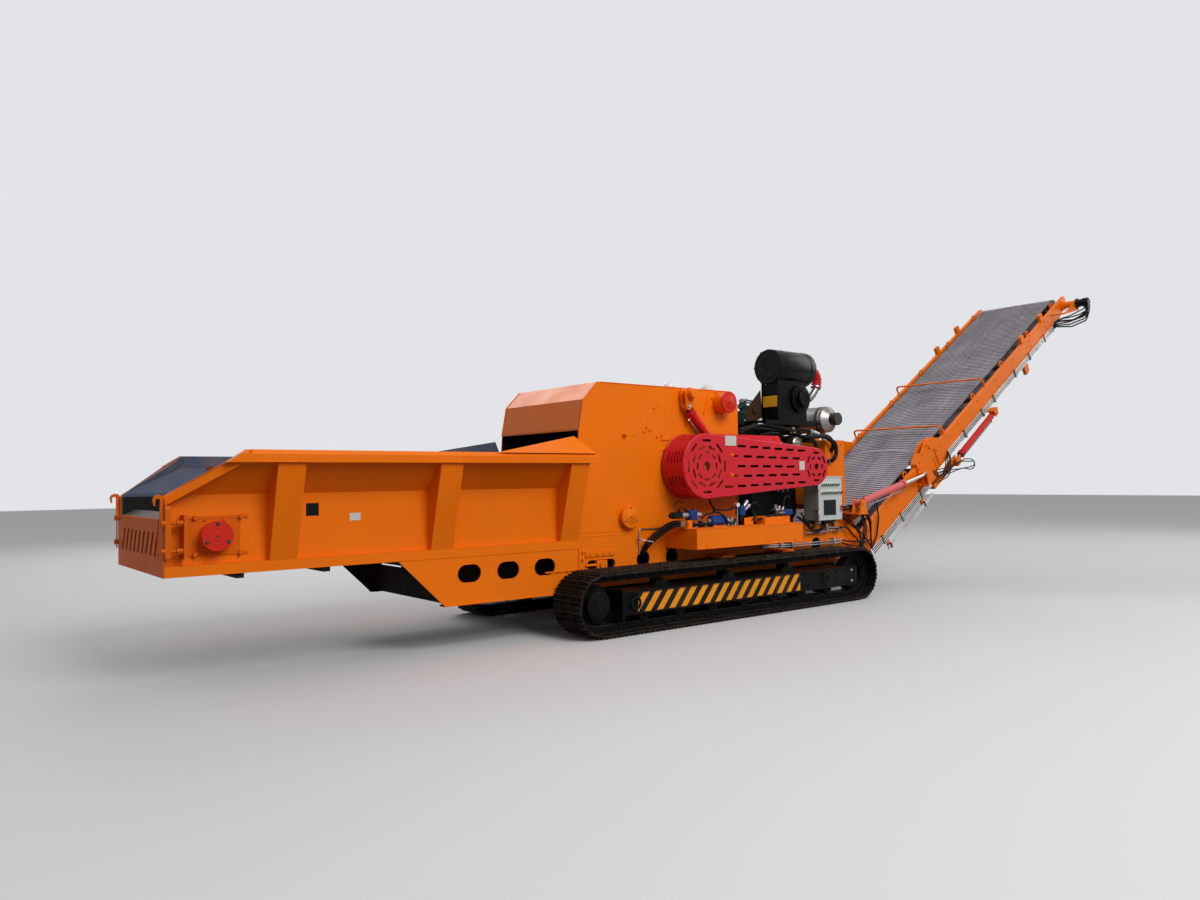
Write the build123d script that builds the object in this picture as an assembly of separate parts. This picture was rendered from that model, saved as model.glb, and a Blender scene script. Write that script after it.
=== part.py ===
from build123d import *
import os
from math import acos, atan2, cos, degrees, hypot, pi, radians, sin

# Mobile wood crusher on tracks: feed hopper, crusher housing with press roller, engine with
# belt drive, control cabinet and a folding discharge conveyor. Millimetres, +Z up.
# +X runs along the machine to the discharge conveyor, -Y is the side with the belt guard.
# Origin: middle of the whole machine's length and width, on the ground.

# Tracks
TRACK_Y = 1047.5            # centre plane of each track
SHOE_WIDTH = 445.0
SPROCKET_X = -3675.0        # driven end, under the hopper
IDLER_X = 540.0
FRONT_R = 325.0             # outside radius over the shoe ribs at the driven end
REAR_R = 330.0              # and at the idler end
RIB_HEIGHT = 20.0
RIB_BASE = 26.0
SHOE_THICKNESS = 14.0
CHAIN_DEPTH = 78.0          # link height inside the shoes
CHAIN_WIDTH = 150.0
SHOE_COUNT = 67
FRAME_X = (-3390.0, 509.0)
FRAME_Z = (197.0, 429.0)
FRAME_OUT_Y = 1200.0
FRAME_IN_Y = 895.0
FRAME_END_X = 300.0        # the channel ends short of the idler, the skirt runs on

# Crusher housing
HOUSING_Y = 735.0           # outer face of its side plates
PLATE = 16.0
HOUSING_X0 = -3610.0        # inlet edge
HOUSING_X1 = -1175.0
HOUSING_RAKE = 0.0125       # its back edge leans outward by this much a height
HOUSING_TOP = 2591.0
RIDGE_X = -3310.0
FOLD = (-3500.0, 2399.0)
INLET_TOP = 2074.0
RAIL_Z = (440.0, 950.0)
RAIL_X1 = 1180.0
HOLE_R = 95.0
HOLE_Z = 682.0
HOLES_X = (-2700.0, -2270.0, -263.0, 299.0)
CROSS_X = (-2700.0, -420.0)

# Feed hopper
HOPPER_X0 = -7519.0
HOPPER_X1 = -3625.0
FLANGE_Z = (861.0, 945.0)
FLANGE_Y = 810.0
WALL_Y = 750.0
FLARE_Z = 1480.0
RIM_Z = (1730.0, 1826.0)
RIM_Y = 1045.0
RIM_SLOPE_X = -6985.0       # where the rim starts to fall to the feed end
FEED_RIM_Z = 1472.0

# Discharge conveyor, in slope axes: s up along the slope, n square to it, 0 at the foot pin
FOOT = (1100.0, 574.0)
SLOPE = 32.2
BEAM_Y = 807.0              # outer face
BEAM_WIDTH = 60.0
BEAM_TOP = 150.0
LOWER_BOTTOM = -270.0
UPPER_BOTTOM = -180.0
HEAD_S = 7678.0
FOLD_S = 2250.0
FOLD_N = 250.0
SPLIT_S = 2290.0
SPLIT_GAP = 12.0
BELT_HALF = 650.0
BELT_THICKNESS = 12.0
PIN_R = 34.0                # foot pins

# Engine and drive
BIG_PULLEY = (-2060.0, 1694.0)
SMALL_PULLEY = (-135.0, 1690.0)
GUARD_BIG_R = 362.0
GUARD_SMALL_R = 231.0
GUARD_FRONT_Y = 1100.0

# X is drawn from the middle of the machine without the feed end's hooks, which reach further out:
# every solid moves by this when it is kept, so that the origin is at the whole machine's middle.
MIDDLE_X = -22.5

PARTS = {}


def keep(name, *solids):
    """Names one node; several solids become one compound."""
    flat = []
    for item in solids:
        flat.extend(Pos(-MIDDLE_X, 0, 0) * solid for solid in item.solids())
    PARTS[name] = Compound(children=flat) if len(flat) > 1 else flat[0]


def box(x0, x1, y0, y1, z0, z1):
    low = Vector(min(x0, x1), min(y0, y1), min(z0, z1))
    return Pos(low) * Box(abs(x1 - x0), abs(y1 - y0), abs(z1 - z0), align=(Align.MIN,) * 3)


def prism_xz(points, y0, y1):
    """Side-view outline of (x, z) points, from y0 to y1."""
    outline = Polyline(*[(x, y0, z) for x, z in points], close=True)
    return Part() + Solid.extrude(Face(Wire(outline.edges())), Vector(0, y1 - y0, 0))


def prism_yz(points, x0, x1):
    """End-view outline of (y, z) points, from x0 to x1."""
    outline = Polyline(*[(x0, y, z) for y, z in points], close=True)
    return Part() + Solid.extrude(Face(Wire(outline.edges())), Vector(x1 - x0, 0, 0))


def prism_xy(points, z0, z1):
    """Plan outline of (x, y) points, from z0 to z1."""
    outline = Polyline(*[(x, y, z0) for x, y in points], close=True)
    return Part() + Solid.extrude(Face(Wire(outline.edges())), Vector(0, 0, z1 - z0))


def bar(start, end, radius):
    """Round bar from one point to another."""
    start, end = Vector(*start), Vector(*end)
    return Part() + Solid.make_cylinder(radius, (end - start).length, Plane(start, z_dir=end - start))


def ring_y(x, z, outer, inner, y0, y1):
    return bar((x, y0, z), (x, y1, z), outer) - bar((x, y0 - 1, z), (x, y1 + 1, z), inner) \
        if y1 > y0 else bar((x, y0, z), (x, y1, z), outer) - bar((x, y0 + 1, z), (x, y1 - 1, z), inner)


def slot_xz(x, z, length, height, y0, y1, turn=0.0):
    """Round-ended slot body, its length along x before it turns about y."""
    half = (length - height) / 2
    body = box(-half, half, y0, y1, -height / 2, height / 2)
    body += bar((-half, y0, 0), (-half, y1, 0), height / 2)
    body += bar((half, y0, 0), (half, y1, 0), height / 2)
    return Pos(x, 0, z) * Rot(0, -turn, 0) * body


def pipe(points, radius, bend):
    """Hard pipe or hose along straight runs joined by tangent arcs."""
    bends = bend if isinstance(bend, (list, tuple)) else [bend] * (len(points) - 2)
    path = FilletPolyline(*points, radius=list(bends)) if len(points) > 2 else Line(*points)
    start = path ^ 0
    section = Plane(start.position, z_dir=path % 0) * Circle(radius)
    return Part() + sweep(section, path)


# Tracks: one closed loop of shoes each, three ribs to a shoe, with the link chain inside

def loop_point(distance, inset):
    """Point of the loop (x, z) and its outward direction, at a distance along the shoe plates."""
    r_front = FRONT_R - RIB_HEIGHT - inset
    r_rear = REAR_R - RIB_HEIGHT - inset
    span = hypot(IDLER_X - SPROCKET_X, REAR_R - FRONT_R)
    lean = atan2(REAR_R - FRONT_R, IDLER_X - SPROCKET_X)
    top_run = span * cos(lean)
    runs = (IDLER_X - SPROCKET_X, r_rear * (pi + 2 * lean), top_run, r_front * (pi - 2 * lean))
    d = distance % sum(runs)
    if d < runs[0]:
        return SPROCKET_X + d, RIB_HEIGHT + inset, -pi / 2
    d -= runs[0]
    if d < runs[1]:
        turn = -pi / 2 + d / r_rear
        return IDLER_X + r_rear * cos(turn), REAR_R + r_rear * sin(turn), turn
    d -= runs[1]
    if d < runs[2]:
        turn = pi / 2 + 2 * lean
        return (IDLER_X + r_rear * cos(turn) - d * cos(2 * lean),
                REAR_R + r_rear * sin(turn) - d * sin(2 * lean), turn)
    d -= runs[2]
    turn = pi / 2 + 2 * lean + d / r_front
    return SPROCKET_X + r_front * cos(turn), FRONT_R + r_front * sin(turn), turn


def loop_length(inset):
    r_front = FRONT_R - RIB_HEIGHT - inset
    r_rear = REAR_R - RIB_HEIGHT - inset
    return 2 * (IDLER_X - SPROCKET_X) + pi * (r_front + r_rear)


def turning(points):
    """Leaves out the points of a closed outline that lie in line with their neighbours."""
    kept = []
    for i, (x, z) in enumerate(points):
        ax, az = points[i - 1]
        bx, bz = points[(i + 1) % len(points)]
        if abs((x - ax) * (bz - z) - (z - az) * (bx - x)) > 1.0:
            kept.append((x, z))
    return kept


def track(side):
    pitch = loop_length(0.0) / SHOE_COUNT
    pins = [loop_point(shoe * pitch, 0.0) for shoe in range(SHOE_COUNT)]
    outer = []
    for shoe, start in enumerate(pins):
        end = pins[(shoe + 1) % SHOE_COUNT]
        ux, uz = (end[0] - start[0]) / pitch, (end[1] - start[1]) / pitch
        outer.append((start[0], start[1]))
        for share in (0.12, 0.45, 0.78):
            for along, height in ((0.0, 0.0), (RIB_BASE * 0.3, RIB_HEIGHT), (RIB_BASE, 0.0)):
                along += share * pitch
                outer.append((start[0] + ux * along + uz * height, start[1] + uz * along - ux * height))
    rings = [[(x - cos(turn) * depth, z - sin(turn) * depth) for x, z, turn in pins]
             for depth in (SHOE_THICKNESS - 5, SHOE_THICKNESS, SHOE_THICKNESS + CHAIN_DEPTH)]
    edges = (side * (TRACK_Y - SHOE_WIDTH / 2), side * (TRACK_Y + SHOE_WIDTH / 2))
    beside = (edges[0] - side, edges[1] + side)
    band = prism_xz(turning(outer), *edges) - prism_xz(turning(rings[1]), *beside)
    middle = (side * (TRACK_Y - CHAIN_WIDTH / 2), side * (TRACK_Y + CHAIN_WIDTH / 2))
    chain = prism_xz(turning(rings[0]), *middle) - prism_xz(turning(rings[2]), *beside)
    return band + chain


# Running gear: drive sprocket with its gearbox cover, idler, bottom rollers and carrier rollers

ROLLER_COUNT = 7
ROLLER_R = 82.0
CARRIER_X = (-2784.0, -1765.0, -746.0)


def running_gear(side):
    pieces = []
    drive_z, idler_z = FRONT_R, REAR_R
    depth = RIB_HEIGHT + SHOE_THICKNESS + CHAIN_DEPTH + 3
    wheel_y = (TRACK_Y - 32, TRACK_Y + 32)

    def disc(x, z, r, y_pair):
        return bar((x, side * y_pair[0], z), (x, side * y_pair[1], z), r)

    sprocket = disc(SPROCKET_X, drive_z, FRONT_R - depth - 9, wheel_y)
    sprocket += disc(SPROCKET_X, drive_z, 165, (TRACK_Y - 120, TRACK_Y + 70))
    sprocket += disc(SPROCKET_X, drive_z, 143, (TRACK_Y + 70, 1172))
    pieces.append(sprocket)
    idler = disc(IDLER_X, idler_z, REAR_R - depth - 9, (TRACK_Y - 60, TRACK_Y + 60))
    idler -= disc(IDLER_X, idler_z, REAR_R - depth - 44, (TRACK_Y + 25, TRACK_Y + 61))
    idler -= disc(IDLER_X, idler_z, REAR_R - depth - 44, (TRACK_Y - 61, TRACK_Y - 25))
    idler += disc(IDLER_X, idler_z, 62, (TRACK_Y - 64, TRACK_Y + 64))
    pieces.append(idler)
    floor = RIB_HEIGHT + SHOE_THICKNESS + CHAIN_DEPTH + 3
    for i in range(ROLLER_COUNT):
        x = SPROCKET_X + 620 + i * (IDLER_X - SPROCKET_X - 1180) / (ROLLER_COUNT - 1)
        pieces.append(disc(x, floor + ROLLER_R, ROLLER_R, (TRACK_Y - 95, TRACK_Y + 95))
                      + disc(x, floor + ROLLER_R, 30, (FRAME_IN_Y + 26, FRAME_OUT_Y - 26)))
    for x in CARRIER_X:
        top = 2 * (FRONT_R + (x - SPROCKET_X) / (IDLER_X - SPROCKET_X) * (REAR_R - FRONT_R))
        z = top - depth - 52
        pieces.append(disc(x, z, 50, (TRACK_Y - 70, TRACK_Y + 55)))
    return pieces


def track_frame(side):
    """Inverted channel over the rollers, with the striped outer skirt, lugs and carrier posts."""
    x0, x1 = FRAME_X
    z0, z1 = FRAME_Z
    out, inn = side * FRAME_OUT_Y, side * FRAME_IN_Y
    frame = box(x0, x1, out - side * 22, out, z0, z1)
    frame += box(x0, FRAME_END_X, inn, inn + side * 22, z0, z1)
    frame += box(x0, FRAME_END_X, inn, out, z1 - 28, z1)
    for z in (z0, z1 - 14):
        frame += box(x0, x1 - 30, out - side * 2, out + side * 16, z, z + 14)
    frame += box(x0 - 14, x0 + 8, inn, out + side * 16, z0 - 60, z1 + 26)
    for x in CARRIER_X:
        top = [(x - 135, z1 - 2), (x - 80, z1 + 62), (x + 80, z1 + 62), (x + 135, z1 - 2)]
        frame += prism_xz(top, side * (TRACK_Y + 60), side * (TRACK_Y + 78))
        frame += bar((x, side * (TRACK_Y + 56), z1 + 40), (x, side * (TRACK_Y + 78), z1 + 40), 30)
    for x in (-3242.0, -160.0):
        frame += tie_ring(x, side)
    # yoke beside the idler's hub, and the arm beside the drive's
    yoke = [(240, z1), (240, 300), (600, 300), (600, 372), (430, 372), (340, z1)]
    for y in (TRACK_Y - 88, TRACK_Y + 66):
        frame += prism_xz(yoke, side * y, side * (y + 22))
    frame += box(SPROCKET_X - 60, x0, side * (TRACK_Y - 150), side * (TRACK_Y - 122), 240, 410)
    return frame


def tie_ring(x, side):
    """Lashing ring, a bent bar welded to the skirt."""
    y = side * FRAME_OUT_Y
    z = (FRAME_Z[0] + FRAME_Z[1]) / 2
    ring = Torus(58, 12)
    ring = Pos(x, y + side * 34, z) * Rot(90, 0, 0) * ring
    stubs = box(x - 26, x + 26, y - side * 2, y + side * 42, z + 44, z + 74)
    return ring + stubs


# Main frame: long rails with round lightening holes, the lift cylinders' brackets, cross tubes

LIFT_FOOT = (953.0, 1205.0)
LIFT_EYE = (2593.0, 1586.0)
LIFT_Y = 950.0


def main_frame():
    z0, z1 = RAIL_Z
    joint_x = HOUSING_X1 + HOUSING_RAKE * (z1 - z0)
    outline = [(joint_x, z1), (HOUSING_X1, z0), (790, z0), (850, 570), (1010, 590), (1040, 500),
               (RAIL_X1, 530), (RAIL_X1, 860), (1090, 1120), (725, 1185), (700, z1)]
    frame = None
    for side in (-1, 1):
        y = side * HOUSING_Y
        rail = prism_xz(outline, y - side * PLATE, y)
        rail += box(HOUSING_X1 + 1, 740, y - side * 120, y, z0 - 6, z0 + 14)
        rail += box(joint_x, 700, y - side * 90, y, z1 - 14, z1)
        rail += box(800, 830, y - side * 72, y - side * (PLATE - 1), 600, 1150)
        rail += bar((FOOT[0], y - side * PLATE, FOOT[1]), (FOOT[0], y + side * 5, FOOT[1]), 88)
        for x in HOLES_X[2:]:
            rail -= bar((x, y - side * (PLATE + 1), HOLE_Z), (x, y + side, HOLE_Z), HOLE_R)
        rail -= bar((FOOT[0], y - side * 40, FOOT[1]), (FOOT[0], y + side * 40, FOOT[1]), PIN_R + 1)
        rail += lift_bracket(side)
        frame = rail if frame is None else frame + rail
    for x in (-1140.0, 380.0):
        frame += box(x, x + 20, -HOUSING_Y + PLATE - 1, HOUSING_Y - PLATE + 1, 620, z1 - 20)
    # channel beams that carry the engine
    for x in (-480.0, 130.0):
        frame += box(x, x + 110, -HOUSING_Y + PLATE - 1, HOUSING_Y - PLATE + 1, 820, 899)
    return frame


def lift_bracket(side):
    """Shelf on the rail's end with the clevis and pin of the lift cylinder's foot."""
    x, z = LIFT_FOOT
    shelf = box(x - 120, x + 100, side * (HOUSING_Y - 1), side * (LIFT_Y + 70), 1060, 1080)
    shelf += prism_yz([(side * (HOUSING_Y - 1), 1061), (side * (LIFT_Y + 40), 1061), (side * (HOUSING_Y - 1), 900)],
                      x - 12, x + 12)
    ear = [(x - 80, 1079), (x + 80, 1079), (x + 46, z + 34), (x + 20, z + 52), (x - 20, z + 52), (x - 46, z + 34)]
    for y in (LIFT_Y - 70, LIFT_Y + 52):
        shelf += prism_xz(ear, side * y, side * (y + 18))
    shelf += bar((x, side * (LIFT_Y - 78), z), (x, side * (LIFT_Y + 78), z), 22)
    return shelf


def cross_tubes():
    """Two box tubes between the track frames, with saddles under the rails."""
    tubes = []
    for x in CROSS_X:
        tube = box(x - 130, x + 130, -FRAME_IN_Y, FRAME_IN_Y, 235, 330)
        for side in (-1, 1):
            tube += box(x - 110, x + 110, side * 640, side * 800, 329, RAIL_Z[0] - 6)
        tubes.append(tube)
    return tubes


# Feed chassis: deep plates under the hopper, with three oblong holes each side

CHASSIS_Y = 806.0
OBLONG_X = (-4913.0, -4486.0, -4057.0)


def feed_chassis():
    pieces = None
    for side in (-1, 1):
        y = side * CHASSIS_Y
        plate = prism_xz([(-5628, 861), (-5176, 428), (-3640, 428), (-3640, 861)], y - side * 14, y)
        for x in OBLONG_X:
            plate -= slot_xz(x, 704, 250, 165, y - side * 15, y + side)
        plate += box(-5176, -3640, y - side * 90, y + side * 8, 418, 432)
        plate += box(-3641, HOUSING_X0 - 3, y - side * 80, y + side * 12, 430, 861)
        plate += box(-4060, -3660, y, y + side * 10, 640, 652)
        pieces = plate if pieces is None else pieces + plate
    for x in (-5100.0, -4300.0, -3800.0):
        pieces += box(x, x + 16, -CHASSIS_Y + 13, CHASSIS_Y - 13, 428, 700)
    return pieces


# Feed hopper: walls that stand upright and then flare, a bevelled rim, tapered ribs, a floor

RIBS_X = (-6636.0, -5199.0, -3757.0)
WALL_WINDOW = (-6430.0, -6320.0, 1286.0, 1393.0)     # small opening beside the first rib


def wall_outline(side, thick):
    """End view of one hopper wall from its foot to the rim."""
    y = side * 1.0
    outer = [(WALL_Y, FLANGE_Z[1] - 4), (WALL_Y, FLARE_Z), (985, RIM_Z[0])]
    inner = [(985 - thick * 1.3, RIM_Z[0] + 6), (WALL_Y - thick, FLARE_Z + 4), (WALL_Y - thick, FLANGE_Z[1] - 4)]
    return [(y * a, z) for a, z in outer + inner]


def hopper_wall(side):
    wall = prism_yz(wall_outline(side, 12), HOPPER_X0, HOPPER_X1)
    flange = box(HOPPER_X0, HOPPER_X1 - 6, side * (WALL_Y - 40), side * FLANGE_Y, *FLANGE_Z)
    rim_section = [(955, RIM_Z[0] - 4), (RIM_Y, RIM_Z[0] - 4), (RIM_Y, RIM_Z[0] + 60),
                   (RIM_Y - 42, RIM_Z[1]), (955, RIM_Z[1])]
    rim = prism_yz([(side * a, z) for a, z in rim_section], HOPPER_X0, HOPPER_X1 + 60)
    # the rim and the wall fall to the feed end
    cut = prism_xz([(HOPPER_X0 - 5, FEED_RIM_Z), (RIM_SLOPE_X, RIM_Z[1]), (RIM_SLOPE_X, 2100),
                    (HOPPER_X0 - 5, 2100)], side * 600, side * 1100)
    window = box(*WALL_WINDOW[:2], side * (WALL_Y - 20), side * (WALL_Y + 5), *WALL_WINDOW[2:])
    return wall + flange + rim - cut - window


def hopper_side(side):
    wall = hopper_wall(side)
    # edge lip along the falling part, widening outward as the flare does
    low = [(WALL_Y - 12, FEED_RIM_Z - 70), (WALL_Y + 45, FEED_RIM_Z - 70), (WALL_Y + 45, FEED_RIM_Z),
           (WALL_Y - 12, FEED_RIM_Z)]
    high = [(RIM_Y - 90, RIM_Z[0] + 26), (RIM_Y, RIM_Z[0] + 26), (RIM_Y, RIM_Z[1]), (RIM_Y - 90, RIM_Z[1])]
    ends = []
    for x, section in ((HOPPER_X0, low), (RIM_SLOPE_X + 30, high)):
        ends.append(Wire(Polyline(*[(x, side * a, z) for a, z in section], close=True).edges()))
    wall += Part() + Solid.make_loft(ends, ruled=True)
    for x in RIBS_X:
        rib = []
        for z, reach, half in ((FLANGE_Z[1] - 2, FLANGE_Y, 112.0), (RIM_Z[0], 1022.0, 112.0)):
            rib.append(Wire(Polyline((x - half, side * (WALL_Y - 4), z), (x + half, side * (WALL_Y - 4), z),
                                     (x + half, side * reach, z), (x - half, side * reach, z), close=True).edges()))
        wall += Part() + Solid.make_loft(rib, ruled=True)
    return wall + hopper_wing(side)


def hopper_wing(side):
    """Sloped plate that closes the rim to the housing, beside the inlet."""
    base = [(-4750, 1040, 1822), (-3570, 1040, 1822), (-3570, 740, 1822)]
    peak = (-3640, 752, 2010)
    a, b, c = [Vector(x, side * y, z) for x, y, z in base]
    d = Vector(peak[0], side * peak[1], peak[2])
    faces = [Face(Wire(Polyline(*trio, close=True).edges())) for trio in ((a, b, c), (a, b, d), (b, c, d), (c, a, d))]
    return Part() + Solid(Shell(faces))


def hopper_floor():
    """Floor plate between the flanges, on cross members."""
    floor = box(HOPPER_X0 + 14, HOPPER_X1 - 10, -709, 709, FLANGE_Z[0], FLANGE_Z[0] + 12)
    for x in (-7000.0, -6300.0, -5600.0, -4900.0, -4200.0):
        floor += box(x, x + 60, -FLANGE_Y + 20, FLANGE_Y - 20, FLANGE_Z[0] - 40, FLANGE_Z[0])
    return floor


def feed_end_plate():
    plate = box(HOPPER_X0 - 12, HOPPER_X0, -FLANGE_Y, FLANGE_Y, FLANGE_Z[0], 1300)
    for i in range(SLOT_COUNT):
        y = -585 + i * (2 * 585 / (SLOT_COUNT - 1))
        slot = [(y - 27 - SLOT_LEAN, 1192), (y + 27 - SLOT_LEAN, 1192), (y + 27 + SLOT_LEAN, 1010),
                (y - 27 + SLOT_LEAN, 1010)]
        plate -= prism_yz(slot, HOPPER_X0 - 20, HOPPER_X0 + 10)
    return plate


def end_lip():
    """Worn lip behind the end plate's top edge, over the chain's front turn."""
    x = HOPPER_X0
    return prism_xz([(x, 1286), (x, 1300), (x + 107, 1344), (x + 107, 1330)], -WALL_Y + 23, WALL_Y - 23)


def rubber_flap():
    """Rubber sealing strips along the feet of both walls, above the chain."""
    strips = []
    for side in (-1, 1):
        strip = box(HOPPER_X0 + 8, HOPPER_X1 - 12, side * (WALL_Y - 22), side * (WALL_Y - 12), 1190, 1457)
        strips.append(strip - box(*WALL_WINDOW[:2], side * (WALL_Y - 30), side * WALL_Y, *WALL_WINDOW[2:]))
    return strips


SLOT_COUNT = 9
SLOT_LEAN = 45.0            # the end plate's slots lean by this much each way
HOOK_X = (-7603.0, -7553.0, -7520.0)   # tip side, inner and outer side of the stem
HOOK_Y = (783.0, 811.0)
ADJUSTER_Z = (1060.0, 1270.0)


def hook(side):
    """Crook that opens to the front, cut from plate, on a stem beside the end plate."""
    tip, inner, outer = HOOK_X
    middle, top = (tip + outer) / 2, 1486.0
    reach, bore = (outer - tip) / 2, 17.0
    bore_x = inner - bore
    shape = bar((middle, side * HOOK_Y[0], top - reach), (middle, side * HOOK_Y[1], top - reach), reach)
    shape += prism_xz([(tip, top - reach), (tip + 8, top - 80), (tip + 16, top - 84), (tip + 28, top - 62),
                       (tip + 28, top - reach)], side * HOOK_Y[0], side * HOOK_Y[1])
    shape += box(inner, outer, side * HOOK_Y[0], side * HOOK_Y[1], 1250, top - reach)
    gap = bar((bore_x, side * (HOOK_Y[0] - 1), top - reach - 4), (bore_x, side * (HOOK_Y[1] + 1), top - reach - 4), bore)
    gap += box(bore_x - bore, inner, side * (HOOK_Y[0] - 1), side * (HOOK_Y[1] + 1), top - 110, top - reach - 4)
    return shape - gap


def hex_nut(x0, x1, y, z, across):
    """Hexagonal nut round an axis along x."""
    points = [(y + across / 3 ** 0.5 * cos(radians(60 * i)), z + across / 3 ** 0.5 * sin(radians(60 * i)))
              for i in range(6)]
    return prism_yz(points, x0, x1)


def feed_end_gear(side):
    """Chamfered post, hook, adjuster screws and slide plates of the front shaft."""
    post = prism_yz([(side * (WALL_Y + 1), 1010), (side * 852, 1010), (side * 852, 1376), (side * 843, 1400),
                     (side * (WALL_Y + 1), 1400)], HOPPER_X0 - 8, HOPPER_X0 + 31)
    post += prism_yz([(side * (WALL_Y + 1), 1399), (side * 843, 1399), (side * 822, 1456),
                      (side * (WALL_Y + 1), 1456)], HOPPER_X0 - 8, HOPPER_X0 - 0.5)
    gear = post + hook(side)
    gear += box(-7400, -7374, side * WALL_Y, side * 868, 1000, 1329)
    for z in ADJUSTER_Z:
        gear += bar((-7560, side * 838, z), (-7374, side * 838, z), 11)
        for x0, x1 in ((-7553, -7526), (-7446, -7421), (-7421, -7399)):
            gear += hex_nut(x0, x1, side * 838, z, 40)
    gear += box(-7376, -6900, side * WALL_Y, side * (WALL_Y + 10), 1010, 1031)
    gear += box(-7376, -6900, side * WALL_Y, side * (WALL_Y + 10), 1295, 1316)
    gear += box(-7376, -6960, side * WALL_Y, side * (WALL_Y + 6), 1030, 1296)
    for x in (-7300, -6960):
        for z in (1022, 1305):
            gear += bar((x, side * (WALL_Y + 2), z), (x, side * (WALL_Y + 34), z), 17)
    return gear


def round_cap(x, z, radius, y0, y1, side, bolts):
    """Bearing cap: a flanged barrel with a bolted cover disc."""
    cap = bar((x, side * y0, z), (x, side * (y1 - 14), z), radius * 0.94)
    cap += bar((x, side * (y1 - 15), z), (x, side * y1, z), radius)
    for i in range(bolts):
        turn = radians(90 + i * 360 / bolts)
        bx, bz = x + radius * 0.78 * cos(turn), z + radius * 0.78 * sin(turn)
        cap += bar((bx, side * (y1 - 1), bz), (bx, side * (y1 + 8), bz), 11)
    return cap


# Feed chain: slat conveyor in the hopper's floor, one fixed loop

FEED_AXLES = ((-7159.0, 1060.0), (-3280.0, 1060.0))


def feed_chain():
    r = 90.0
    (xa, za), (xb, zb) = FEED_AXLES
    ring = []
    for i in range(7):
        turn = radians(90 + 180 * i / 6)
        ring.append((xa + r * cos(turn), za + r * sin(turn)))
    for i in range(7):
        turn = radians(-90 + 180 * i / 6)
        ring.append((xb + r * cos(turn), zb + r * sin(turn)))
    inner = [(xa + (x - xa) * 0.86, za + (z - za) * 0.86) if i < 7 else
             (xb + (x - xb) * 0.86, zb + (z - zb) * 0.86) for i, (x, z) in enumerate(ring)]
    loop = prism_xz(ring, -690, 690) - prism_xz(inner, -700, 700)
    count = 24
    for i in range(count):
        x = xa + 60 + i * (xb - xa - 120) / (count - 1)
        loop += box(x - 24, x + 24, -690, 690, za + r - 3, za + r + 26)
    return loop


def feed_shafts():
    shafts = []
    for x, z in FEED_AXLES:
        shafts.append(bar((x, -700, z), (x, 700, z), 45))
        for y in (-560, 0, 560):
            shafts[-1] += bar((x, y - 30, z), (x, y + 30, z), 74)
    return shafts


# Crusher housing

def housing_outline():
    return [(HOUSING_X0, RAIL_Z[0]), (-3613, 1353), (-3562, INLET_TOP), FOLD, (RIDGE_X, HOUSING_TOP),
            (-1280, HOUSING_TOP), (HOUSING_X1 + HOUSING_RAKE * 2000, 2440), (HOUSING_X1, RAIL_Z[0])]


def housing_side(side):
    y = side * HOUSING_Y
    plate = prism_xz(housing_outline(), y - side * PLATE, y)
    for x in HOLES_X[:2]:
        plate -= bar((x, y - side * (PLATE + 1), HOLE_Z + 8), (x, y + side, HOLE_Z + 8), HOLE_R)
    plate -= slot_xz(-3285, 672, 380, 100, y - side * (PLATE + 1), y + side)
    # adjuster of the feed chain's drive shaft
    plate += box(-3500, -3110, y, y + side * 14, 760, 815)
    plate += box(-3500, -3110, y, y + side * 14, 560, 590)
    plate += box(-3360, -3225, y - side * 20, y + side * 26, 628, 716)
    plate += bar((-3290, y, 672), (-3290, y + side * 46, 672), 40)
    plate += bar((-3500, y + side * 10, 672), (-3350, y + side * 10, 672), 14)
    plate += box(-2410, -2282, y, y + side * 12, 1990, 2060)
    plate += box(HOUSING_X0, HOUSING_X1, y - side * 120, y, RAIL_Z[0] - 6, RAIL_Z[0] + 14)
    # raised rib, and bearings of the press arm's tube and of the rotor's shaft
    plate += prism_xz([(-1650, 2539), (-1632, 2532), (-1725, 2300), (-1743, 2307)], y, y + side * 10)
    for (bx, bz), reach, outer, bore in ((ARM_PIVOT, 20, 70, 59), (BIG_PULLEY, 36, 180, 73)):
        plate += bar((bx, y, bz), (bx, y + side * reach, bz), outer)
        plate -= bar((bx, y - side * 20, bz), (bx, y + side * (reach + 1), bz), bore)
    for x in (-3440, -3350, -3260, -3170):
        plate += bar((x, y + side * 12, 788), (x, y + side * 24, 788), 12)
    return plate


def hood():
    """Roof and front of the housing between its side plates, with the inlet mouth below."""
    y = HOUSING_Y - PLATE
    roof = prism_xz([(-3566, INLET_TOP), (FOLD[0], FOLD[1]), (RIDGE_X, HOUSING_TOP), (-1280, HOUSING_TOP),
                     (-1150, 2440), (HOUSING_X1, RAIL_Z[1]), (HOUSING_X1 - 16, RAIL_Z[1]), (-1168, 2434),
                     (-1288, 2575), (-3304, 2575), (-3484, 2393), (-3548, INLET_TOP)], -y, y)
    lip = box(-3566, -3480, -y, y, INLET_TOP - 2, INLET_TOP + 20)
    return roof + lip


def inlet_sill():
    """Sill behind the feed chain with the anvil bar that faces the rotor."""
    y = HOUSING_Y - PLATE - 1
    sill = prism_xz([(-3120, 1040), (-3120, 1128), (-2650, 1128), (-2640, 1215), (-2572, 1235), (-2560, 1150),
                     (-2580, 1040)], -y, y)
    return sill + box(-3120, -3090, -y, y, 460, 1041)


# Press roller on its swing arm, worked by a cylinder each side

ARM_PIVOT = (-2064.0, 2515.0)
ROLLER = (-3020.0, 1500.0)
PRESS_R = 195.0
TOOTH = 42.0
CLEVIS = (-2083.0, 2377.0)
PRESS_FOOT = (-1687.0, 1981.0)
PRESS_Y = 810.0
ARM_END_Y = 930.0


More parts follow.
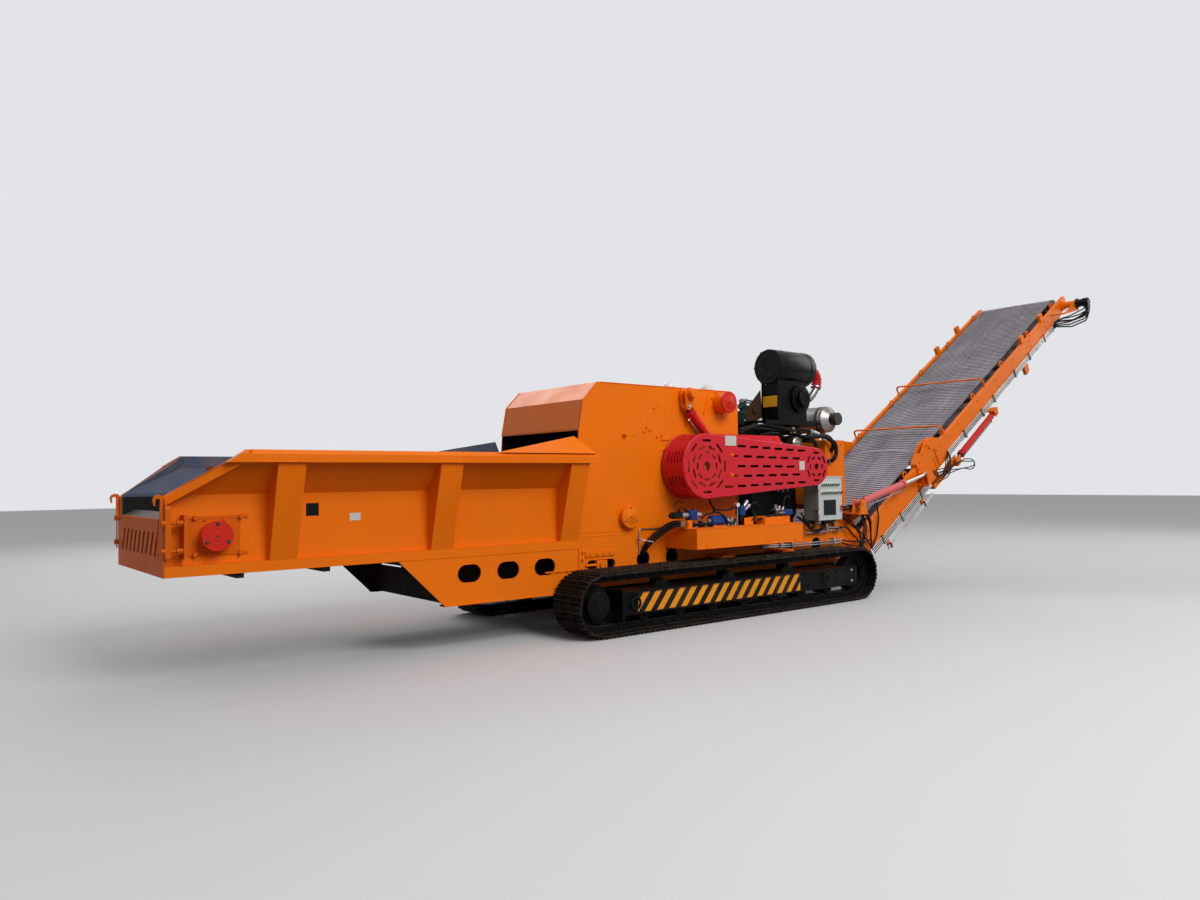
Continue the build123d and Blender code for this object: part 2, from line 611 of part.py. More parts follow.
def press_arm():
    """Tube across the housing with an arm to the roller and a clevis lever at each side."""
    px, pz = ARM_PIVOT
    rx, rz = ROLLER
    cx, cz = CLEVIS
    arm = bar((px, -ARM_END_Y, pz), (px, ARM_END_Y, pz), 56)
    length = hypot(rx - px, rz - pz)
    for side in (-1, 1):
        plate = prism_xz([(0, -62), (length, -75), (length + 85, 0), (length, 75), (0, 62)],
                         side * 640, side * 665)
        arm += Pos(px, 0, pz) * Rot(0, -degrees(atan2(rz - pz, rx - px)), 0) * plate
        for y in (PRESS_Y - 47, PRESS_Y + 29):
            near, far = side * y, side * (y + 18)
            lever = bar((px, near, pz), (px, far, pz), 74) + bar((cx, near, cz), (cx, far, cz), 42)
            lever += prism_xz([(px - 74, pz - 4), (px + 74, pz - 4), (cx + 42, cz), (cx - 42, cz)], near, far)
            arm += lever
    arm -= bar((px, -ARM_END_Y - 1, pz), (px, ARM_END_Y + 1, pz), 38)
    for side in (-1, 1):
        arm -= bar((rx, side * 600, rz), (rx, side * 700, rz), 46)
        for y in (PRESS_Y - 48, PRESS_Y + 28):
            arm -= bar((cx, side * y, cz), (cx, side * (y + 20), cz), 24.5)
    return arm


def press_roller():
    """Drum with rows of teeth that pulls the wood in."""
    rx, rz = ROLLER
    roller = bar((rx, -600, rz), (rx, 600, rz), PRESS_R) + bar((rx, -668, rz), (rx, 668, rz), 44)
    rows = 10
    for row in range(rows):
        turn = 360 / rows * row
        for col in range(5):
            y = -510 + col * 255 + (60 if row % 2 else -60) * (1 if col < 4 else -0.4)
            tooth = prism_xz([(-38, PRESS_R - 6), (30, PRESS_R - 6), (8, PRESS_R + TOOTH)], y - 45, y + 45)
            roller += Pos(rx, 0, rz) * Rot(0, turn, 0) * tooth
    return roller


def cylinder(foot, eye, y, side, barrel_length, rod_start, radius, rod_radius, foot_half, pin_half=0):
    """Hollow barrel with its foot eye, and the rod with its own eye, in the plane y."""
    reach = hypot(eye[0] - foot[0], eye[1] - foot[1])
    turn = degrees(atan2(eye[1] - foot[1], eye[0] - foot[0]))
    yy = side * y
    body_start = 92.0
    barrel = bar((body_start, yy, 0), (barrel_length, yy, 0), radius)
    barrel += bar((barrel_length - 34, yy, 0), (barrel_length, yy, 0), radius * 1.14)
    barrel -= bar((body_start + 20, yy, 0), (barrel_length - 22, yy, 0), rod_radius + 8)
    barrel -= bar((barrel_length - 40, yy, 0), (barrel_length + 5, yy, 0), rod_radius + 1.5)
    barrel += box(0, body_start + 1, side * (y - foot_half), side * (y + foot_half), -26, 26)
    barrel += bar((0, side * (y - foot_half), 0), (0, side * (y + foot_half), 0), 36)
    barrel -= bar((0, side * (y - 60), 0), (0, side * (y + 60), 0), 23)
    # oil port near each end
    for s in (body_start + 40, barrel_length - 70):
        barrel += bar((s, yy, radius - 4), (s, yy, radius + 22), 15)
    rod = bar((rod_start, yy, 0), (reach - 30, yy, 0), rod_radius)
    rod += bar((reach, side * (y - 24), 0), (reach, side * (y + 24), 0), 38)
    if pin_half:
        rod += bar((reach, side * (y - pin_half + 15), 0), (reach, side * (y + pin_half), 0), 20)
    place = Pos(foot[0], 0, foot[1]) * Rot(0, -turn, 0)
    return place * barrel, place * rod


def press_bracket(side):
    """Two ears and a pin on the housing's wall for the foot of the press cylinder."""
    x, z = PRESS_FOOT
    ear = [(x - 45, z - 80), (x + 95, z - 80), (x + 40, z + 30), (x + 8, z + 44), (x - 30, z + 34)]
    bracket = prism_xz(ear, side * HOUSING_Y, side * (PRESS_Y - 27))
    bracket += prism_xz(ear, side * (PRESS_Y + 25), side * (PRESS_Y + 43))
    bracket += box(x - 45, x + 95, side * HOUSING_Y, side * (PRESS_Y + 43), z - 96, z - 79)
    bracket += bar((x, side * (PRESS_Y - 29), z), (x, side * (PRESS_Y + 48), z), 21)
    return bracket


# Crusher rotor with its shaft and the big belt pulley

ROTOR_R = 420.0


def rotor():
    x, z = BIG_PULLEY
    drum = bar((x, -600, z), (x, 600, z), ROTOR_R) + bar((x, -1040, z), (x, 900, z), 70)
    for row in range(8):
        for col in range(2):
            y = -560 + col * 560 + (row % 2) * 60
            hammer = box(-48, 48, y, y + 440, ROTOR_R - 8, ROTOR_R + 60)
            drum += Pos(x, 0, z) * Rot(0, 45 * row, 0) * hammer
    drum += bar((x, -860, z), (x, -1020, z), 300)
    drum -= bar((x, -1000, z), (x, -1021, z), 255) - bar((x, -999, z), (x, -1022, z), 110)
    return drum


def engine_pulley():
    x, z = SMALL_PULLEY
    return bar((x, -860, z), (x, -1020, z), 170) + bar((x, -700, z), (x, -1045, z), 60)


def drive_belts():
    """Five vee belts side by side, drawn as one band with a hair's gap on both pulleys."""
    outer = belt_face(303.0 + 16, 173.0 + 16, -866)
    inner = belt_face(303.0, 173.0, -866)
    length = Vector(0, -146, 0)
    return (Part() + Solid.extrude(outer, length)) - (Part() + Solid.extrude(inner, length))


def belt_face(big_r, small_r, y):
    """Outline round two pulleys in a plane of constant y: two arcs and their common tangents."""
    (xb, zb), (xs, zs) = BIG_PULLEY, SMALL_PULLEY
    span = hypot(xs - xb, zs - zb)
    tilt = atan2(zs - zb, xs - xb)
    lean = acos((big_r - small_r) / span)

    def on(centre, r, turn):
        return Vector(centre[0] + r * cos(turn), y, centre[1] + r * sin(turn))

    b_up, b_low = on((xb, zb), big_r, tilt + lean), on((xb, zb), big_r, tilt - lean)
    s_up, s_low = on((xs, zs), small_r, tilt + lean), on((xs, zs), small_r, tilt - lean)
    edges = [Edge.make_line(b_up, s_up),
             Edge.make_three_point_arc(s_up, on((xs, zs), small_r, tilt), s_low),
             Edge.make_line(s_low, b_low),
             Edge.make_three_point_arc(b_low, on((xb, zb), big_r, tilt + pi), b_up)]
    return Face(Wire(edges))


# Belt guard: deep red cover with rings of round-ended slots about both shafts, rows of them between
# and vents round its big end. Behind its raised rear plate the near press cylinder passes through a notch.

GUARD_BACK_Y = 775.0
GUARD_SKIN = 6.0
GUARD_EDGE = 10.0           # rounding of the front edge
SLOT_HEIGHT = 28.0
SLOT_RINGS = (
    # centre, radius, slot length, count, first slot's angle
    (BIG_PULLEY, 285.0, 130.0, 8, 0.0),
    (BIG_PULLEY, 214.0, 112.0, 8, 22.5),
    (BIG_PULLEY, 148.0, 74.0, 8, 0.0),
    (SMALL_PULLEY, 171.0, 108.0, 6, 30.0),
    (SMALL_PULLEY, 115.0, 70.0, 6, 0.0),
)
HUB_HOLES = (
    # centre, radius
    (BIG_PULLEY, 57.0),
    (SMALL_PULLEY, 42.0),
)
SLOT_ROWS = (
    # first x and z, last x and z, count
    (-1492.0, 1923.0, -422.0, 1884.0, 6),
    (-1392.0, 1806.0, -525.0, 1788.0, 5),
    (-1498.0, 1695.0, -627.0, 1689.0, 5),
    (-1394.0, 1583.0, -524.0, 1593.0, 5),
    (-1712.0, 1462.0, -417.0, 1497.0, 7),
)
SHORT_SLOTS = ((-1590.0, 1810.0), (-1593.0, 1584.0))
VENT_ANGLES = (118.0, 163.0, 208.0, 253.0)
VENT_Y = (-850.0, -900.0, -950.0, -1000.0, -1050.0)


def guard_slots():
    """Everything cut in the front plate, as one set of bodies."""
    slots = Sketch()
    for (cx, cz), radius, length, count, first in SLOT_RINGS:
        for i in range(count):
            turn = first + 360 / count * i
            place = Pos(cx + radius * cos(radians(turn)), cz + radius * sin(radians(turn)))
            slots += place * SlotOverall(length, SLOT_HEIGHT, rotation=turn + 90)
    for (cx, cz), radius in HUB_HOLES:
        slots += Pos(cx, cz) * Circle(radius)
    for x0, z0, x1, z1, count in SLOT_ROWS:
        for i in range(count):
            share = i / (count - 1)
            slots += Pos(x0 + share * (x1 - x0), z0 + share * (z1 - z0)) * SlotOverall(146, SLOT_HEIGHT)
    for x, z in SHORT_SLOTS:
        slots += Pos(x, z) * SlotOverall(76, SLOT_HEIGHT * 0.8)
    return extrude(Plane.XZ.offset(GUARD_FRONT_Y - 20) * slots, amount=40)


def belt_guard():
    depth = Vector(0, -(GUARD_FRONT_Y - GUARD_BACK_Y), 0)
    shell = Part() + Solid.extrude(belt_face(GUARD_BIG_R, GUARD_SMALL_R, -GUARD_BACK_Y), depth)
    front = shell.edges().filter_by_position(Axis.Y, -GUARD_FRONT_Y - 1, -GUARD_FRONT_Y + 1)
    shell = fillet(front, GUARD_EDGE)
    hump = [(-1936, 1600), (-1936, 2066), (-640, 2066), (-560, 1960), (-560, 1600)]
    shell += prism_xz(hump, -GUARD_BACK_Y, -930)
    inside = Vector(0, -(GUARD_FRONT_Y - GUARD_BACK_Y - GUARD_SKIN + 1), 0)
    shell -= Part() + Solid.extrude(belt_face(GUARD_BIG_R - GUARD_SKIN, GUARD_SMALL_R - GUARD_SKIN,
                                              -GUARD_BACK_Y + 1), inside)
    shell -= prism_xz([(-1930, 1650), (-1930, 2060), (-644, 2060), (-566, 1958), (-566, 1650)],
                      -GUARD_BACK_Y + 1, -930 + GUARD_SKIN)
    # notch for the press cylinder, and its raised plate in front
    shell -= box(-2000, -1540, -GUARD_BACK_Y + 1, -892, 1940, 2080)
    shell -= guard_slots()
    cx, cz = BIG_PULLEY
    vents = Part()
    for middle in VENT_ANGLES:
        for y in VENT_Y:
            vent = box(GUARD_BIG_R - 30, GUARD_BIG_R + 20, y - 10, y + 10, -64, 64)
            vents += Pos(cx, 0, cz) * Rot(0, -middle, 0) * vent
    shell -= vents
    # spacers that hold it off the housing's wall
    for x, z in ((-2368, 1872), (-2264, 1402), (-1420, 1386), (-1300, 2049)):
        shell += bar((x, -HOUSING_Y, z), (x, -GUARD_BACK_Y - 12, z), 16)
    return shell


# Engine across the machine, air cleaner, exhaust, radiator

def engine():
    block = box(-560, 300, -420, 560, 1060, 1980)
    block -= box(-561, -470, -300, 480, 1250, 1560)
    block += box(-520, 260, -400, 540, 900, 1061)
    block += prism_yz([(-400, 1979), (-380, 2150), (500, 2150), (520, 1979)], -480, 120)
    for i in range(6):
        y = -350 + i * 140
        block += box(-440, 60, y, y + 112, 2149, 2235)
    block += bar((SMALL_PULLEY[0], -419, SMALL_PULLEY[1]), (SMALL_PULLEY[0], -560, SMALL_PULLEY[1]), 330)
    block += bar((SMALL_PULLEY[0], -559, SMALL_PULLEY[1]), (SMALL_PULLEY[0], -690, SMALL_PULLEY[1]), 210)
    block += box(120, 320, -300, 420, 1980, 2110)
    return block


def radiator():
    core = box(-580, 470, 738, 858, 1010, 2160)
    core -= box(-530, 420, 820, 859, 1060, 2110)
    for i in range(12):
        z = 1100 + i * 86
        core += box(-532, 422, 824, 846, z, z + 24)
    shroud = bar((-55, 640, 1640), (-55, 739, 1640), 400) - bar((-55, 639, 1640), (-55, 738, 1640), 380)
    for x in (-500, 350):
        core += box(x, x + 60, 738, 800, 949, 1011)
    return core + shroud


def air_cleaner():
    y, z = -400, 3000
    body = bar((-205, y, z), (740, y, z), 231)
    body += bar((-222, y, z), (-204, y, z), 205)
    body += bar((-240, y, z), (-221, y, z), 60)
    for x in (-160, 300, 700):
        body += bar((x, y, z), (x + 22, y, z), 237)
    return body


def air_cleaner_stand():
    stand = box(-180, 390, -550, -250, 2290, 2800)
    stand -= box(-120, 330, -500, -300, 2289, 2700)
    stand += bar((305, -549, 2580), (305, -660, 2580), 112)
    stand += prism_xz([(-620, 2260), (-150, 2260), (-150, 2755), (-260, 2740)], -470, -440)
    stand += box(-640, 430, -560, -240, 2236, 2292)
    cradle = bar((-300, -400, 3000), (500, -400, 3000), 237.2)
    return stand - cradle


def intake_elbow():
    return pipe([(741, -400, 2990), (850, -400, 2990), (850, -400, 2560), (560, -400, 2420), (390.2, -400, 2420)],
                52, [95, 95, 60])


def muffler():
    x, z = 930, 2345
    body = bar((x, -500, z), (x, 240, z), 177)
    body += Part() + Solid.make_cone(177, 80, 70, Plane((x, -499, z), z_dir=(0, -1, 0)))
    body += bar((x, -560, z), (x, -664, z), 80)
    body -= bar((x, -580, z), (x, -665, z), 70)
    for y in (-420, 160):
        body += box(x - 20, x + 20, y, y + 30, 2056, z - 150)
    return body


def rear_tank():
    tank = box(685, 1100, -620, 620, 1182, 2055)
    tank += box(700, 1085, -600, 600, 1120, 1183)
    for y in (-380, 380):
        tank += bar((800, y, 2054), (800, y, 2090), 50)
    return tank


def side_tray():
    """Box carrier beside the housing over the track, with the valve bank on it."""
    tray = box(-2370, -590, -HOUSING_Y - 1, -1235, 795, 1018)
    tray += box(-1210, -850, -1180, -900, 1017, 1100)
    return tray


def side_tank():
    """Fuel tank on the far side, over the other track."""
    tank = box(-2370, -590, HOUSING_Y + 1, 1235, 795, 1250)
    tank += bar((-900, 1080, 1249), (-900, 1080, 1290), 55)
    return tank


VALVES = (
    # x, y, z, length of the block, across, height
    (-2230.0, -1080.0, 1018.0, 300.0, 120.0, 150.0),
    (-1760.0, -1010.0, 1018.0, 180.0, 130.0, 190.0),
    (-1500.0, -1090.0, 1018.0, 160.0, 110.0, 130.0),
    (-760.0, -960.0, 1018.0, 120.0, 120.0, 170.0),
)


def valve_bank():
    valves = []
    for x, y, z, length, across, height in VALVES:
        block = box(x, x + length, y - across / 2, y + across / 2, z, z + height)
        block += bar((x - 60, y, z + height * 0.6), (x + length + 60, y, z + height * 0.6), 28)
        block += bar((x + length * 0.5, y, z + height - 5), (x + length * 0.5, y, z + height + 60), 26)
        valves.append(block)
    return valves


# Control cabinet with its door

CABINET = (190.0, 680.0, -875.0, -637.0, 1000.0, 1557.0)
HINGE_Z = (1070.0, 1400.0)


def cabinet():
    x0, x1, y0, y1, z0, z1 = CABINET
    case = box(x0, x1, y0 + 20, y1, z0, z1) - box(x0 + 12, x1 - 12, y0 + 19, y1 - 12, z0 + 12, z1 - 12)
    for x in (x0 + 40, x1 - 90):
        case += box(x, x + 50, y0 + 60, y1 - 20, RAIL_Z[1], z0 + 1)
    # pins of the door's hinges
    for z in HINGE_Z:
        case += bar((x0 - 10, y0 - 6, z - 12), (x0 - 10, y0 - 6, z + 76), 5)
        for low in (z - 24, z + 68):
            case += box(x0 - 18, x0 + 1, y0 - 13, y0 + 50, low, low + 14)
    return case


def cabinet_door():
    x0, x1, y0, y1, z0, z1 = CABINET
    door = box(x0 + 2, x1 - 2, y0, y0 + 14, z0 + 2, z1 - 2)
    for z in HINGE_Z:
        door += box(x0 - 10, x0 + 40, y0 - 9, y0 + 1, z, z + 60) + bar((x0 - 10, y0 - 6, z), (x0 - 10, y0 - 6, z + 60), 11)
        door -= bar((x0 - 10, y0 - 6, z - 1), (x0 - 10, y0 - 6, z + 61), 6.5)
    door -= box(x0 + 95, x1 - 130, y0 - 1, y0 + 8, z0 + 60, z0 + 260)
    for z in (z1 - 202, z1 - 98):
        for i in range(9):
            door += bar((x0 + 56 + i * 43, y0 + 1, z), (x0 + 56 + i * 43, y0 - 16, z), 13)
    door += bar((x1 - 36, y0 + 1, z1 - 202), (x1 - 36, y0 - 22, z1 - 202), 17)
    door += box(x1 - 52, x1 - 20, y0 - 18, y0 + 1, z0 + 120, z0 + 190)
    return door


# Discharge conveyor

PIPE_Y = -BEAM_Y - 13.5
LOWER_PIPE_N = -176.0
UPPER_PIPE_N = -90.0
DRUM_TAIL = (-200.0, 8.0, 150.0)
DRUM_HEAD = (7500.0, 38.0, 120.0)
BELT_TOP = 170.0
ROLLERS_S = (460.0, 1610.0, 2830.0, 3931.0, 5033.0, 6134.0, 7235.0)


def on_slope(shape):
    return Pos(FOOT[0], 0, FOOT[1]) * Rot(0, -SLOPE, 0) * shape


def slope_point(s, n):
    turn = radians(SLOPE)
    return FOOT[0] + s * cos(turn) - n * sin(turn), FOOT[1] + s * sin(turn) + n * cos(turn)


def slope_beam(points, side):
    return prism_xz(points, side * (BEAM_Y - BEAM_WIDTH), side * BEAM_Y)


HINGE_HALF = (BEAM_Y - BEAM_WIDTH - 23.0, BEAM_Y + 23.0)    # over the two cheeks
FOLD_Y = 890.0
FOLD_FOOT = (4080.0, -240.0)       # barrel's pin under the upper section
FOLD_EYE = (2700.0, -255.0)        # rod's pin on the lower section's arm


def lower_frame():
    """Lower section: two box beams on the foot pins, with the hinge cheeks and cylinder arms."""
    frame = None
    end = SPLIT_S - SPLIT_GAP / 2
    cheek = [(1800, 60), (1830, 205), (2150, 345), (2335, 345), (2350, 180), (2300, 90)]
    pad = [(1800, 60), (1830, 205), (2010, 284), (2010, 149), (2280, 149), (2280, 60)]
    for side in (-1, 1):
        piece = slope_beam([(-150, -80), (-60, -200), (140, LOWER_BOTTOM), (end, LOWER_BOTTOM),
                            (end, BEAM_TOP), (-110, BEAM_TOP), (-150, 90)], side)
        for outline, inner, outer in ((cheek, HINGE_HALF[0], HINGE_HALF[0] + 17),
                                      (cheek, HINGE_HALF[1] - 17, HINGE_HALF[1]),
                                      (pad, HINGE_HALF[0], HINGE_HALF[1])):
            piece += prism_xz(outline, side * inner, side * outer)
        piece += bar((FOLD_S, side * HINGE_HALF[0], FOLD_N), (FOLD_S, side * (HINGE_HALF[1] + 14), FOLD_N), 30)
        # clevis of the lift cylinder's rod eye, on a shelf
        ear = [(1700, -60), (1752, 106), (1856, 106), (1915, -60)]
        for y in (LIFT_Y - 46, LIFT_Y + 29):
            piece += prism_xz(ear, side * y, side * (y + 17))
        piece += box(1690, 1925, side * (BEAM_Y - 1), side * (LIFT_Y + 46), -78, -58)
        piece += box(1800, 1816, side * (BEAM_Y - 1), side * (LIFT_Y - 30), -59, 60)
        # arm under the upper section with the clevis of the fold cylinder's rod eye
        arm = [(2000, -268), (2290, -268), (2460, -205), (2760, -205), (2760, -300), (2640, -330), (2000, -330)]
        piece += prism_xz(arm, side * (FOLD_Y - 47), side * (FOLD_Y - 29))
        piece += box(2000, 2270, side * (BEAM_Y - 40), side * (FOLD_Y - 29), -330, LOWER_BOTTOM + 1)
        piece += prism_xz([(2630, -205), (2760, -205), (2760, -300), (2700, -330), (2630, -330)],
                          side * (FOLD_Y + 29), side * (FOLD_Y + 46))
        piece += box(2635, 2700, side * (FOLD_Y - 47), side * (FOLD_Y + 46), -330, -309)
        piece += bar((0, side * (HOUSING_Y - PLATE - 14), 0), (0, side * (BEAM_Y + 26), 0), PIN_R)
        frame = piece if frame is None else frame + piece
    inside = BEAM_Y - BEAM_WIDTH + 1
    for s in (420.0, 1300.0, 2100.0):
        frame += box(s, s + 70, -inside, inside, LOWER_BOTTOM + 6, LOWER_BOTTOM + 66)
    frame += roller_hangers("lower")
    return on_slope(frame)


def roller_hangers(section):
    """D-shaped straps on the beams' inner edges that hold the ends of the belt rollers."""
    hangers = Part()
    for s in ROLLERS_S:
        if (s < SPLIT_S) == (section == "lower"):
            for side in (-1, 1):
                inner, outer = side * (BEAM_Y - BEAM_WIDTH - 22), side * (BEAM_Y - BEAM_WIDTH - 8)
                strap = bar((s, inner, BEAM_TOP + 18), (s, outer, BEAM_TOP + 18), 52)
                strap -= bar((s, inner - side, BEAM_TOP + 18), (s, outer + side, BEAM_TOP + 18), 36)
                strap += box(s - 52, s + 52, inner, side * (BEAM_Y - BEAM_WIDTH + 4), 60, BEAM_TOP - 4)
                strap -= bar((s, inner - side, BELT_TOP - 58), (s, outer + side * 13, BELT_TOP - 58), 17)
                hangers += strap
    return hangers


ARM_Y = 1040.0              # inner face of the head motor's torque arm


def torque_arm():
    """Plate that carries the head motor, tied to the near beam by a bar at its thin end."""
    ds, dn, r = DRUM_HEAD
    plate = [(6985, 104), (6998, 76), (7491, -89), (7560, -64), (7616, 71), (7588, 96)]
    arm = prism_xz(plate, -ARM_Y, -ARM_Y - 12)
    arm += prism_xz([(6998, 76), (7491, -89), (7491, -79), (6998, 86)], -ARM_Y + 34, -ARM_Y)
    arm += box(6975, 7003, -BEAM_Y + 4, -ARM_Y - 6, 84, 104)
    arm += bar((ds, -BEAM_Y + 1, dn), (ds, -BEAM_Y - 34, dn), 88)
    arm += bar((ds, -BEAM_Y - 33, dn), (ds, -ARM_Y - 1, dn), 58)
    arm -= bar((ds, -BEAM_Y + 65, dn), (ds, -ARM_Y - 13, dn), 41)
    return arm


def upper_frame():
    """Upper section: two tapering box beams with hinge lugs, cylinder ears, posts and hoops."""
    frame = None
    start = SPLIT_S + SPLIT_GAP / 2
    for side in (-1, 1):
        piece = slope_beam([(start, UPPER_BOTTOM), (6900, UPPER_BOTTOM), (7590, -20), (HEAD_S, 90),
                            (HEAD_S - 20, BEAM_TOP), (start, BEAM_TOP)], side)
        lug = [(start + 6, 140), (start + 6, 166), (FOLD_S - 56, 210), (FOLD_S - 66, 270), (FOLD_S - 20, 322),
               (2420, 322), (2590, 200), (2620, 140)]
        piece += prism_xz(lug, side * (HINGE_HALF[0] + 24), side * (HINGE_HALF[1] - 24))
        piece -= bar((FOLD_S, side * 700, FOLD_N), (FOLD_S, side * 850, FOLD_N), 31)
        piece += prism_xz([(2372, -150), (2610, -61), (2598, 147), (2372, 147)], side * (BEAM_Y - 1), side * (BEAM_Y + 16))
        # ears of the fold cylinder's foot under the beam
        fs, fn = FOLD_FOOT
        ear = [(fs - 40, UPPER_BOTTOM - 2), (fs + 90, UPPER_BOTTOM - 2), (fs + 60, fn - 44), (fs - 34, fn - 44)]
        for y in (FOLD_Y - 47, FOLD_Y + 29):
            piece += prism_xz(ear, side * y, side * (y + 18))
        piece += box(fs - 40, fs + 90, side * (BEAM_Y - 50), side * (FOLD_Y + 47), UPPER_BOTTOM - 18, UPPER_BOTTOM + 1)
        piece += bar((fs, side * (FOLD_Y - 54), fn), (fs, side * (FOLD_Y + 54), fn), 21)
        for s in (5817.0, 6652.0):
            piece += box(s - 55, s + 55, side * (BEAM_Y - 58), side * (BEAM_Y - 4), BEAM_TOP - 2, 275)
        frame = piece if frame is None else frame + piece
    inside = BEAM_Y - BEAM_WIDTH + 1
    for s in (2500.0, 3600.0, 4700.0, 5800.0, 6800.0):
        frame += box(s, s + 70, -inside, inside, UPPER_BOTTOM + 4, UPPER_BOTTOM + 44)
    frame += roller_hangers("upper")
    # leg under each beam that the folded section rests on
    for side in (-1, 1):
        leg = [(5585, UPPER_BOTTOM + 2), (5735, UPPER_BOTTOM + 2), (5722, -322), (5668, -352), (5598, -352)]
        frame += prism_xz(leg, side * (BEAM_Y - BEAM_WIDTH + 2), side * (BEAM_Y - 3))
    frame += torque_arm()
    for s in (2785.0, 4274.0):
        foot_y = BEAM_Y - BEAM_WIDTH / 2
        frame += pipe([(s, -foot_y, BEAM_TOP - 4), (s, -foot_y, 300), (s, foot_y, 300), (s, foot_y, BEAM_TOP - 4)], 14, 60)
    return on_slope(frame)


def belt_run(s0, s1, drum):
    """Half a belt loop: top run, return run and the wrap round its drum, open at the fold."""
    ds, dn, r = drum
    low = dn - r
    wrap = 1 if ds > s0 + 1 else -1
    top = box(s0 if wrap > 0 else ds, ds if wrap > 0 else s1, -BELT_HALF, BELT_HALF,
              dn + r, dn + r + BELT_THICKNESS)
    under = box(s0 if wrap > 0 else ds, ds if wrap > 0 else s1, -BELT_HALF, BELT_HALF,
                low - BELT_THICKNESS, low)
    ring = bar((ds, -BELT_HALF, dn), (ds, BELT_HALF, dn), r + BELT_THICKNESS)
    ring -= bar((ds, -BELT_HALF - 1, dn), (ds, BELT_HALF + 1, dn), r)
    cut0, cut1 = (ds - 400, ds) if wrap > 0 else (ds, ds + 400)
    ring -= box(cut0, cut1, -BELT_HALF - 2, BELT_HALF + 2, dn - 400, dn + 400)
    return top + under + ring


def conveyor_rollers(section):
    drum = DRUM_TAIL if section == "lower" else DRUM_HEAD
    ds, dn, r = drum
    drums = bar((ds, -BELT_HALF, dn), (ds, BELT_HALF, dn), r - 0.5)
    drums += bar((ds, -BEAM_Y + BEAM_WIDTH, dn), (ds, BEAM_Y - BEAM_WIDTH, dn), 40)
    pieces = [drums]
    for s in ROLLERS_S:
        if (s < SPLIT_S) == (section == "lower"):
            roller = bar((s, -640, BELT_TOP - 13 - 45), (s, 640, BELT_TOP - 13 - 45), 44)
            roller += bar((s, -BEAM_Y + BEAM_WIDTH, BELT_TOP - 58), (s, BEAM_Y - BEAM_WIDTH, BELT_TOP - 58), 16)
            pieces.append(roller)
    return [on_slope(piece) for piece in pieces]


MOTOR_END = 1262.0


def head_motor():
    """Hydraulic motor on the torque arm, with two port blocks."""
    ds, dn, r = DRUM_HEAD
    motor = bar((ds, -ARM_Y - 13, dn), (ds, -ARM_Y - 38, dn), 86)
    motor += bar((ds, -ARM_Y - 37, dn), (ds, -ARM_Y - 130, dn), 66)
    motor += bar((ds, -ARM_Y - 129, dn), (ds, -MOTOR_END + 12, dn), 76)
    motor += bar((ds, -MOTOR_END + 13, dn), (ds, -MOTOR_END, dn), 60)
    motor += box(ds - 62, ds + 62, -MOTOR_END + 70, -MOTOR_END + 16, dn - 96, dn - 40)
    return on_slope(motor)


def head_hoses():
    """Three hoses that loop from the beam's pipes up to the head motor's port block."""
    ds, dn, r = DRUM_HEAD
    port_y = -MOTOR_END + 43
    hoses = []
    for i in range(3):
        n = UPPER_PIPE_N - i * 25
        hoses.append(on_slope(pipe([(6882, PIPE_Y, n), (7010, PIPE_Y, n - 8), (7150, -985 - i * 20, n - 60 - i * 22),
                                    (7330 + i * 24, port_y + 30, n - 66 - i * 26), (ds - 36 + i * 36, port_y, dn - 170),
                                    (ds - 36 + i * 36, port_y, dn - 97)], 12, [50, 90, 90, 48])))
    return hoses


def chip_pan():
    """Level part of the chip conveyor under the rotor, between the rails."""
    pan = prism_yz([(-608, 560), (-608, 345), (608, 345), (608, 560), (594, 560), (594, 358), (-594, 358),
                    (-594, 560)], -3050, 640)
    pan += box(-3050, 600, -570, 570, 470, 482)
    for x in (-2900, -2000, -1100, -200):
        pan += box(x, x + 50, -595, 595, 357, 471)
    for x in CROSS_X:
        pan += box(x - 60, x + 60, -500, 500, 330, 346)
    return pan


def hard_pipes():
    """Hydraulic lines clipped along the near beams of both sections."""
    lower = []
    upper = []
    for i in range(4):
        n = LOWER_PIPE_N - i * 28
        lower.append(on_slope(bar((240, PIPE_Y, n), (1980, PIPE_Y, n), 12.5)))
        m = UPPER_PIPE_N - i * 25
        upper.append(on_slope(bar((2700, PIPE_Y, m), (6880, PIPE_Y, m), 12)))
    # second pair, lower down, that goes on to the fold cylinders
    for i in range(2):
        n = -388 - i * 30
        lower.append(on_slope(bar((600, PIPE_Y + 16, n), (1980, PIPE_Y + 16, n), 12.5)))
    for s in (640.0, 1680.0):
        lower.append(on_slope(box(s, s + 60, PIPE_Y + 29, PIPE_Y + 60, -440, LOWER_BOTTOM - 1)))
    return lower, upper


def tray_hoses():
    """Four hoses from the tray's valves down into the housing's round hole, and a thin pipe beside them."""
    hoses = []
    for i in range(4):
        y = -1120 + i * 62
        hoses.append(pipe([(-2292, y, 1106 - i * 8), (-2440, y + 12, 1112), (-2600, y + 110, 1040 - i * 12),
                           (-2680 - i * 12, -850 + i * 16, 860 - i * 16), (-2726 + i * 22, -735, 716 - i * 8),
                           (-2726 + i * 22, -640, 690)], 15, [70, 110, 110, 70]))
    hoses.append(pipe([(-2790, -748, 740), (-2790, -748, 1012), (-2372, -748, 1012)], 8, 40))
    return hoses


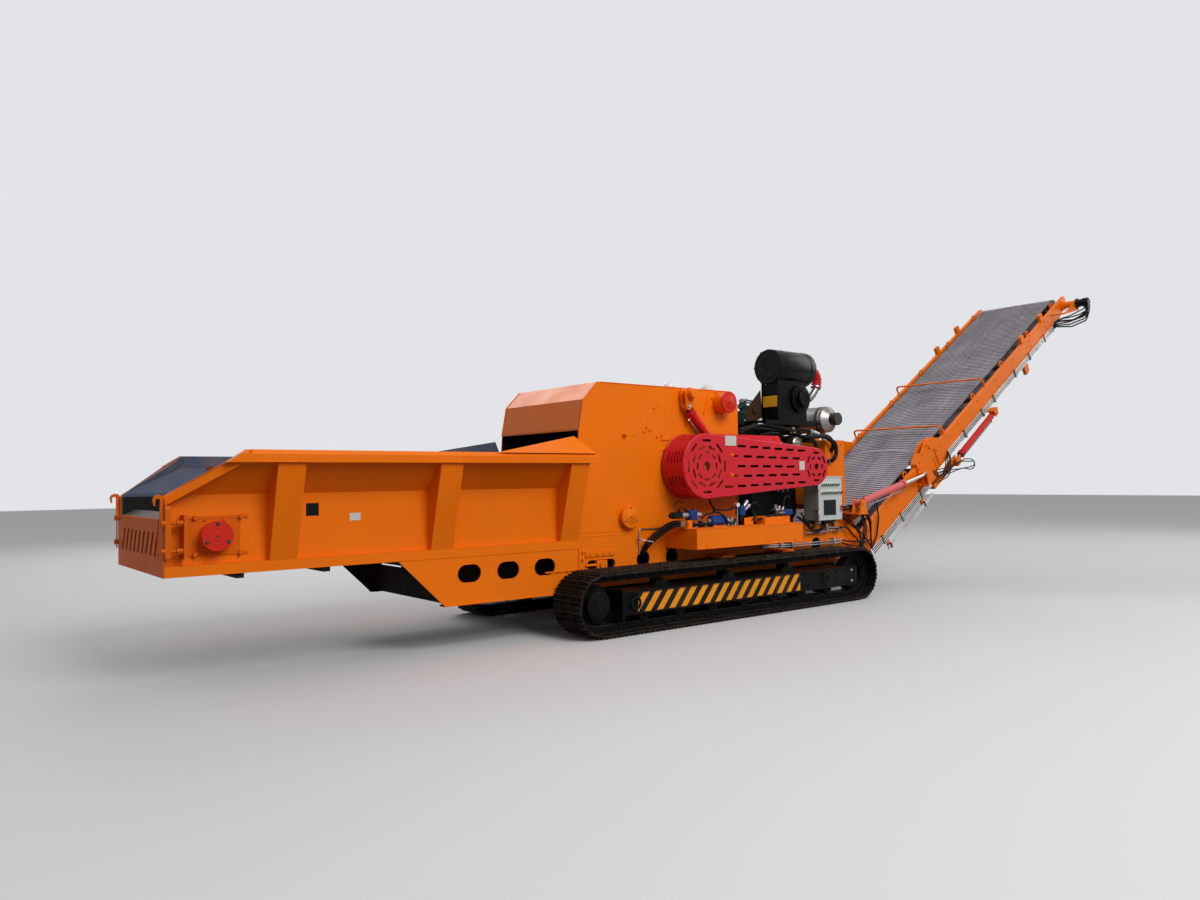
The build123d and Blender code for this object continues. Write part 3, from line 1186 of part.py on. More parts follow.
def engine_hoses():
    """Two thick coolant hoses that loop out beside the guard, one to the tank and one back to the engine."""
    outer = pipe([(180, -300, 2083), (180, -700, 2083), (560, -700, 2098), (812, -700, 2010), (820, -700, 1860),
                  (740, -700, 1768), (740, -620, 1768)], 27, [70, 110, 110, 110, 60])
    inner = pipe([(256, -300, 2040), (256, -648, 2040), (430, -660, 2032), (468, -660, 1880), (392, -660, 1700),
                  (252, -560, 1636), (252, -420, 1636)], 27, [60, 80, 80, 80, 70])
    return [outer, inner]


def foot_hoses():
    """Hoses from the frame that loop over to swivels at the conveyor's foot pin, and one from the lift bracket."""
    y = -BEAM_Y - 43
    x, z = FOOT
    runs = (
        ((748, 1160), (925, 1178), (1150, 1086), (1248, 880), (1196, 700), (x + 18, z + 16)),
        ((756, 1118), (1010, 1130), (1130, 1060), (1196, 890), (1160, 700), (x - 4, z + 22)),
        ((764, 1020), (834, 1008), (960, 920), (1090, 790), (1110, 680), (x - 22, z + 6)),
    )
    hoses = []
    for run in runs:
        (x0, z0), (xn, zn) = run[0], run[-1]
        path = [(x0, -HOUSING_Y, z0)] + [(px, y, pz) for px, pz in run] + [(xn, y + 16, zn)]
        hoses.append(pipe(path, 11, [40, 120, 120, 120, 60, 15]))
    hoses.append(pipe([(1036, y, 1080), (1036, y, 1110), (1080, y, 1200), (1330, y, 1292), (1490, y, 1200), (1534, y, 990),
                       (1478, y, 744), (1372, y, 596)], 11, [40, 60, 120, 110, 110, 110]))
    return hoses


def dome_lamps():
    """Two white dome lamps on the roof."""
    lamps = []
    for x in (-2100.0, -1485.0):
        base = bar((x, -550, HOUSING_TOP), (x, -550, HOUSING_TOP + 58), 74)
        base += bar((x, -550, HOUSING_TOP), (x, -550, HOUSING_TOP + 14), 96)
        dome = Pos(x, -550, HOUSING_TOP + 56) * Sphere(80)
        dome -= box(x - 90, x + 90, -650, -450, HOUSING_TOP - 100, HOUSING_TOP + 56)
        lamps.append(base + dome)
    return lamps


CYLINDERS = (
    # name, foot pin, rod's eye, y, barrel's length, rod's start, radius, rod's radius, half width of the foot
    ("press", PRESS_FOOT, CLEVIS, PRESS_Y, 496.0, 140.0, 50.0, 24.0, 22.0),
    ("lift", LIFT_FOOT, LIFT_EYE, LIFT_Y, 1084.0, 834.0, 48.0, 26.0, 47.0),
    ("fold", slope_point(*FOLD_FOOT), slope_point(*FOLD_EYE), FOLD_Y, 1240.0, 150.0, 45.0, 24.0, 24.0),
)


def build_all():
    gear = []
    caps = []
    for name, side in (("right", -1), ("left", 1)):
        keep(f"track_{name}", track(side))
        keep(f"running_gear_{name}", *running_gear(side))
        keep(f"track_frame_{name}", track_frame(side))
        keep(f"hopper_side_{name}", hopper_side(side))
        keep(f"housing_side_{name}", housing_side(side))
        gear.append(feed_end_gear(side))
        caps.append(round_cap(-7159, 1162, 118, WALL_Y + 6, 862, side, 3))
        caps.append(round_cap(-1470, 2445, 125, HOUSING_Y, 900, side, 3))
        caps.append(round_cap(-2923, 1159, 122, HOUSING_Y, 800, side, 3))
        caps.append(press_bracket(side))
    keep("bearing_caps", *caps)
    for name, foot, eye, y, barrel_length, rod_start, radius, rod_radius, foot_half in CYLINDERS:
        pin_half = 55 if name == "press" else 0
        pairs = [cylinder(foot, eye, y, side, barrel_length, rod_start, radius, rod_radius, foot_half, pin_half)
                 for side in (-1, 1)]
        keep(f"{name}_barrels", *[barrel for barrel, rod in pairs])
        keep(f"{name}_rods", *[rod for barrel, rod in pairs])
    keep("main_frame", main_frame())
    keep("cross_tubes", *cross_tubes())
    keep("feed_chassis", feed_chassis() + hopper_floor())
    keep("feed_end", feed_end_plate(), *gear)
    keep("rubber_flap", *rubber_flap())
    keep("feed_chain", feed_chain(), end_lip())
    keep("feed_shafts", *feed_shafts())
    keep("hood", hood(), inlet_sill())
    keep("press_arm", press_arm())
    keep("press_roller", press_roller())
    keep("rotor", rotor())
    keep("engine_pulley", engine_pulley())
    keep("drive_belts", drive_belts())
    keep("belt_guard", belt_guard())
    keep("engine", engine())
    keep("radiator", radiator())
    keep("air_cleaner", air_cleaner())
    keep("air_cleaner_stand", air_cleaner_stand())
    keep("intake_elbow", intake_elbow())
    keep("muffler", muffler())
    keep("rear_tank", rear_tank())
    keep("side_tray", side_tray())
    keep("side_tank", side_tank())
    keep("valve_bank", *valve_bank())
    keep("cabinet", cabinet())
    keep("cabinet_door", cabinet_door())
    keep("conveyor_lower_frame", lower_frame())
    keep("conveyor_upper_frame", upper_frame())
    keep("conveyor_lower_belt", on_slope(belt_run(DRUM_TAIL[0], SPLIT_S - SPLIT_GAP / 2, DRUM_TAIL)))
    keep("conveyor_upper_belt", on_slope(belt_run(SPLIT_S + SPLIT_GAP / 2, DRUM_HEAD[0], DRUM_HEAD)))
    keep("conveyor_lower_rollers", *conveyor_rollers("lower"))
    keep("conveyor_upper_rollers", *conveyor_rollers("upper"))
    keep("head_motor", head_motor())
    keep("chip_pan", chip_pan())
    lower_pipes, upper_pipes = hard_pipes()
    keep("lower_pipes", *lower_pipes)
    keep("upper_pipes", *upper_pipes)
    keep("head_hoses", *head_hoses())
    keep("tray_hoses", *tray_hoses())
    keep("engine_hoses", *engine_hoses())
    keep("foot_hoses", *foot_hoses())
    keep("dome_lamps", *dome_lamps())


os.makedirs("parts", exist_ok=True)
build_all()
for name, shape in PARTS.items():
    export_step(shape, f"parts/{name}.step")
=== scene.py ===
from math import acos, atan2, cos, hypot, pi, radians, sin, sqrt
import bmesh
import bpy
from mathutils import Matrix, Vector


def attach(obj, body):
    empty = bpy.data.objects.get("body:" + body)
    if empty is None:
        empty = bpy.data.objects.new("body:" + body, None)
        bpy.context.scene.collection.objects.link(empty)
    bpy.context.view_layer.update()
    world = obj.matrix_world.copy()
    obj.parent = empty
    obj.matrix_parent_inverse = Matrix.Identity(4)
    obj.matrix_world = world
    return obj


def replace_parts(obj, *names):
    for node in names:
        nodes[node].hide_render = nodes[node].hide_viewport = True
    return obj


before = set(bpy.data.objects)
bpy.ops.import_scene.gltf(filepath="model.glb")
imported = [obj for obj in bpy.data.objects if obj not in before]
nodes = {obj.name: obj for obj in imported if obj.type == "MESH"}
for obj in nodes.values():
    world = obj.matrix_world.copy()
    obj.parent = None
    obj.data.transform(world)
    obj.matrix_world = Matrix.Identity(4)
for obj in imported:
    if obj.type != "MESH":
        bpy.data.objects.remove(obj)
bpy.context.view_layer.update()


# Camera: stands where the photographer stood, in front of the feed end at a standing person's eye height,
# and looks a little upwards with the photograph's own focal length.

def photo_camera():
    focal_px = 892.6
    picture_width_px = 1200.0
    yaw, pitch, roll = radians(51.18), radians(1.896), radians(0.689)
    standpoint = (-9.1475, -8.05, 1.56)
    data = bpy.data.cameras.new("camera")
    data.sensor_width = 36.0
    data.lens = data.sensor_width * focal_px / picture_width_px
    data.clip_end = 200.0
    camera = bpy.data.objects.new("camera", data)
    bpy.context.collection.objects.link(camera)
    forward = Vector((cos(yaw) * cos(pitch), sin(yaw) * cos(pitch), sin(pitch)))
    right = forward.cross(Vector((0, 0, 1))).normalized()
    down = forward.cross(right)
    tilted_right = right * cos(roll) + down * sin(roll)
    tilted_down = down * cos(roll) - right * sin(roll)
    turn = Matrix((tilted_right, -tilted_down, -forward)).transposed()
    camera.matrix_world = Matrix.Translation(standpoint) @ turn.to_4x4()
    bpy.context.scene.camera = camera


photo_camera()


# Floor and light: a plain pale floor under an even sky that is brighter overhead than at the horizon, with a
# large soft lamp before the machine's near side and two weaker ones behind it.

def linear(red, green, blue):
    """A colour as a screen shows it, 0 to 255, in Blender's linear values."""
    spread = [((c / 255 + 0.055) / 1.055) ** 2.4 if c > 10 else c / 255 / 12.92 for c in (red, green, blue)]
    return (*spread, 1.0)


def seen_directly(tree):
    """1 for what the camera, a mirror or glass shows, 0 for light that falls on the object."""
    path = tree.nodes.new("ShaderNodeLightPath").outputs
    seen = path["Is Camera Ray"]
    for other in (path["Is Glossy Ray"], path["Is Transmission Ray"]):
        either = tree.nodes.new("ShaderNodeMath")
        either.operation = "MAXIMUM"
        tree.links.new(seen, either.inputs[0])
        tree.links.new(other, either.inputs[1])
        seen = either.outputs[0]
    return seen


def two_tones(tree, share, first, second, target):
    mix = tree.nodes.new("ShaderNodeMix")
    mix.data_type = "RGBA"
    tree.links.new(share, mix.inputs[0])
    for number, value in ((6, first), (7, second)):
        if isinstance(value, bpy.types.NodeSocket):
            tree.links.new(value, mix.inputs[number])
        else:
            mix.inputs[number].default_value = value
    tree.links.new(mix.outputs[2], target)


def studio():
    half = 60.0
    mesh = bpy.data.meshes.new("floor")
    mesh.from_pydata([(-half, -half, 0), (half, -half, 0), (half, half, 0), (-half, half, 0)], [],
                     [(0, 1, 2, 3)])
    floor = bpy.data.objects.new("floor", mesh)
    floor.location.z = -0.001
    bpy.context.collection.objects.link(floor)
    pale = bpy.data.materials.new("floor_pale")
    pale.use_nodes = True
    shader = pale.node_tree.nodes["Principled BSDF"]
    two_tones(pale.node_tree, seen_directly(pale.node_tree), linear(118, 116, 113), linear(196, 196, 197),
              shader.inputs["Base Color"])
    shader.inputs["Roughness"].default_value = 0.9
    shader.inputs["Specular IOR Level"].default_value = 0.1
    mesh.materials.append(pale)
    lamps = (
        # name, place, aim, size, watts
        ("key", (-3.0, -15.0, 12.0), (-0.5, 0.0, 1.5), 9.0, 2300.0),
        ("fill", (15.0, -4.0, 9.0), (1.0, 0.0, 1.5), 9.0, 420.0),
        ("back", (0.0, 14.0, 11.0), (0.0, 0.0, 1.5), 9.0, 950.0),
    )
    for name, place, aim, size, watts in lamps:
        data = bpy.data.lights.new(name, "AREA")
        data.size = size
        data.energy = watts
        lamp = bpy.data.objects.new(name, data)
        lamp.location = place
        lamp.rotation_euler = (Vector(aim) - Vector(place)).to_track_quat("-Z", "Y").to_euler()
        bpy.context.collection.objects.link(lamp)
    world = bpy.data.worlds.new("studio")
    world.use_nodes = True
    tree = world.node_tree
    height = tree.nodes.new("ShaderNodeSeparateXYZ")
    tree.links.new(tree.nodes.new("ShaderNodeTexCoord").outputs["Generated"], height.inputs[0])
    sky = tree.nodes.new("ShaderNodeMapRange")
    tree.links.new(height.outputs[2], sky.inputs[0])
    for number, value in ((1, 0.0), (2, 0.9), (3, 0.24), (4, 0.66)):
        sky.inputs[number].default_value = value
    two_tones(tree, seen_directly(tree), sky.outputs[0], linear(226, 228, 231),
              tree.nodes["Background"].inputs["Color"])
    bpy.context.scene.world = world
    bpy.context.scene.view_settings.view_transform = "Standard"


studio()


# Tracks: closed chains of cast steel links with three-ribbed shoes bolted on, round a drive sprocket at the
# feed end and an idler at the other. The steel is dark from use, with dry soil on it and bright bolt heads.

def node_group(name, inputs, outputs):
    """An empty shader node group with named sockets; returns its tree, its inputs and its outputs."""
    tree = bpy.data.node_groups.new(name, "ShaderNodeTree")
    for label, kind, value in inputs:
        tree.interface.new_socket(label, in_out="INPUT",
                                  socket_type="NodeSocket" + kind).default_value = value
    for label, kind in outputs:
        tree.interface.new_socket(label, in_out="OUTPUT", socket_type="NodeSocket" + kind)
    return tree, tree.nodes.new("NodeGroupInput").outputs, tree.nodes.new("NodeGroupOutput").inputs


def put(tree, kind, values=None, **settings):
    """Adds one shader node with its options, and fills or links its inputs."""
    made = tree.nodes.new("ShaderNode" + kind)
    for key, value in settings.items():
        setattr(made, key, value)
    for key, value in (values or {}).items():
        if isinstance(value, bpy.types.NodeSocket):
            tree.links.new(value, made.inputs[key])
        else:
            made.inputs[key].default_value = value
    return made.outputs


def noise(tree, scale, detail=3.0, stretch=(1.0, 1.0, 1.0)):
    place = put(tree, "TexCoord")["Object"]
    placed = put(tree, "Mapping", {"Vector": place, "Scale": stretch})[0]
    return put(tree, "TexNoise", {"Vector": placed, "Scale": scale, "Detail": detail})[0]


def ranged(tree, value, low, high, to_low=0.0, to_high=1.0):
    return put(tree, "MapRange", {0: value, 1: low, 2: high, 3: to_low, 4: to_high})[0]


def maths(tree, operation, *values, use_clamp=False):
    return put(tree, "Math", dict(enumerate(values)), operation=operation, use_clamp=use_clamp)[0]


def times(tree, first, second):
    return maths(tree, "MULTIPLY", first, second)


def blended(tree, share, first, second):
    return put(tree, "Mix", {0: share, 6: first, 7: second}, data_type="RGBA")[2]


def facing_up(tree):
    """How far the surface faces the sky, where dust settles."""
    normal = put(tree, "NewGeometry")["Normal"]
    return put(tree, "SeparateXYZ", {0: normal})[2]


def bare_steel():
    """Unpainted steel: mottled tone, rust that gathers in patches, rubbed edges and dry dust on top."""
    tree, given, result = node_group(
        "bare_steel",
        (("Colour", "Color", (0.1, 0.1, 0.1, 1)), ("Rust Colour", "Color", (0.12, 0.05, 0.025, 1)),
         ("Rust", "Float", 0.3), ("Dust", "Float", 0.3), ("Roughness", "Float", 0.5),
         ("Grain", "Float", 60.0)),
        (("Colour", "Color"), ("Roughness", "Float"), ("Height", "Float")))
    patches = ranged(tree, noise(tree, 5.0, 6.0), 0.45, 0.62)
    tone = ranged(tree, noise(tree, 2.3, 4.0), 0.3, 0.7, 0.75, 1.2)
    toned = put(tree, "HueSaturation", {"Value": tone, "Color": given["Colour"]})[0]
    rusted = blended(tree, times(tree, patches, given["Rust"]), toned, given["Rust Colour"])
    settled = times(tree, ranged(tree, facing_up(tree), 0.25, 0.95),
                    ranged(tree, noise(tree, 9.0, 5.0), 0.3, 0.7))
    dust = times(tree, settled, given["Dust"])
    tree.links.new(blended(tree, dust, rusted, linear(118, 104, 90)), result["Colour"])
    fine = put(tree, "TexNoise",
               {"Vector": put(tree, "TexCoord")["Object"], "Scale": given["Grain"], "Detail": 4.0})[0]
    rough = maths(tree, "ADD", given["Roughness"], ranged(tree, fine, 0.3, 0.7, -0.08, 0.12))
    tree.links.new(maths(tree, "ADD", rough, times(tree, dust, 0.4), use_clamp=True), result["Roughness"])
    tree.links.new(maths(tree, "ADD", fine, times(tree, patches, 0.8)), result["Height"])
    return tree


steel_surface = bare_steel()


def clad(name, surface, values, metallic=0.0, bump=0.0008, strength=0.5, **sockets):
    """A material whose colour, roughness and relief come from a surface group."""
    made = bpy.data.materials.new(name)
    made.use_nodes = True
    tree = made.node_tree
    shader = tree.nodes["Principled BSDF"]
    group = tree.nodes.new("ShaderNodeGroup")
    group.node_tree = surface
    for key, value in values.items():
        group.inputs[key].default_value = value
    tree.links.new(group.outputs["Colour"], shader.inputs["Base Color"])
    tree.links.new(group.outputs["Roughness"], shader.inputs["Roughness"])
    relief = put(tree, "Bump", {"Strength": strength, "Distance": bump, "Height": group.outputs["Height"]})
    tree.links.new(relief[0], shader.inputs["Normal"])
    shader.inputs["Metallic"].default_value = metallic
    for key, value in sockets.items():
        shader.inputs[key.replace("_", " ")].default_value = value
    return made


def clad_steel(name, colour, rusted, rust, dust, roughness, grain, **more):
    """Metal, rubber or glass clad in the steel surface, with all its values."""
    return clad(name, steel_surface, {"Colour": colour, "Rust Colour": rusted, "Rust": rust, "Dust": dust,
                                      "Roughness": roughness, "Grain": grain}, **more)


def finish(material, *names):
    """Puts a material on CAD nodes in place of their plain one."""
    for name in names:
        for slot in nodes[name].material_slots:
            slot.material = material


track_steel = clad_steel("track_steel", linear(14, 14, 14), linear(28, 23, 20), 0.2, 0.08, 0.6, 60.0,
                         bump=0.0015, Specular_IOR_Level=0.08)
bright_zinc = clad_steel("bright_zinc", linear(168, 168, 170), linear(104, 84, 66), 0.3, 0.2, 0.34, 140.0,
                         metallic=0.9)
finish(track_steel, "running_gear_right", "running_gear_left")


def shoe_paint():
    """Track steel whose ribs are rubbed to brown-grey metal along their edges."""
    made = clad("shoe_steel", steel_surface,
                {"Rust Colour": linear(26, 21, 18), "Rust": 0.2, "Dust": 0.08, "Roughness": 0.6,
                 "Grain": 60.0}, bump=0.0015, Specular_IOR_Level=0.08)
    tree = made.node_tree
    group = tree.nodes["Group"]
    rounded = put(tree, "Bevel", {"Radius": 0.008}, samples=4)[0]
    along = put(tree, "VectorMath", {0: put(tree, "NewGeometry")["Normal"], 1: rounded},
                operation="DOT_PRODUCT")[1]
    rubbed = times(tree, ranged(tree, along, 0.99, 0.85), ranged(tree, noise(tree, 14.0, 4.0), 0.3, 0.6))
    tree.links.new(blended(tree, rubbed, linear(11, 11, 11), linear(112, 98, 84)), group.inputs["Colour"])
    return made


finish(shoe_paint(), "track_right", "track_left")


def lathe(mesh, start, axis, profile, sides=20, paint=0, turn=0.0):
    """Turned form: rings of (distance along the axis, radius), closed at both ends."""
    axis = Vector(axis).normalized()
    side = axis.orthogonal().normalized()
    up = axis.cross(side)
    rings = []
    for along, radius in profile:
        middle = Vector(start) + axis * along
        rings.append([mesh.verts.new(middle + (side * cos(a) + up * sin(a)) * radius)
                      for a in (turn + 2 * pi * i / sides for i in range(sides))])
    made = [mesh.faces.new(rings[0][::-1]), mesh.faces.new(rings[-1])]
    for low, high in zip(rings, rings[1:]):
        for i in range(sides):
            j = (i + 1) % sides
            made.append(mesh.faces.new((low[i], low[j], high[j], high[i])))
    for face in made:
        face.material_index = paint


def rod(mesh, start, end, radius, sides=16, paint=0):
    """Round bar between two points, its ends eased by a small chamfer."""
    length = (Vector(end) - Vector(start)).length
    ease = min(radius * 0.15, length * 0.2)
    lathe(mesh, start, Vector(end) - Vector(start),
          [(0, radius - ease), (ease, radius), (length - ease, radius), (length, radius - ease)], sides,
          paint)


def bolt(mesh, at, axis, size=0.018, paint=0):
    """Hex head on a washer, size across the flats."""
    lathe(mesh, at, axis, [(-0.002, size * 0.82), (size * 0.12, size * 0.82)], 14, paint)
    head = size * 0.577
    lathe(mesh, Vector(at) + Vector(axis).normalized() * size * 0.1, axis,
          [(0, head), (size * 0.42, head), (size * 0.52, head * 0.8)], 6, paint, 0.3)


def bolt_circle(mesh, centre, radius, count, outward, size, paint=0, first=0.0):
    """Bolts on a circle that faces sideways, as on covers and hubs."""
    for i in range(count):
        turn = first + 2 * pi * i / count
        at = (centre[0] + radius * cos(turn), centre[1], centre[2] + radius * sin(turn))
        bolt(mesh, at, outward, size, paint)


def piece(name, mesh, body, slot, *materials, smooth=40.0):
    """Closes a mesh into a named object that rides with a body."""
    bmesh.ops.recalc_face_normals(mesh, faces=mesh.faces)
    data = bpy.data.meshes.new(name)
    mesh.to_mesh(data)
    mesh.free()
    for material in materials:
        data.materials.append(material)
    data.polygons.foreach_set("use_smooth", [True] * len(data.polygons))
    data.set_sharp_from_angle(angle=radians(smooth))
    made = bpy.data.objects.new(name, data)
    bpy.context.collection.objects.link(made)
    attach(made, body)
    return made


def shoe_place(along):
    """Point on the shoe plates, (x, z) and outward angle, at a distance round the loop."""
    sprocket_x, idler_x = -3.6525, 0.5625
    front, rear = 0.305, 0.31
    lean = atan2(0.005, idler_x - sprocket_x)
    top = hypot(idler_x - sprocket_x, 0.005) * cos(lean)
    runs = (idler_x - sprocket_x, rear * (pi + 2 * lean), top, front * (pi - 2 * lean))
    along %= sum(runs)
    if along < runs[0]:
        return sprocket_x + along, 0.02, -pi / 2
    along -= runs[0]
    if along < runs[1]:
        turn = -pi / 2 + along / rear
        return idler_x + rear * cos(turn), 0.33 + rear * sin(turn), turn
    along -= runs[1]
    if along < runs[2]:
        turn = pi / 2 + 2 * lean
        return (idler_x + rear * cos(turn) - along * cos(2 * lean),
                0.33 + rear * sin(turn) - along * sin(2 * lean), turn)
    turn = pi / 2 + 2 * lean + (along - runs[2]) / front
    return sprocket_x + front * cos(turn), 0.325 + front * sin(turn), turn


def track_fastenings():
    """Four bolt heads between the ribs of each shoe, and the ends of the link pins beside the chain."""
    pitch = (2 * 4.215 + pi * 0.615) / 67
    for side, label in ((-1, "right"), (1, "left")):
        mesh = bmesh.new()
        for shoe in range(67):
            for share, offset in ((0.35, 0.082), (0.35, -0.082), (0.68, 0.082), (0.68, -0.082)):
                x, z, turn = shoe_place((shoe + share) * pitch)
                out = Vector((cos(turn), 0, sin(turn)))
                bolt(mesh, Vector((x, side * 1.0475 + offset, z)) + out * 0.0005, out, 0.021,
                     1 if x > 0.5 else 0)
            x, z, turn = shoe_place(shoe * pitch)
            inward = Vector((x, 0, z)) - Vector((cos(turn), 0, sin(turn))) * 0.055
            for end in (-1, 1):
                y = side * 1.0475 + end * 0.074
                rod(mesh, (inward.x, y, inward.z), (inward.x, y + end * 0.009, inward.z), 0.019, 10)
        piece(f"track_fastenings_{label}", mesh, "root", "track_steel", track_steel, bright_zinc)


track_fastenings()


def running_gear_detail():
    """Bolt circles, ribs and grease plugs of the drive covers and the idler hubs."""
    for side, label in ((-1, "right"), (1, "left")):
        mesh = bmesh.new()
        outward = (0, side, 0)
        lathe(mesh, (-3.6525, side * 1.171, 0.325), outward,
              [(0, 0.128), (0.006, 0.128), (0.012, 0.118), (0.012, 0.06), (0.02, 0.055), (0.02, 0.02)], 32)
        bolt_circle(mesh, (-3.6525, side * 1.181, 0.325), 0.105, 10, outward, 0.018)
        bolt_circle(mesh, (-3.6525, side * 1.19, 0.325), 0.035, 3, outward, 0.014, first=0.4)
        bolt_circle(mesh, (0.5625, side * 1.111, 0.33), 0.045, 8, outward, 0.014, 1)
        piece(f"drive_cover_{label}", mesh, "root", "track_steel", track_steel, bright_zinc)


running_gear_detail()


# Track frames: folded and welded channels in slate paint, with a flat skirt on the outside that carries
# slanted yellow and black bars between its two flanges. Lashing rings are welded to the skirt.

def painted_steel():
    """Sprayed paint: slow change of tone, rubbed edges down to the primer, dust and streaks."""
    tree, given, result = node_group(
        "painted_steel",
        (("Colour", "Color", (0.5, 0.1, 0.01, 1)), ("Bare Colour", "Color", (0.1, 0.09, 0.08, 1)),
         ("Dust Colour", "Color", linear(150, 112, 78)), ("Wear", "Float", 0.5), ("Dust", "Float", 0.3),
         ("Roughness", "Float", 0.35)),
        (("Colour", "Color"), ("Roughness", "Float"), ("Height", "Float")))
    tone = ranged(tree, noise(tree, 0.9, 4.0), 0.3, 0.7, 0.93, 1.05)
    toned = put(tree, "HueSaturation", {"Value": tone, "Color": given["Colour"]})[0]
    shape = put(tree, "NewGeometry")
    rounded = put(tree, "Bevel", {"Radius": 0.007}, samples=4)[0]
    along = put(tree, "VectorMath", {0: shape["Normal"], 1: rounded}, operation="DOT_PRODUCT")[1]
    edge = ranged(tree, along, 0.985, 0.86)
    chipped = times(tree, edge, ranged(tree, noise(tree, 34.0, 6.0), 0.5, 0.62))
    wear = times(tree, chipped, given["Wear"])
    worn = blended(tree, wear, toned, given["Bare Colour"])
    settled = times(tree, ranged(tree, facing_up(tree), 0.3, 0.98),
                    ranged(tree, noise(tree, 6.0, 6.0), 0.32, 0.72))
    low = ranged(tree, put(tree, "SeparateXYZ", {0: shape["Position"]})[2], 1.5, 0.15)
    splashed = times(tree, low, ranged(tree, noise(tree, 3.0, 6.0, (1.0, 1.0, 0.35)), 0.45, 0.8))
    streaked = ranged(tree, noise(tree, 5.0, 4.0, (1.0, 1.0, 0.12)), 0.56, 0.78, 0.0, 0.28)
    film = maths(tree, "MAXIMUM", settled, splashed)
    film = maths(tree, "MAXIMUM", film, streaked)
    dust = times(tree, film, given["Dust"])
    tree.links.new(blended(tree, dust, worn, given["Dust Colour"]), result["Colour"])
    matt = maths(tree, "ADD", times(tree, dust, 0.5), given["Roughness"])
    varied = maths(tree, "ADD", matt, ranged(tree, noise(tree, 2.1, 5.0), 0.3, 0.7, -0.05, 0.08),
                   use_clamp=True)
    tree.links.new(varied, result["Roughness"])
    tree.links.new(times(tree, noise(tree, 1.6, 2.0), 3.0), result["Height"])
    return tree


paint_surface = painted_steel()


def paint(name, colour, wear=0.5, dust=0.15, roughness=0.4, bare=linear(74, 68, 63), gloss=0.13, **sockets):
    return clad(name, paint_surface,
                {"Colour": colour, "Bare Colour": bare, "Wear": wear, "Dust": dust, "Roughness": roughness},
                bump=0.0011, strength=0.35, Specular_IOR_Level=gloss, **sockets)


frame_slate = paint("frame_slate", linear(12, 14, 17), wear=0.3, dust=0.05, roughness=0.45,
                    bare=linear(50, 50, 52), gloss=0.07)
finish(frame_slate, "track_frame_right", "track_frame_left", "cross_tubes", "chip_pan")


def hazard_paint():
    """Yellow bars on black that rise towards the discharge end, as sharp as a stencil leaves them."""
    made = paint("hazard_bars", linear(20, 20, 22), wear=0.3, dust=0.14, roughness=0.42)
    tree = made.node_tree
    group = tree.nodes["Group"]
    place = put(tree, "SeparateXYZ", {0: put(tree, "TexCoord")["Object"]})
    leaned = maths(tree, "SUBTRACT", place[0], times(tree, place[2], 0.82))
    bar_number = maths(tree, "DIVIDE", leaned, 0.1713)
    share = maths(tree, "FRACT", bar_number)
    frayed = maths(tree, "ADD", share, ranged(tree, noise(tree, 90.0), 0.2, 0.8, -0.012, 0.012))
    bar = maths(tree, "LESS_THAN", frayed, 0.5)
    tree.links.new(blended(tree, bar, linear(18, 18, 20), linear(230, 146, 26)), group.inputs["Colour"])
    return made


hazard_bars = hazard_paint()


def block(mesh, low, high, ease=0.003, paint=0, turn=None):
    """Box between two corners with its edges eased; turn is an optional matrix for its corners."""
    low, high = Vector(low), Vector(high)
    ease = min(ease, *((high - low) * 0.45))
    signs = [(i, j, k) for i in (0, 1) for j in (0, 1) for k in (0, 1)]
    verts = {}
    for corner in signs:
        for axis in range(3):
            spot = Vector([(high[n] if corner[n] else low[n]) for n in range(3)])
            for n in range(3):
                if n != axis:
                    spot[n] += -ease if corner[n] else ease
            verts[corner, axis] = mesh.verts.new(turn @ spot if turn else spot)
    made = []
    for axis in range(3):
        a, b = [n for n in range(3) if n != axis]
        for end in (0, 1):
            ring = []
            for first, second in ((0, 0), (1, 0), (1, 1), (0, 1)):
                corner = [0, 0, 0]
                corner[axis], corner[a], corner[b] = end, first, second
                ring.append(verts[tuple(corner), axis])
            made.append(mesh.faces.new(ring))
    for axis in range(3):
        a, b = [n for n in range(3) if n != axis]
        for first in (0, 1):
            for second in (0, 1):
                ends = []
                for end in (0, 1):
                    corner = [0, 0, 0]
                    corner[axis], corner[a], corner[b] = end, first, second
                    ends.append(tuple(corner))
                made.append(mesh.faces.new((verts[ends[0], a], verts[ends[1], a], verts[ends[1], b],
                                            verts[ends[0], b])))
    made += [mesh.faces.new([verts[corner, axis] for axis in range(3)]) for corner in signs]
    for face in made:
        face.material_index = paint


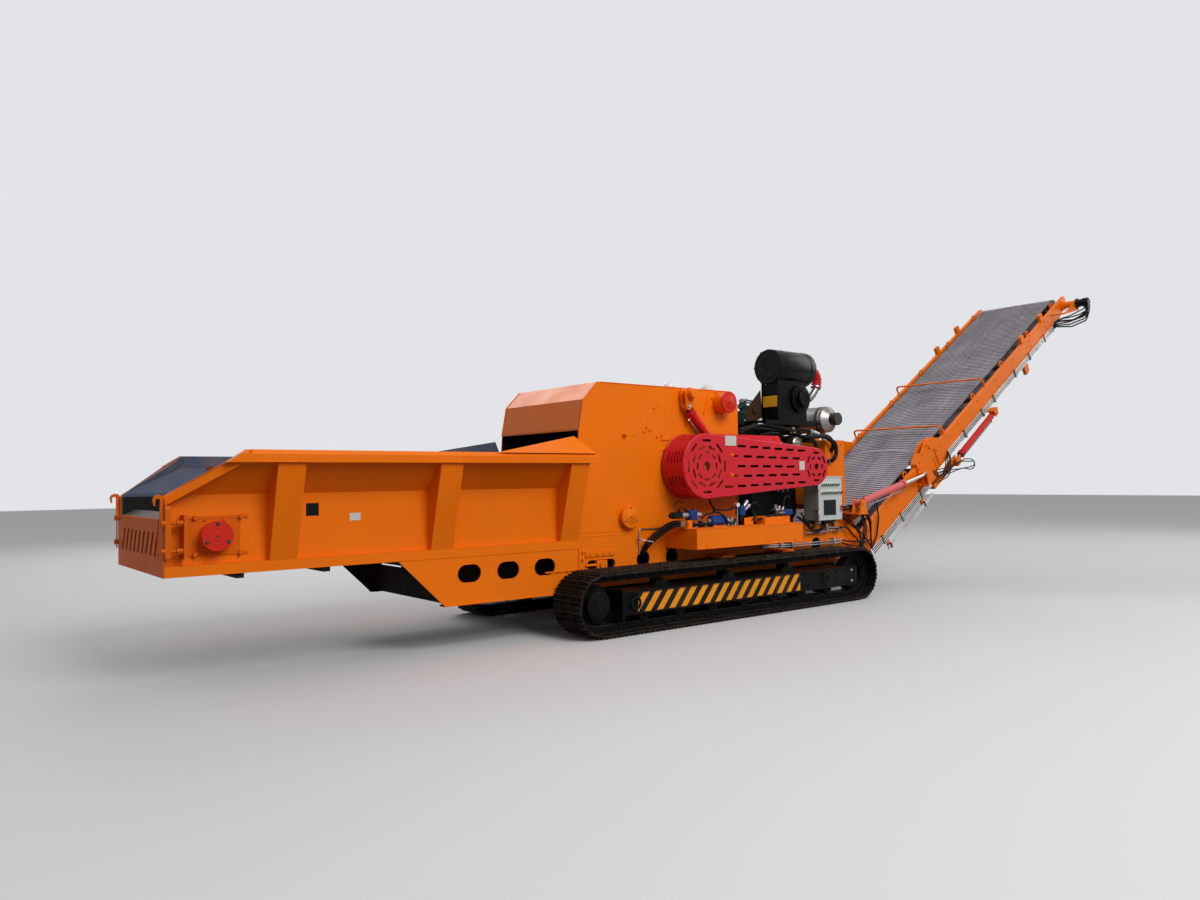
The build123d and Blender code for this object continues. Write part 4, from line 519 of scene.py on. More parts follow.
def skirt_panels():
    """Striped sheet between the skirt's flanges, its end posts' bolts and the cover of the grease points."""
    for side, label in ((-1, "right"), (1, "left")):
        mesh = bmesh.new()
        block(mesh, (-3.1655, min(side * 1.1995, side * 1.202), 0.2125),
              (-0.5965, max(side * 1.1995, side * 1.202), 0.4135), 0.001)
        piece(f"skirt_stripes_{label}", mesh, "root", "frame_slate", hazard_bars)
        mesh = bmesh.new()
        outward = (0, side, 0)
        for x, z, size in ((-3.345, 0.4, 0.026), (-3.345, 0.3, 0.02), (-3.345, 0.23, 0.02),
                           (0.1, 0.38, 0.02), (0.1, 0.25, 0.02), (0.42, 0.38, 0.02), (0.42, 0.25, 0.02),
                           (-0.5, 0.25, 0.016), (-0.5, 0.38, 0.016)):
            bolt(mesh, (x, side * 1.2, z), outward, size, 1 if x > 0.4 else 0)
        block(mesh, (0.14, min(side * 1.199, side * 1.206), 0.235),
              (0.38, max(side * 1.199, side * 1.206), 0.395), 0.003)
        for x in (-3.2195, -0.1375):
            rod(mesh, (x - 0.052, side * 1.2, 0.372), (x + 0.052, side * 1.2, 0.372), 0.011, 10)
        for x in (-2.7615, -1.7425, -0.7235):
            rod(mesh, (x, side * 1.12, 0.469), (x, side * 1.13, 0.469), 0.038, 18)
            for end in (-0.1, 0.1):
                bolt(mesh, (x + end, side * 1.125, 0.452), outward, 0.018)
        piece(f"skirt_fastenings_{label}", mesh, "root", "frame_slate", frame_slate, bright_zinc)


skirt_panels()


# Main frame, feed chassis and housing: welded plate, sprayed orange over everything, with brown dust on what
# lies flat. Bolts are zinc plated or were sprayed over with the plate.

ORANGE = linear(230, 110, 4)
machine_orange = paint("machine_orange", ORANGE, wear=0.3, dust=0.12, roughness=0.4,
                       bare=linear(128, 66, 22))
finish(machine_orange, "press_arm", "side_tank", "rear_tank", "side_tray")


def painted_shade_inside(name, half_width, top):
    """Orange outside; between the side plates everything is painted near-black with a mottled tone, as
    painted shade.
    """
    made = paint(name, ORANGE, wear=0.3, dust=0.12, roughness=0.4, bare=linear(128, 66, 22))
    tree = made.node_tree
    shader = tree.nodes["Principled BSDF"]
    outer = tree.nodes["Group"]
    place = put(tree, "SeparateXYZ", {0: put(tree, "NewGeometry")["Position"]})
    across = maths(tree, "ABSOLUTE", place[1])
    between = maths(tree, "LESS_THAN", across, half_width)
    inside = times(tree, between, maths(tree, "LESS_THAN", place[2], top))
    # painted shade: a near-black mottled colour on all faces between the side plates and below the top
    inside_shade_colour = blended(tree, ranged(tree, noise(tree, 4.0, 5.0), 0.4, 0.7), linear(20, 17, 15),
                    linear(44, 33, 25))
    tree.links.new(blended(tree, inside, outer.outputs["Colour"], inside_shade_colour), shader.inputs["Base Color"])
    mixed = put(tree, "Mix", {0: inside, 2: outer.outputs["Roughness"], 3: 0.8})[0]
    tree.links.new(mixed, shader.inputs["Roughness"])
    return made


finish(painted_shade_inside("frame_orange", 0.725, 1.05), "main_frame")
finish(painted_shade_inside("chassis_orange", 0.794, 0.95), "feed_chassis")
finish(painted_shade_inside("housing_orange", 0.722, 3.0), "housing_side_right", "housing_side_left")


def chassis_detail():
    """Bolts, seams and straps on the rails, the feed chassis and the joint between them."""
    for side, label in ((-1, "right"), (1, "left")):
        mesh = bmesh.new()
        outward = (0, side, 0)
        face = side * 0.807
        for x in (-3.58, -3.52):
            for z in (0.47, 0.55, 0.74, 0.82):
                bolt(mesh, (x, side * 0.748, z), outward, 0.024)
        for x in (-4.0, -3.88, -3.76, -3.66):
            bolt(mesh, (x, side * 0.816, 0.646), outward, 0.016)
        for x in (-3.44, -3.32, -3.2, -3.1):
            bolt(mesh, (x, side * 0.735, 0.52), outward, 0.02)
        # weld seams under the hopper's flange and along the chassis foot
        for start, end in (((-5.15, 0.862), (-3.62, 0.862)), ((-5.15, 0.433), (-3.62, 0.433))):
            rod(mesh, (start[0], face, start[1]), (end[0], face, end[1]), 0.004, 6)
        for x in (-4.8905, -4.4635, -4.0345):
            for i in range(20):
                first, second = (2 * pi * k / 20 for k in (i, i + 1))
                ends = []
                for turn in (first, second):
                    shift = 0.0425 if cos((first + second) / 2) > 0 else -0.0425
                    ends.append((x + shift + 0.0845 * cos(turn), side * 0.8062, 0.704 + 0.0845 * sin(turn)))
                rod(mesh, ends[0], ends[1], 0.003, 6)
        for x in (-3.6025, 0.6):
            bolt(mesh, (x, side * 0.742, 0.9), outward, 0.024)
        piece(f"chassis_fastenings_{label}", mesh, "root", "machine_orange", machine_orange)
        mesh = bmesh.new()
        for x, z in ((-0.2405, 0.682), (0.3215, 0.682), (-2.6775, 0.69), (-2.2475, 0.69)):
            for i in range(24):
                first, second = (2 * pi * k / 24 for k in (i, i + 1))
                rod(mesh, (x + 0.0965 * cos(first), side * 0.7355, z + 0.0965 * sin(first)),
                    (x + 0.0965 * cos(second), side * 0.7355, z + 0.0965 * sin(second)), 0.003, 6)
        for x in (-1.9, -1.2, -0.7, 0.05):
            bolt(mesh, (x, side * 0.735, 0.78), outward, 0.022)
        bolt_circle(mesh, (1.1225, side * 0.74, 0.574), 0.062, 6, outward, 0.018)
        piece(f"rail_seams_{label}", mesh, "root", "machine_orange", machine_orange)


chassis_detail()


# Feed hopper: plate walls that flare to a bevelled rim, ribs outside. The inner faces are scoured bare by
# wood, and their blue-grey colour is partly a painted sky reflection; rubber strips seal their feet over the
# slat chain.

def hopper_paint():
    """Orange outside; on the faces that look into the hopper the paint is gone, and the bare steel's
    blue-grey colour is partly a painted sky reflection.
    """
    made = paint("hopper_walls", ORANGE, wear=0.35, dust=0.14, roughness=0.4, bare=linear(128, 66, 22))
    tree = made.node_tree
    shader = tree.nodes["Principled BSDF"]
    outer = tree.nodes["Group"]
    # bare worn steel inside; its blue-grey colour is partly a painted sky reflection
    inner = tree.nodes.new("ShaderNodeGroup")
    inner.node_tree = steel_surface
    for key, value in {"Colour": linear(74, 84, 104), "Rust Colour": linear(108, 84, 66), "Rust": 0.35,
                       "Dust": 0.35, "Roughness": 0.42, "Grain": 45.0}.items():
        inner.inputs[key].default_value = value
    shape = put(tree, "NewGeometry")
    place = put(tree, "SeparateXYZ", {0: shape["Position"]})
    normal = put(tree, "SeparateXYZ", {0: shape["Normal"]})
    # positive where the face looks towards the middle plane
    side = maths(tree, "SIGN", place[1])
    towards = times(tree, times(tree, side, normal[1]), -1.0)
    looking_in = ranged(tree, towards, 0.2, 0.35)
    behind_post = maths(tree, "GREATER_THAN", place[0], -7.545)
    inside = times(tree, looking_in, behind_post)
    tree.links.new(blended(tree, inside, outer.outputs["Colour"], inner.outputs["Colour"]),
                   shader.inputs["Base Color"])
    mixed = put(tree, "Mix", {0: inside, 2: outer.outputs["Roughness"], 3: inner.outputs["Roughness"]})[0]
    tree.links.new(mixed, shader.inputs["Roughness"])
    tree.links.new(times(tree, inside, 0.45), shader.inputs["Metallic"])
    return made


hopper_walls = hopper_paint()
finish(hopper_walls, "hopper_side_right", "hopper_side_left")

black_rubber = clad_steel("black_rubber", linear(17, 17, 18), linear(34, 32, 31), 0.5, 0.12, 0.55, 60.0,
                          bump=0.0006, Specular_IOR_Level=0.12)
# the rubber strips' black also stands in for the shade on the hopper walls' lower parts
finish(black_rubber, "rubber_flap")

worn_steel = clad_steel("worn_steel", linear(60, 57, 55), linear(84, 58, 42), 0.6, 0.3, 0.5, 70.0,
                        metallic=0.4, bump=0.002)
finish(worn_steel, "feed_chain", "feed_shafts")

plate_orange = paint("feed_end_orange", linear(206, 92, 8), wear=0.5, dust=0.1, roughness=0.5,
                     bare=linear(104, 54, 24), gloss=0.08)
finish(plate_orange, "feed_end")


def feed_chain_detail():
    """Bars with cleats on the slats, side links and their pins, seen from above between the walls."""
    mesh = bmesh.new()
    start, end, top = -7.1365, -3.2575, 1.175
    for i in range(24):
        x = start + 0.06 + i * (end - start - 0.12) / 23
        for y in (-0.56, -0.19, 0.19, 0.56):
            block(mesh, (x - 0.014, y - 0.09, top), (x + 0.014, y + 0.09, top + 0.012), 0.004)
        for y in (-0.655, 0.655):
            bolt(mesh, (x, y, top), (0, 0, 1), 0.022, 1)
    for i in range(47):
        x = start + 0.05 + i * (end - start - 0.1) / 46
        for y in (-0.46, 0.46):
            rod(mesh, (x - 0.036, y, 1.149), (x + 0.036, y, 1.149), 0.012, 8, 1)
    piece("feed_chain_cleats", mesh, "root", "wear_steel", worn_steel, track_steel)


feed_chain_detail()


def hopper_detail():
    """Welds of the ribs and of the rim, and the strip bolts inside."""
    for side, label in ((-1, "right"), (1, "left")):
        mesh = bmesh.new()
        for x in (-6.6135, -5.1765, -3.7345):
            for end in (-1, 1):
                edge = x + end * 0.1135
                rod(mesh, (edge, side * 0.7535, 0.95), (edge, side * 0.7535, 1.478), 0.0045, 6)
                rod(mesh, (edge, side * 0.7535, 1.478), (edge, side * 0.986, 1.727), 0.0045, 6)
        rod(mesh, (-7.45, side * 0.7525, 0.9465), (-3.62, side * 0.7525, 0.9465), 0.005, 6)
        for x in (-6.9, -6.1, -5.4, -4.7, -4.0):
            rod(mesh, (x, side * 1.0448, 1.729), (x + 0.42, side * 1.0448, 1.729), 0.004, 6)
        piece(f"hopper_welds_{label}", mesh, "root", "machine_orange", machine_orange)
        mesh = bmesh.new()
        for i in range(13):
            bolt(mesh, (-7.3 + i * 0.3, side * 0.728, 1.41), (0, -side, 0), 0.02)
            bolt(mesh, (-7.3 + i * 0.3, side * 0.728, 1.24), (0, -side, 0), 0.02)
        piece(f"strip_bolts_{label}", mesh, "root", "wear_steel", track_steel)


hopper_detail()


def feed_end_detail():
    """Threads of the chain tensioners, welds of the slotted plate and a black sheet behind its slots as
    painted shade.
    """
    mesh = bmesh.new()
    for side in (-1, 1):
        for z in (1.06, 1.27):
            for i in range(16):
                x = -7.378 - 0.0095 * i
                lathe(mesh, (x, side * 0.838, z), (-1, 0, 0),
                      [(0, 0.0112), (0.0035, 0.0128), (0.007, 0.0112)], 12)
            lathe(mesh, (-7.5305, side * 0.838, z), (-1, 0, 0), [(0, 0.026), (0.0025, 0.026)], 18)
        for x in (-7.2, -7.06):
            bolt(mesh, (x, side * 0.756, 1.285), (0, side, 0), 0.02)
    piece("tensioner_threads", mesh, "root", "machine_orange", plate_orange)
    mesh = bmesh.new()
    for side in (-1, 1):
        rod(mesh, (-7.5325, side * 0.7515, 1.012), (-7.5325, side * 0.7515, 1.298), 0.005, 6)
        for x, z in ((-7.46, 1.04), (-7.46, 1.12), (-7.46, 1.2)):
            bolt(mesh, (x, side * 0.75, z), (0, side, 0), 0.022)
    for i in range(12):
        rod(mesh, (-7.5315, -0.78 + i * 0.13, 1.296), (-7.5315, -0.7 + i * 0.13, 1.296), 0.004, 6)
    piece("feed_end_welds", mesh, "root", "machine_orange", plate_orange)
    # painted shade: a black sheet behind the end plate's slots darkens what is seen through them
    mesh = bmesh.new()
    block(mesh, (-7.484, -0.7, 1.0), (-7.478, 0.7, 1.2), 0.002)
    piece("slot_shade_sheet", mesh, "root", "black_rubber", black_rubber)


feed_end_detail()


# Bearing caps: flanged barrels of the feed shaft in faded red and, on the housing, in orange with a red
# cover over the press arm's tube. Each cover has bolts round its edge and a grease plug in its middle.

faded_red = paint("faded_red", linear(200, 40, 24), wear=0.25, dust=0.15, roughness=0.42,
                  bare=linear(110, 60, 50))
dark_bolt = clad_steel("dark_bolt", linear(58, 55, 54), linear(92, 60, 42), 0.4, 0.3, 0.5, 110.0,
                       metallic=0.7)
finish(machine_orange, "bearing_caps")


def bearing_caps():
    for side, label in ((-1, "right"), (1, "left")):
        outward = (0, side, 0)
        for name, x, z, radius, face, colour in (("feed", -7.1365, 1.162, 0.118, 0.862, faded_red),
                                                 ("press", -1.4475, 2.445, 0.125, 0.9, faded_red),
                                                 ("sill", -2.9005, 1.159, 0.122, 0.8, machine_orange)):
            mesh = bmesh.new()
            lathe(mesh, (x, side * (face - 0.0155), z), outward,
                  [(0, radius * 1.012), (0.0165, radius * 1.012), (0.0215, radius * 0.97),
                   (0.0215, radius * 0.62),
                   (0.0235, radius * 0.6), (0.0235, radius * 0.3), (0.0265, radius * 0.27)], 44)
            bolt_circle(mesh, (x, side * (face + 0.0045), z), radius * 0.78, 3, outward,
                        0.02 if name == "feed" else 0.014, 1, first=radians(90))
            bolt(mesh, (x, side * (face + 0.009), z), outward, 0.016, 1)
            if name == "press":
                bolt_circle(mesh, (x, side * 0.736, z), 0.136, 8, outward, 0.02, 2, first=radians(22))
            piece(f"{name}_cap_cover_{label}", mesh, "root", "machine_orange", colour, dark_bolt,
                  machine_orange)


bearing_caps()


# Crusher housing: flat plates stiffened by welded ribs, with access doors, a bolted seam and inspection
# covers; the hood over the inlet is folded from one sheet and its mouth is painted dark inside as shade.

def hood_paint():
    """Orange outside; faces that look down, faces that look back into the inlet and everything low are
    painted near-black as shade.
    """
    made = paint("hood", ORANGE, wear=0.35, dust=0.14, roughness=0.38, bare=linear(128, 66, 22), gloss=0.25)
    tree = made.node_tree
    shader = tree.nodes["Principled BSDF"]
    outer = tree.nodes["Group"]
    shape = put(tree, "NewGeometry")
    place = put(tree, "SeparateXYZ", {0: shape["Position"]})
    normal = put(tree, "SeparateXYZ", {0: shape["Normal"]})
    # painted shade: downward faces, the inlet's backward faces and everything below 1.3 m turn near-black
    under = ranged(tree, normal[2], -0.2, -0.4)
    backward = ranged(tree, normal[0], 0.3, 0.5)
    low = maths(tree, "LESS_THAN", place[2], 1.3)
    inside = maths(tree, "MAXIMUM", under, times(tree, backward, ranged(tree, place[0], -2.9, -3.1)))
    inside = maths(tree, "MAXIMUM", inside, low)
    tree.links.new(blended(tree, inside, outer.outputs["Colour"], linear(22, 19, 17)),
                   shader.inputs["Base Color"])
    return made


finish(hood_paint(), "hood")


def housing_detail():
    """Seams and bolts of the side plates, and the bolted hatch in the roof."""
    for side, label in ((-1, "right"), (1, "left")):
        mesh = bmesh.new()
        outward = (0, side, 0)
        y = side * 0.735
        # raised seam that joins the inlet's cheek to the side plate
        spots = ((-2.7945, 2.025), (-2.4775, 2.378))
        rod(mesh, (spots[0][0], y, spots[0][1]), (spots[1][0], y, spots[1][1]), 0.009, 8)
        rod(mesh, (spots[1][0], y, spots[1][1]), (-2.4195, y, 2.385), 0.007, 8)
        for x, z in ((-2.6035, 2.129), (-2.6405, 2.078), (-2.5515, 2.097), (-2.4495, 2.026),
                     (-2.4875, 2.35)):
            bolt(mesh, (x, y, z), outward, 0.024)
        rod(mesh, (-2.3805, y, 2.051), (-2.1515, y, 1.971), 0.006, 8)
        lathe(mesh, (-2.9305, side * 0.7345, 2.039), outward,
              [(0, 0.024), (0.02, 0.024), (0.026, 0.018), (0.05, 0.016), (0.054, 0.01)], 20)
        # inlet cheek's edge strip
        edge = ((-3.5395, 2.074), (-3.4775, 2.399), (-3.2875, 2.591))
        for (x0, z0), (x1, z1) in zip(edge, edge[1:]):
            rod(mesh, (x0, y, z0), (x1, y, z1), 0.007, 8)
        rod(mesh, (-3.25, y, 2.59), (-1.28, y, 2.59), 0.006, 8)
        for z in (0.97, 1.01):
            rod(mesh, (-3.55, y, z), (-2.4, y, z), 0.004, 6)
        piece(f"housing_seams_{label}", mesh, "root", "machine_orange", machine_orange)
    mesh = bmesh.new()
    block(mesh, (-2.95, -0.45, 2.589), (-2.35, 0.45, 2.597), 0.004)
    for x in (-2.9, -2.4):
        for y in (-0.4, 0.0, 0.4):
            bolt(mesh, (x, y, 2.597), (0, 0, 1), 0.016)
    piece("roof_hatch", mesh, "root", "machine_orange", machine_orange)


housing_detail()


# Press roller group: a drum with welded teeth on a swing arm, drawn down by a cylinder on each side. The
# barrels are red paint, the rods hard chrome, and pins and lever edges are bare where they rub.

chrome = clad_steel("rod_chrome", linear(198, 200, 204), linear(120, 112, 100), 0.1, 0.12, 0.16, 200.0,
                    metallic=1.0, bump=0.0002)
cylinder_red = paint("cylinder_red", linear(196, 30, 30), wear=0.3, dust=0.15, roughness=0.36,
                     bare=linear(120, 60, 55))
lift_red = paint("lift_red", linear(206, 96, 98), wear=0.2, dust=0.15, roughness=0.4,
                 bare=linear(160, 90, 90))
finish(cylinder_red, "press_barrels", "fold_barrels")
finish(lift_red, "lift_barrels")
finish(chrome, "press_rods", "lift_rods", "fold_rods")
tooth_steel = clad_steel("tooth_steel", linear(70, 64, 60), linear(120, 70, 40), 0.8, 0.4, 0.5, 60.0,
                         metallic=0.6, bump=0.003)
finish(tooth_steel, "press_roller", "engine_pulley")


def rotor_paint():
    """Bare steel hammers on the shaft; the belt pulley on its end is orange."""
    made = clad_steel("rotor_steel", linear(70, 64, 60), linear(120, 70, 40), 0.8, 0.3, 0.5, 60.0,
                      bump=0.002)
    tree = made.node_tree
    group = tree.nodes["Group"]
    across = put(tree, "SeparateXYZ", {0: put(tree, "TexCoord")["Object"]})[1]
    pulley = maths(tree, "LESS_THAN", across, -0.78)
    for socket, steel, orange in (("Colour", linear(70, 64, 60), ORANGE),
                                  ("Rust Colour", linear(120, 70, 40), linear(196, 84, 8))):
        tree.links.new(blended(tree, pulley, steel, orange), group.inputs[socket])
    return made


finish(rotor_paint(), "rotor")


def cylinder_detail(name, foot, eye, y, barrel, radius, rod_radius, colour, over=1):
    """Gland nut, ring seams, port fittings and the oil line along each barrel; a wiper ring at the rod."""
    mesh = bmesh.new()
    for side in (-1, 1):
        axis = Vector((eye[0] - foot[0], 0, eye[1] - foot[1])).normalized()
        start = Vector((foot[0], side * y, foot[1]))
        for s, wide, grow in ((0.093, 0.02, 0.004), (barrel - 0.06, 0.012, 0.011)):
            lathe(mesh, start + axis * s, axis, [(0, radius), (wide * 0.3, radius + grow),
                                                 (wide * 0.7, radius + grow), (wide, radius)], 28)
        lathe(mesh, start + axis * (barrel - 0.002), axis,
              [(0, rod_radius + 0.016), (0.014, rod_radius + 0.014), (0.016, rod_radius + 0.003)], 24, 1)
        for s in (0.132, barrel - 0.07):
            port = start + axis * s
            up = Vector((-axis.z, 0, axis.x)) * over
            lathe(mesh, port + up * (radius + 0.018), up,
                  [(0, 0.013), (0.012, 0.013), (0.014, 0.01), (0.03, 0.01)], 6, 2)
        ports = [start + axis * s + Vector((-axis.z, 0, axis.x)) * over * (radius + 0.03)
                 for s in (0.16, barrel - 0.09)]
        rod(mesh, ports[0], ports[1], 0.008, 12, 2)
    piece(f"{name}_barrel_fittings", mesh, f"{name}_barrels", "cylinder_red", colour, dark_bolt, bright_zinc)


cylinder_detail("press", (-1.6645, 1.981), (-2.0605, 2.377), 0.81, 0.496, 0.05, 0.024, cylinder_red)
cylinder_detail("lift", (0.9755, 1.205), (2.6155, 1.586), 0.95, 1.084, 0.048, 0.026, lift_red, -1)
cylinder_detail("fold", (4.70286, 2.54509), (3.543175, 1.797045), 0.89, 1.24, 0.045, 0.024, cylinder_red)


def press_detail():
    """Pin heads and retaining plates of the press arm's levers and of the cylinders' feet."""
    mesh = bmesh.new()
    for side in (-1, 1):
        outward = (0, side, 0)
        lathe(mesh, (-2.0415, side * 0.93, 2.515), outward,
              [(0, 0.056), (0.004, 0.056), (0.006, 0.052), (0.006, 0.036)], 28)
        bolt_circle(mesh, (-2.0415, side * 0.8575, 2.515), 0.063, 6, outward, 0.012)
    piece("press_arm_fittings", mesh, "press_arm", "machine_orange", machine_orange)
    mesh = bmesh.new()
    for side in (-1, 1):
        outward = (0, side, 0)
        lathe(mesh, (-1.6645, side * 0.857, 1.981), outward, [(0, 0.03), (0.006, 0.03), (0.008, 0.026)], 20)
        block(mesh, (-1.7, min(side * 0.853, side * 0.859), 2.0),
              (-1.63, max(side * 0.853, side * 0.859), 2.02), 0.002)
    piece("press_pin_plates", mesh, "root", "machine_orange", dark_bolt)


press_detail()


# Belt guard: a deep pressed cover in crimson enamel, its slots stamped through, bolted to spacers on the
# housing. The belts and pulleys behind it are dark. Two bare plates are riveted on.

guard_red = paint("guard_red", linear(198, 14, 36), wear=0.15, dust=0.08, roughness=0.36,
                  bare=linear(120, 20, 30), gloss=0.35)
finish(guard_red, "belt_guard")
finish(black_rubber, "drive_belts")


def outline_point(distance, big, small, big_r, small_r):
    """Point of the guard's outline, two arcs and their tangents, at a distance along it."""
    span = hypot(small[0] - big[0], small[1] - big[1])
    tilt = atan2(small[1] - big[1], small[0] - big[0])
    lean = acos((big_r - small_r) / span)
    straight = sqrt(span * span - (big_r - small_r) ** 2)

    def on_arc(middle, radius, turn):
        return middle[0] + radius * cos(turn), middle[1] + radius * sin(turn)

    lengths = (straight, 2 * lean * small_r, straight, (2 * pi - 2 * lean) * big_r)
    distance %= sum(lengths)
    part = 0
    while part < 3 and distance >= lengths[part]:
        distance -= lengths[part]
        part += 1
    if part == 1:
        return on_arc(small, small_r, tilt + lean - distance / small_r)
    if part == 3:
        return on_arc(big, big_r, tilt - lean - distance / big_r)
    turn = tilt - lean if part else tilt + lean
    low, high = on_arc(big, big_r, turn), on_arc(small, small_r, turn)
    if part:
        low, high = high, low
    share = distance / straight
    return low[0] + share * (high[0] - low[0]), low[1] + share * (high[1] - low[1])


def guard_detail():
    big, small = (-2.0375, 1.694), (-0.1125, 1.69)
    big_r, small_r = 0.362, 0.231
    mesh = bmesh.new()
    # folded flange at the back edge and a welded seam behind the front edge
    steps = 150
    length = 2 * sqrt((small[0] - big[0]) ** 2 - (big_r - small_r) ** 2) + pi * (big_r + small_r)
    for offset, y, radius in ((0.003, -0.781, 0.006), (0.0, -1.087, 0.0025)):
        for i in range(steps):
            x0, z0 = outline_point(i * length / steps, big, small, big_r + offset, small_r + offset)
            x1, z1 = outline_point((i + 1) * length / steps, big, small, big_r + offset, small_r + offset)
            if hypot(x1 - x0, z1 - z0) > 1e-4:
                rod(mesh, (x0, y, z0), (x1, y, z1), radius, 6)
    # rolled rims round the hub holes
    for (x, z), radius in ((big, 0.057), (small, 0.042)):
        for i in range(28):
            first, second = (2 * pi * k / 28 for k in (i, i + 1))
            rod(mesh, (x + radius * cos(first), -1.1, z + radius * sin(first)),
                (x + radius * cos(second), -1.1, z + radius * sin(second)), 0.005, 8)
    for i in range(12):
        turn = 2 * pi * i / 12 + 0.2
        if sin(turn) < 0.9:
            bolt(mesh, (big[0] + 0.346 * cos(turn), -1.0995, big[1] + 0.346 * sin(turn)), (0, -1, 0), 0.014)
    bolt_circle(mesh, (small[0], -1.0995, small[1]), 0.216, 8, (0, -1, 0), 0.014, first=0.2)
    for x, z in ((-1.6, 2.03), (-1.1, 2.03), (-0.7, 2.03)):
        bolt(mesh, (x, -0.93, z), (0, -1, 0), 0.018)
    piece("guard_seams", mesh, "root", "guard_red", guard_red)
    mesh = bmesh.new()
    for x, z in ((-1.6345, 1.819), (-1.6405, 1.591)):
        bolt(mesh, (x, -1.1, z), (0, -1, 0), 0.03)
    piece("guard_bolts", mesh, "root", "machine_orange", machine_orange)


guard_detail()

plate_grey = paint("bare_plates", linear(196, 192, 186), wear=0.2, dust=0.3, roughness=0.3)


def bare_plates():
    """Blank riveted plates where the photograph's machine carries stickers and signs."""
    mesh = bmesh.new()
    for low, high in (((-1.743, -1.1025, 1.926), (-1.561, -1.0995, 2.039)),
                      ((-0.443, -1.1025, 1.647), (-0.343, -1.0995, 1.755)),
                      ((-6.03, -0.7525, 1.235), (-5.93, -0.7495, 1.3))):
        block(mesh, low, high, 0.001)
        for x in (low[0] + 0.012, high[0] - 0.012):
            for z in (low[2] + 0.012, high[2] - 0.012):
                lathe(mesh, (x, low[1], z), (0, -1, 0), [(0, 0.004), (0.0015, 0.003)], 10)
    piece("bare_plates", mesh, "root", "cabinet_grey", plate_grey)


bare_plates()


# Engine: cast block across the machine in dark grey, with pipes, filters, wiring and brackets round it. The
# flywheel housing and belt pulley face the guard.

engine_dark = paint("engine_dark", linear(15, 19, 19), wear=0.2, dust=0.08, roughness=0.5,
                    bare=linear(60, 60, 58))
black_plastic = paint("black_plastic", linear(11, 12, 13), wear=0.1, dust=0.05, roughness=0.35,
                      bare=linear(40, 40, 40))
silicone_red = paint("silicone_red", linear(186, 26, 32), wear=0.1, dust=0.12, roughness=0.38,
                     bare=linear(120, 40, 40))
muffler_steel = clad_steel("muffler_steel", linear(146, 146, 144), linear(112, 92, 74), 0.4, 0.2, 0.32, 90.0,
                           metallic=0.9, bump=0.0006)
finish(engine_dark, "engine", "radiator")
finish(black_plastic, "head_motor")
finish(muffler_steel, "muffler")
finish(black_rubber, "engine_hoses", "tray_hoses", "head_hoses", "foot_hoses")


def hoses(name, body, material, runs, radius, detail=3):
    """Round flexible lines through points, drawn as smooth curves."""
    data = bpy.data.curves.new(name, "CURVE")
    data.dimensions = "3D"
    data.bevel_depth = radius
    data.bevel_resolution = detail
    data.use_fill_caps = True
    data.resolution_u = 6
    for points in runs:
        line = data.splines.new("BEZIER")
        line.bezier_points.add(len(points) - 1)
        for spot, at in zip(line.bezier_points, points):
            spot.co = at
            spot.handle_left_type = spot.handle_right_type = "AUTO"
    data.materials.append(material)
    made = bpy.data.objects.new(name, data)
    bpy.context.collection.objects.link(made)
    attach(made, body)
    return made


brass = clad_steel("brass", linear(196, 158, 88), linear(110, 84, 50), 0.3, 0.2, 0.3, 120.0, metallic=0.9)
engine_teal = paint("engine_teal", linear(22, 50, 52), wear=0.3, dust=0.15, roughness=0.4)


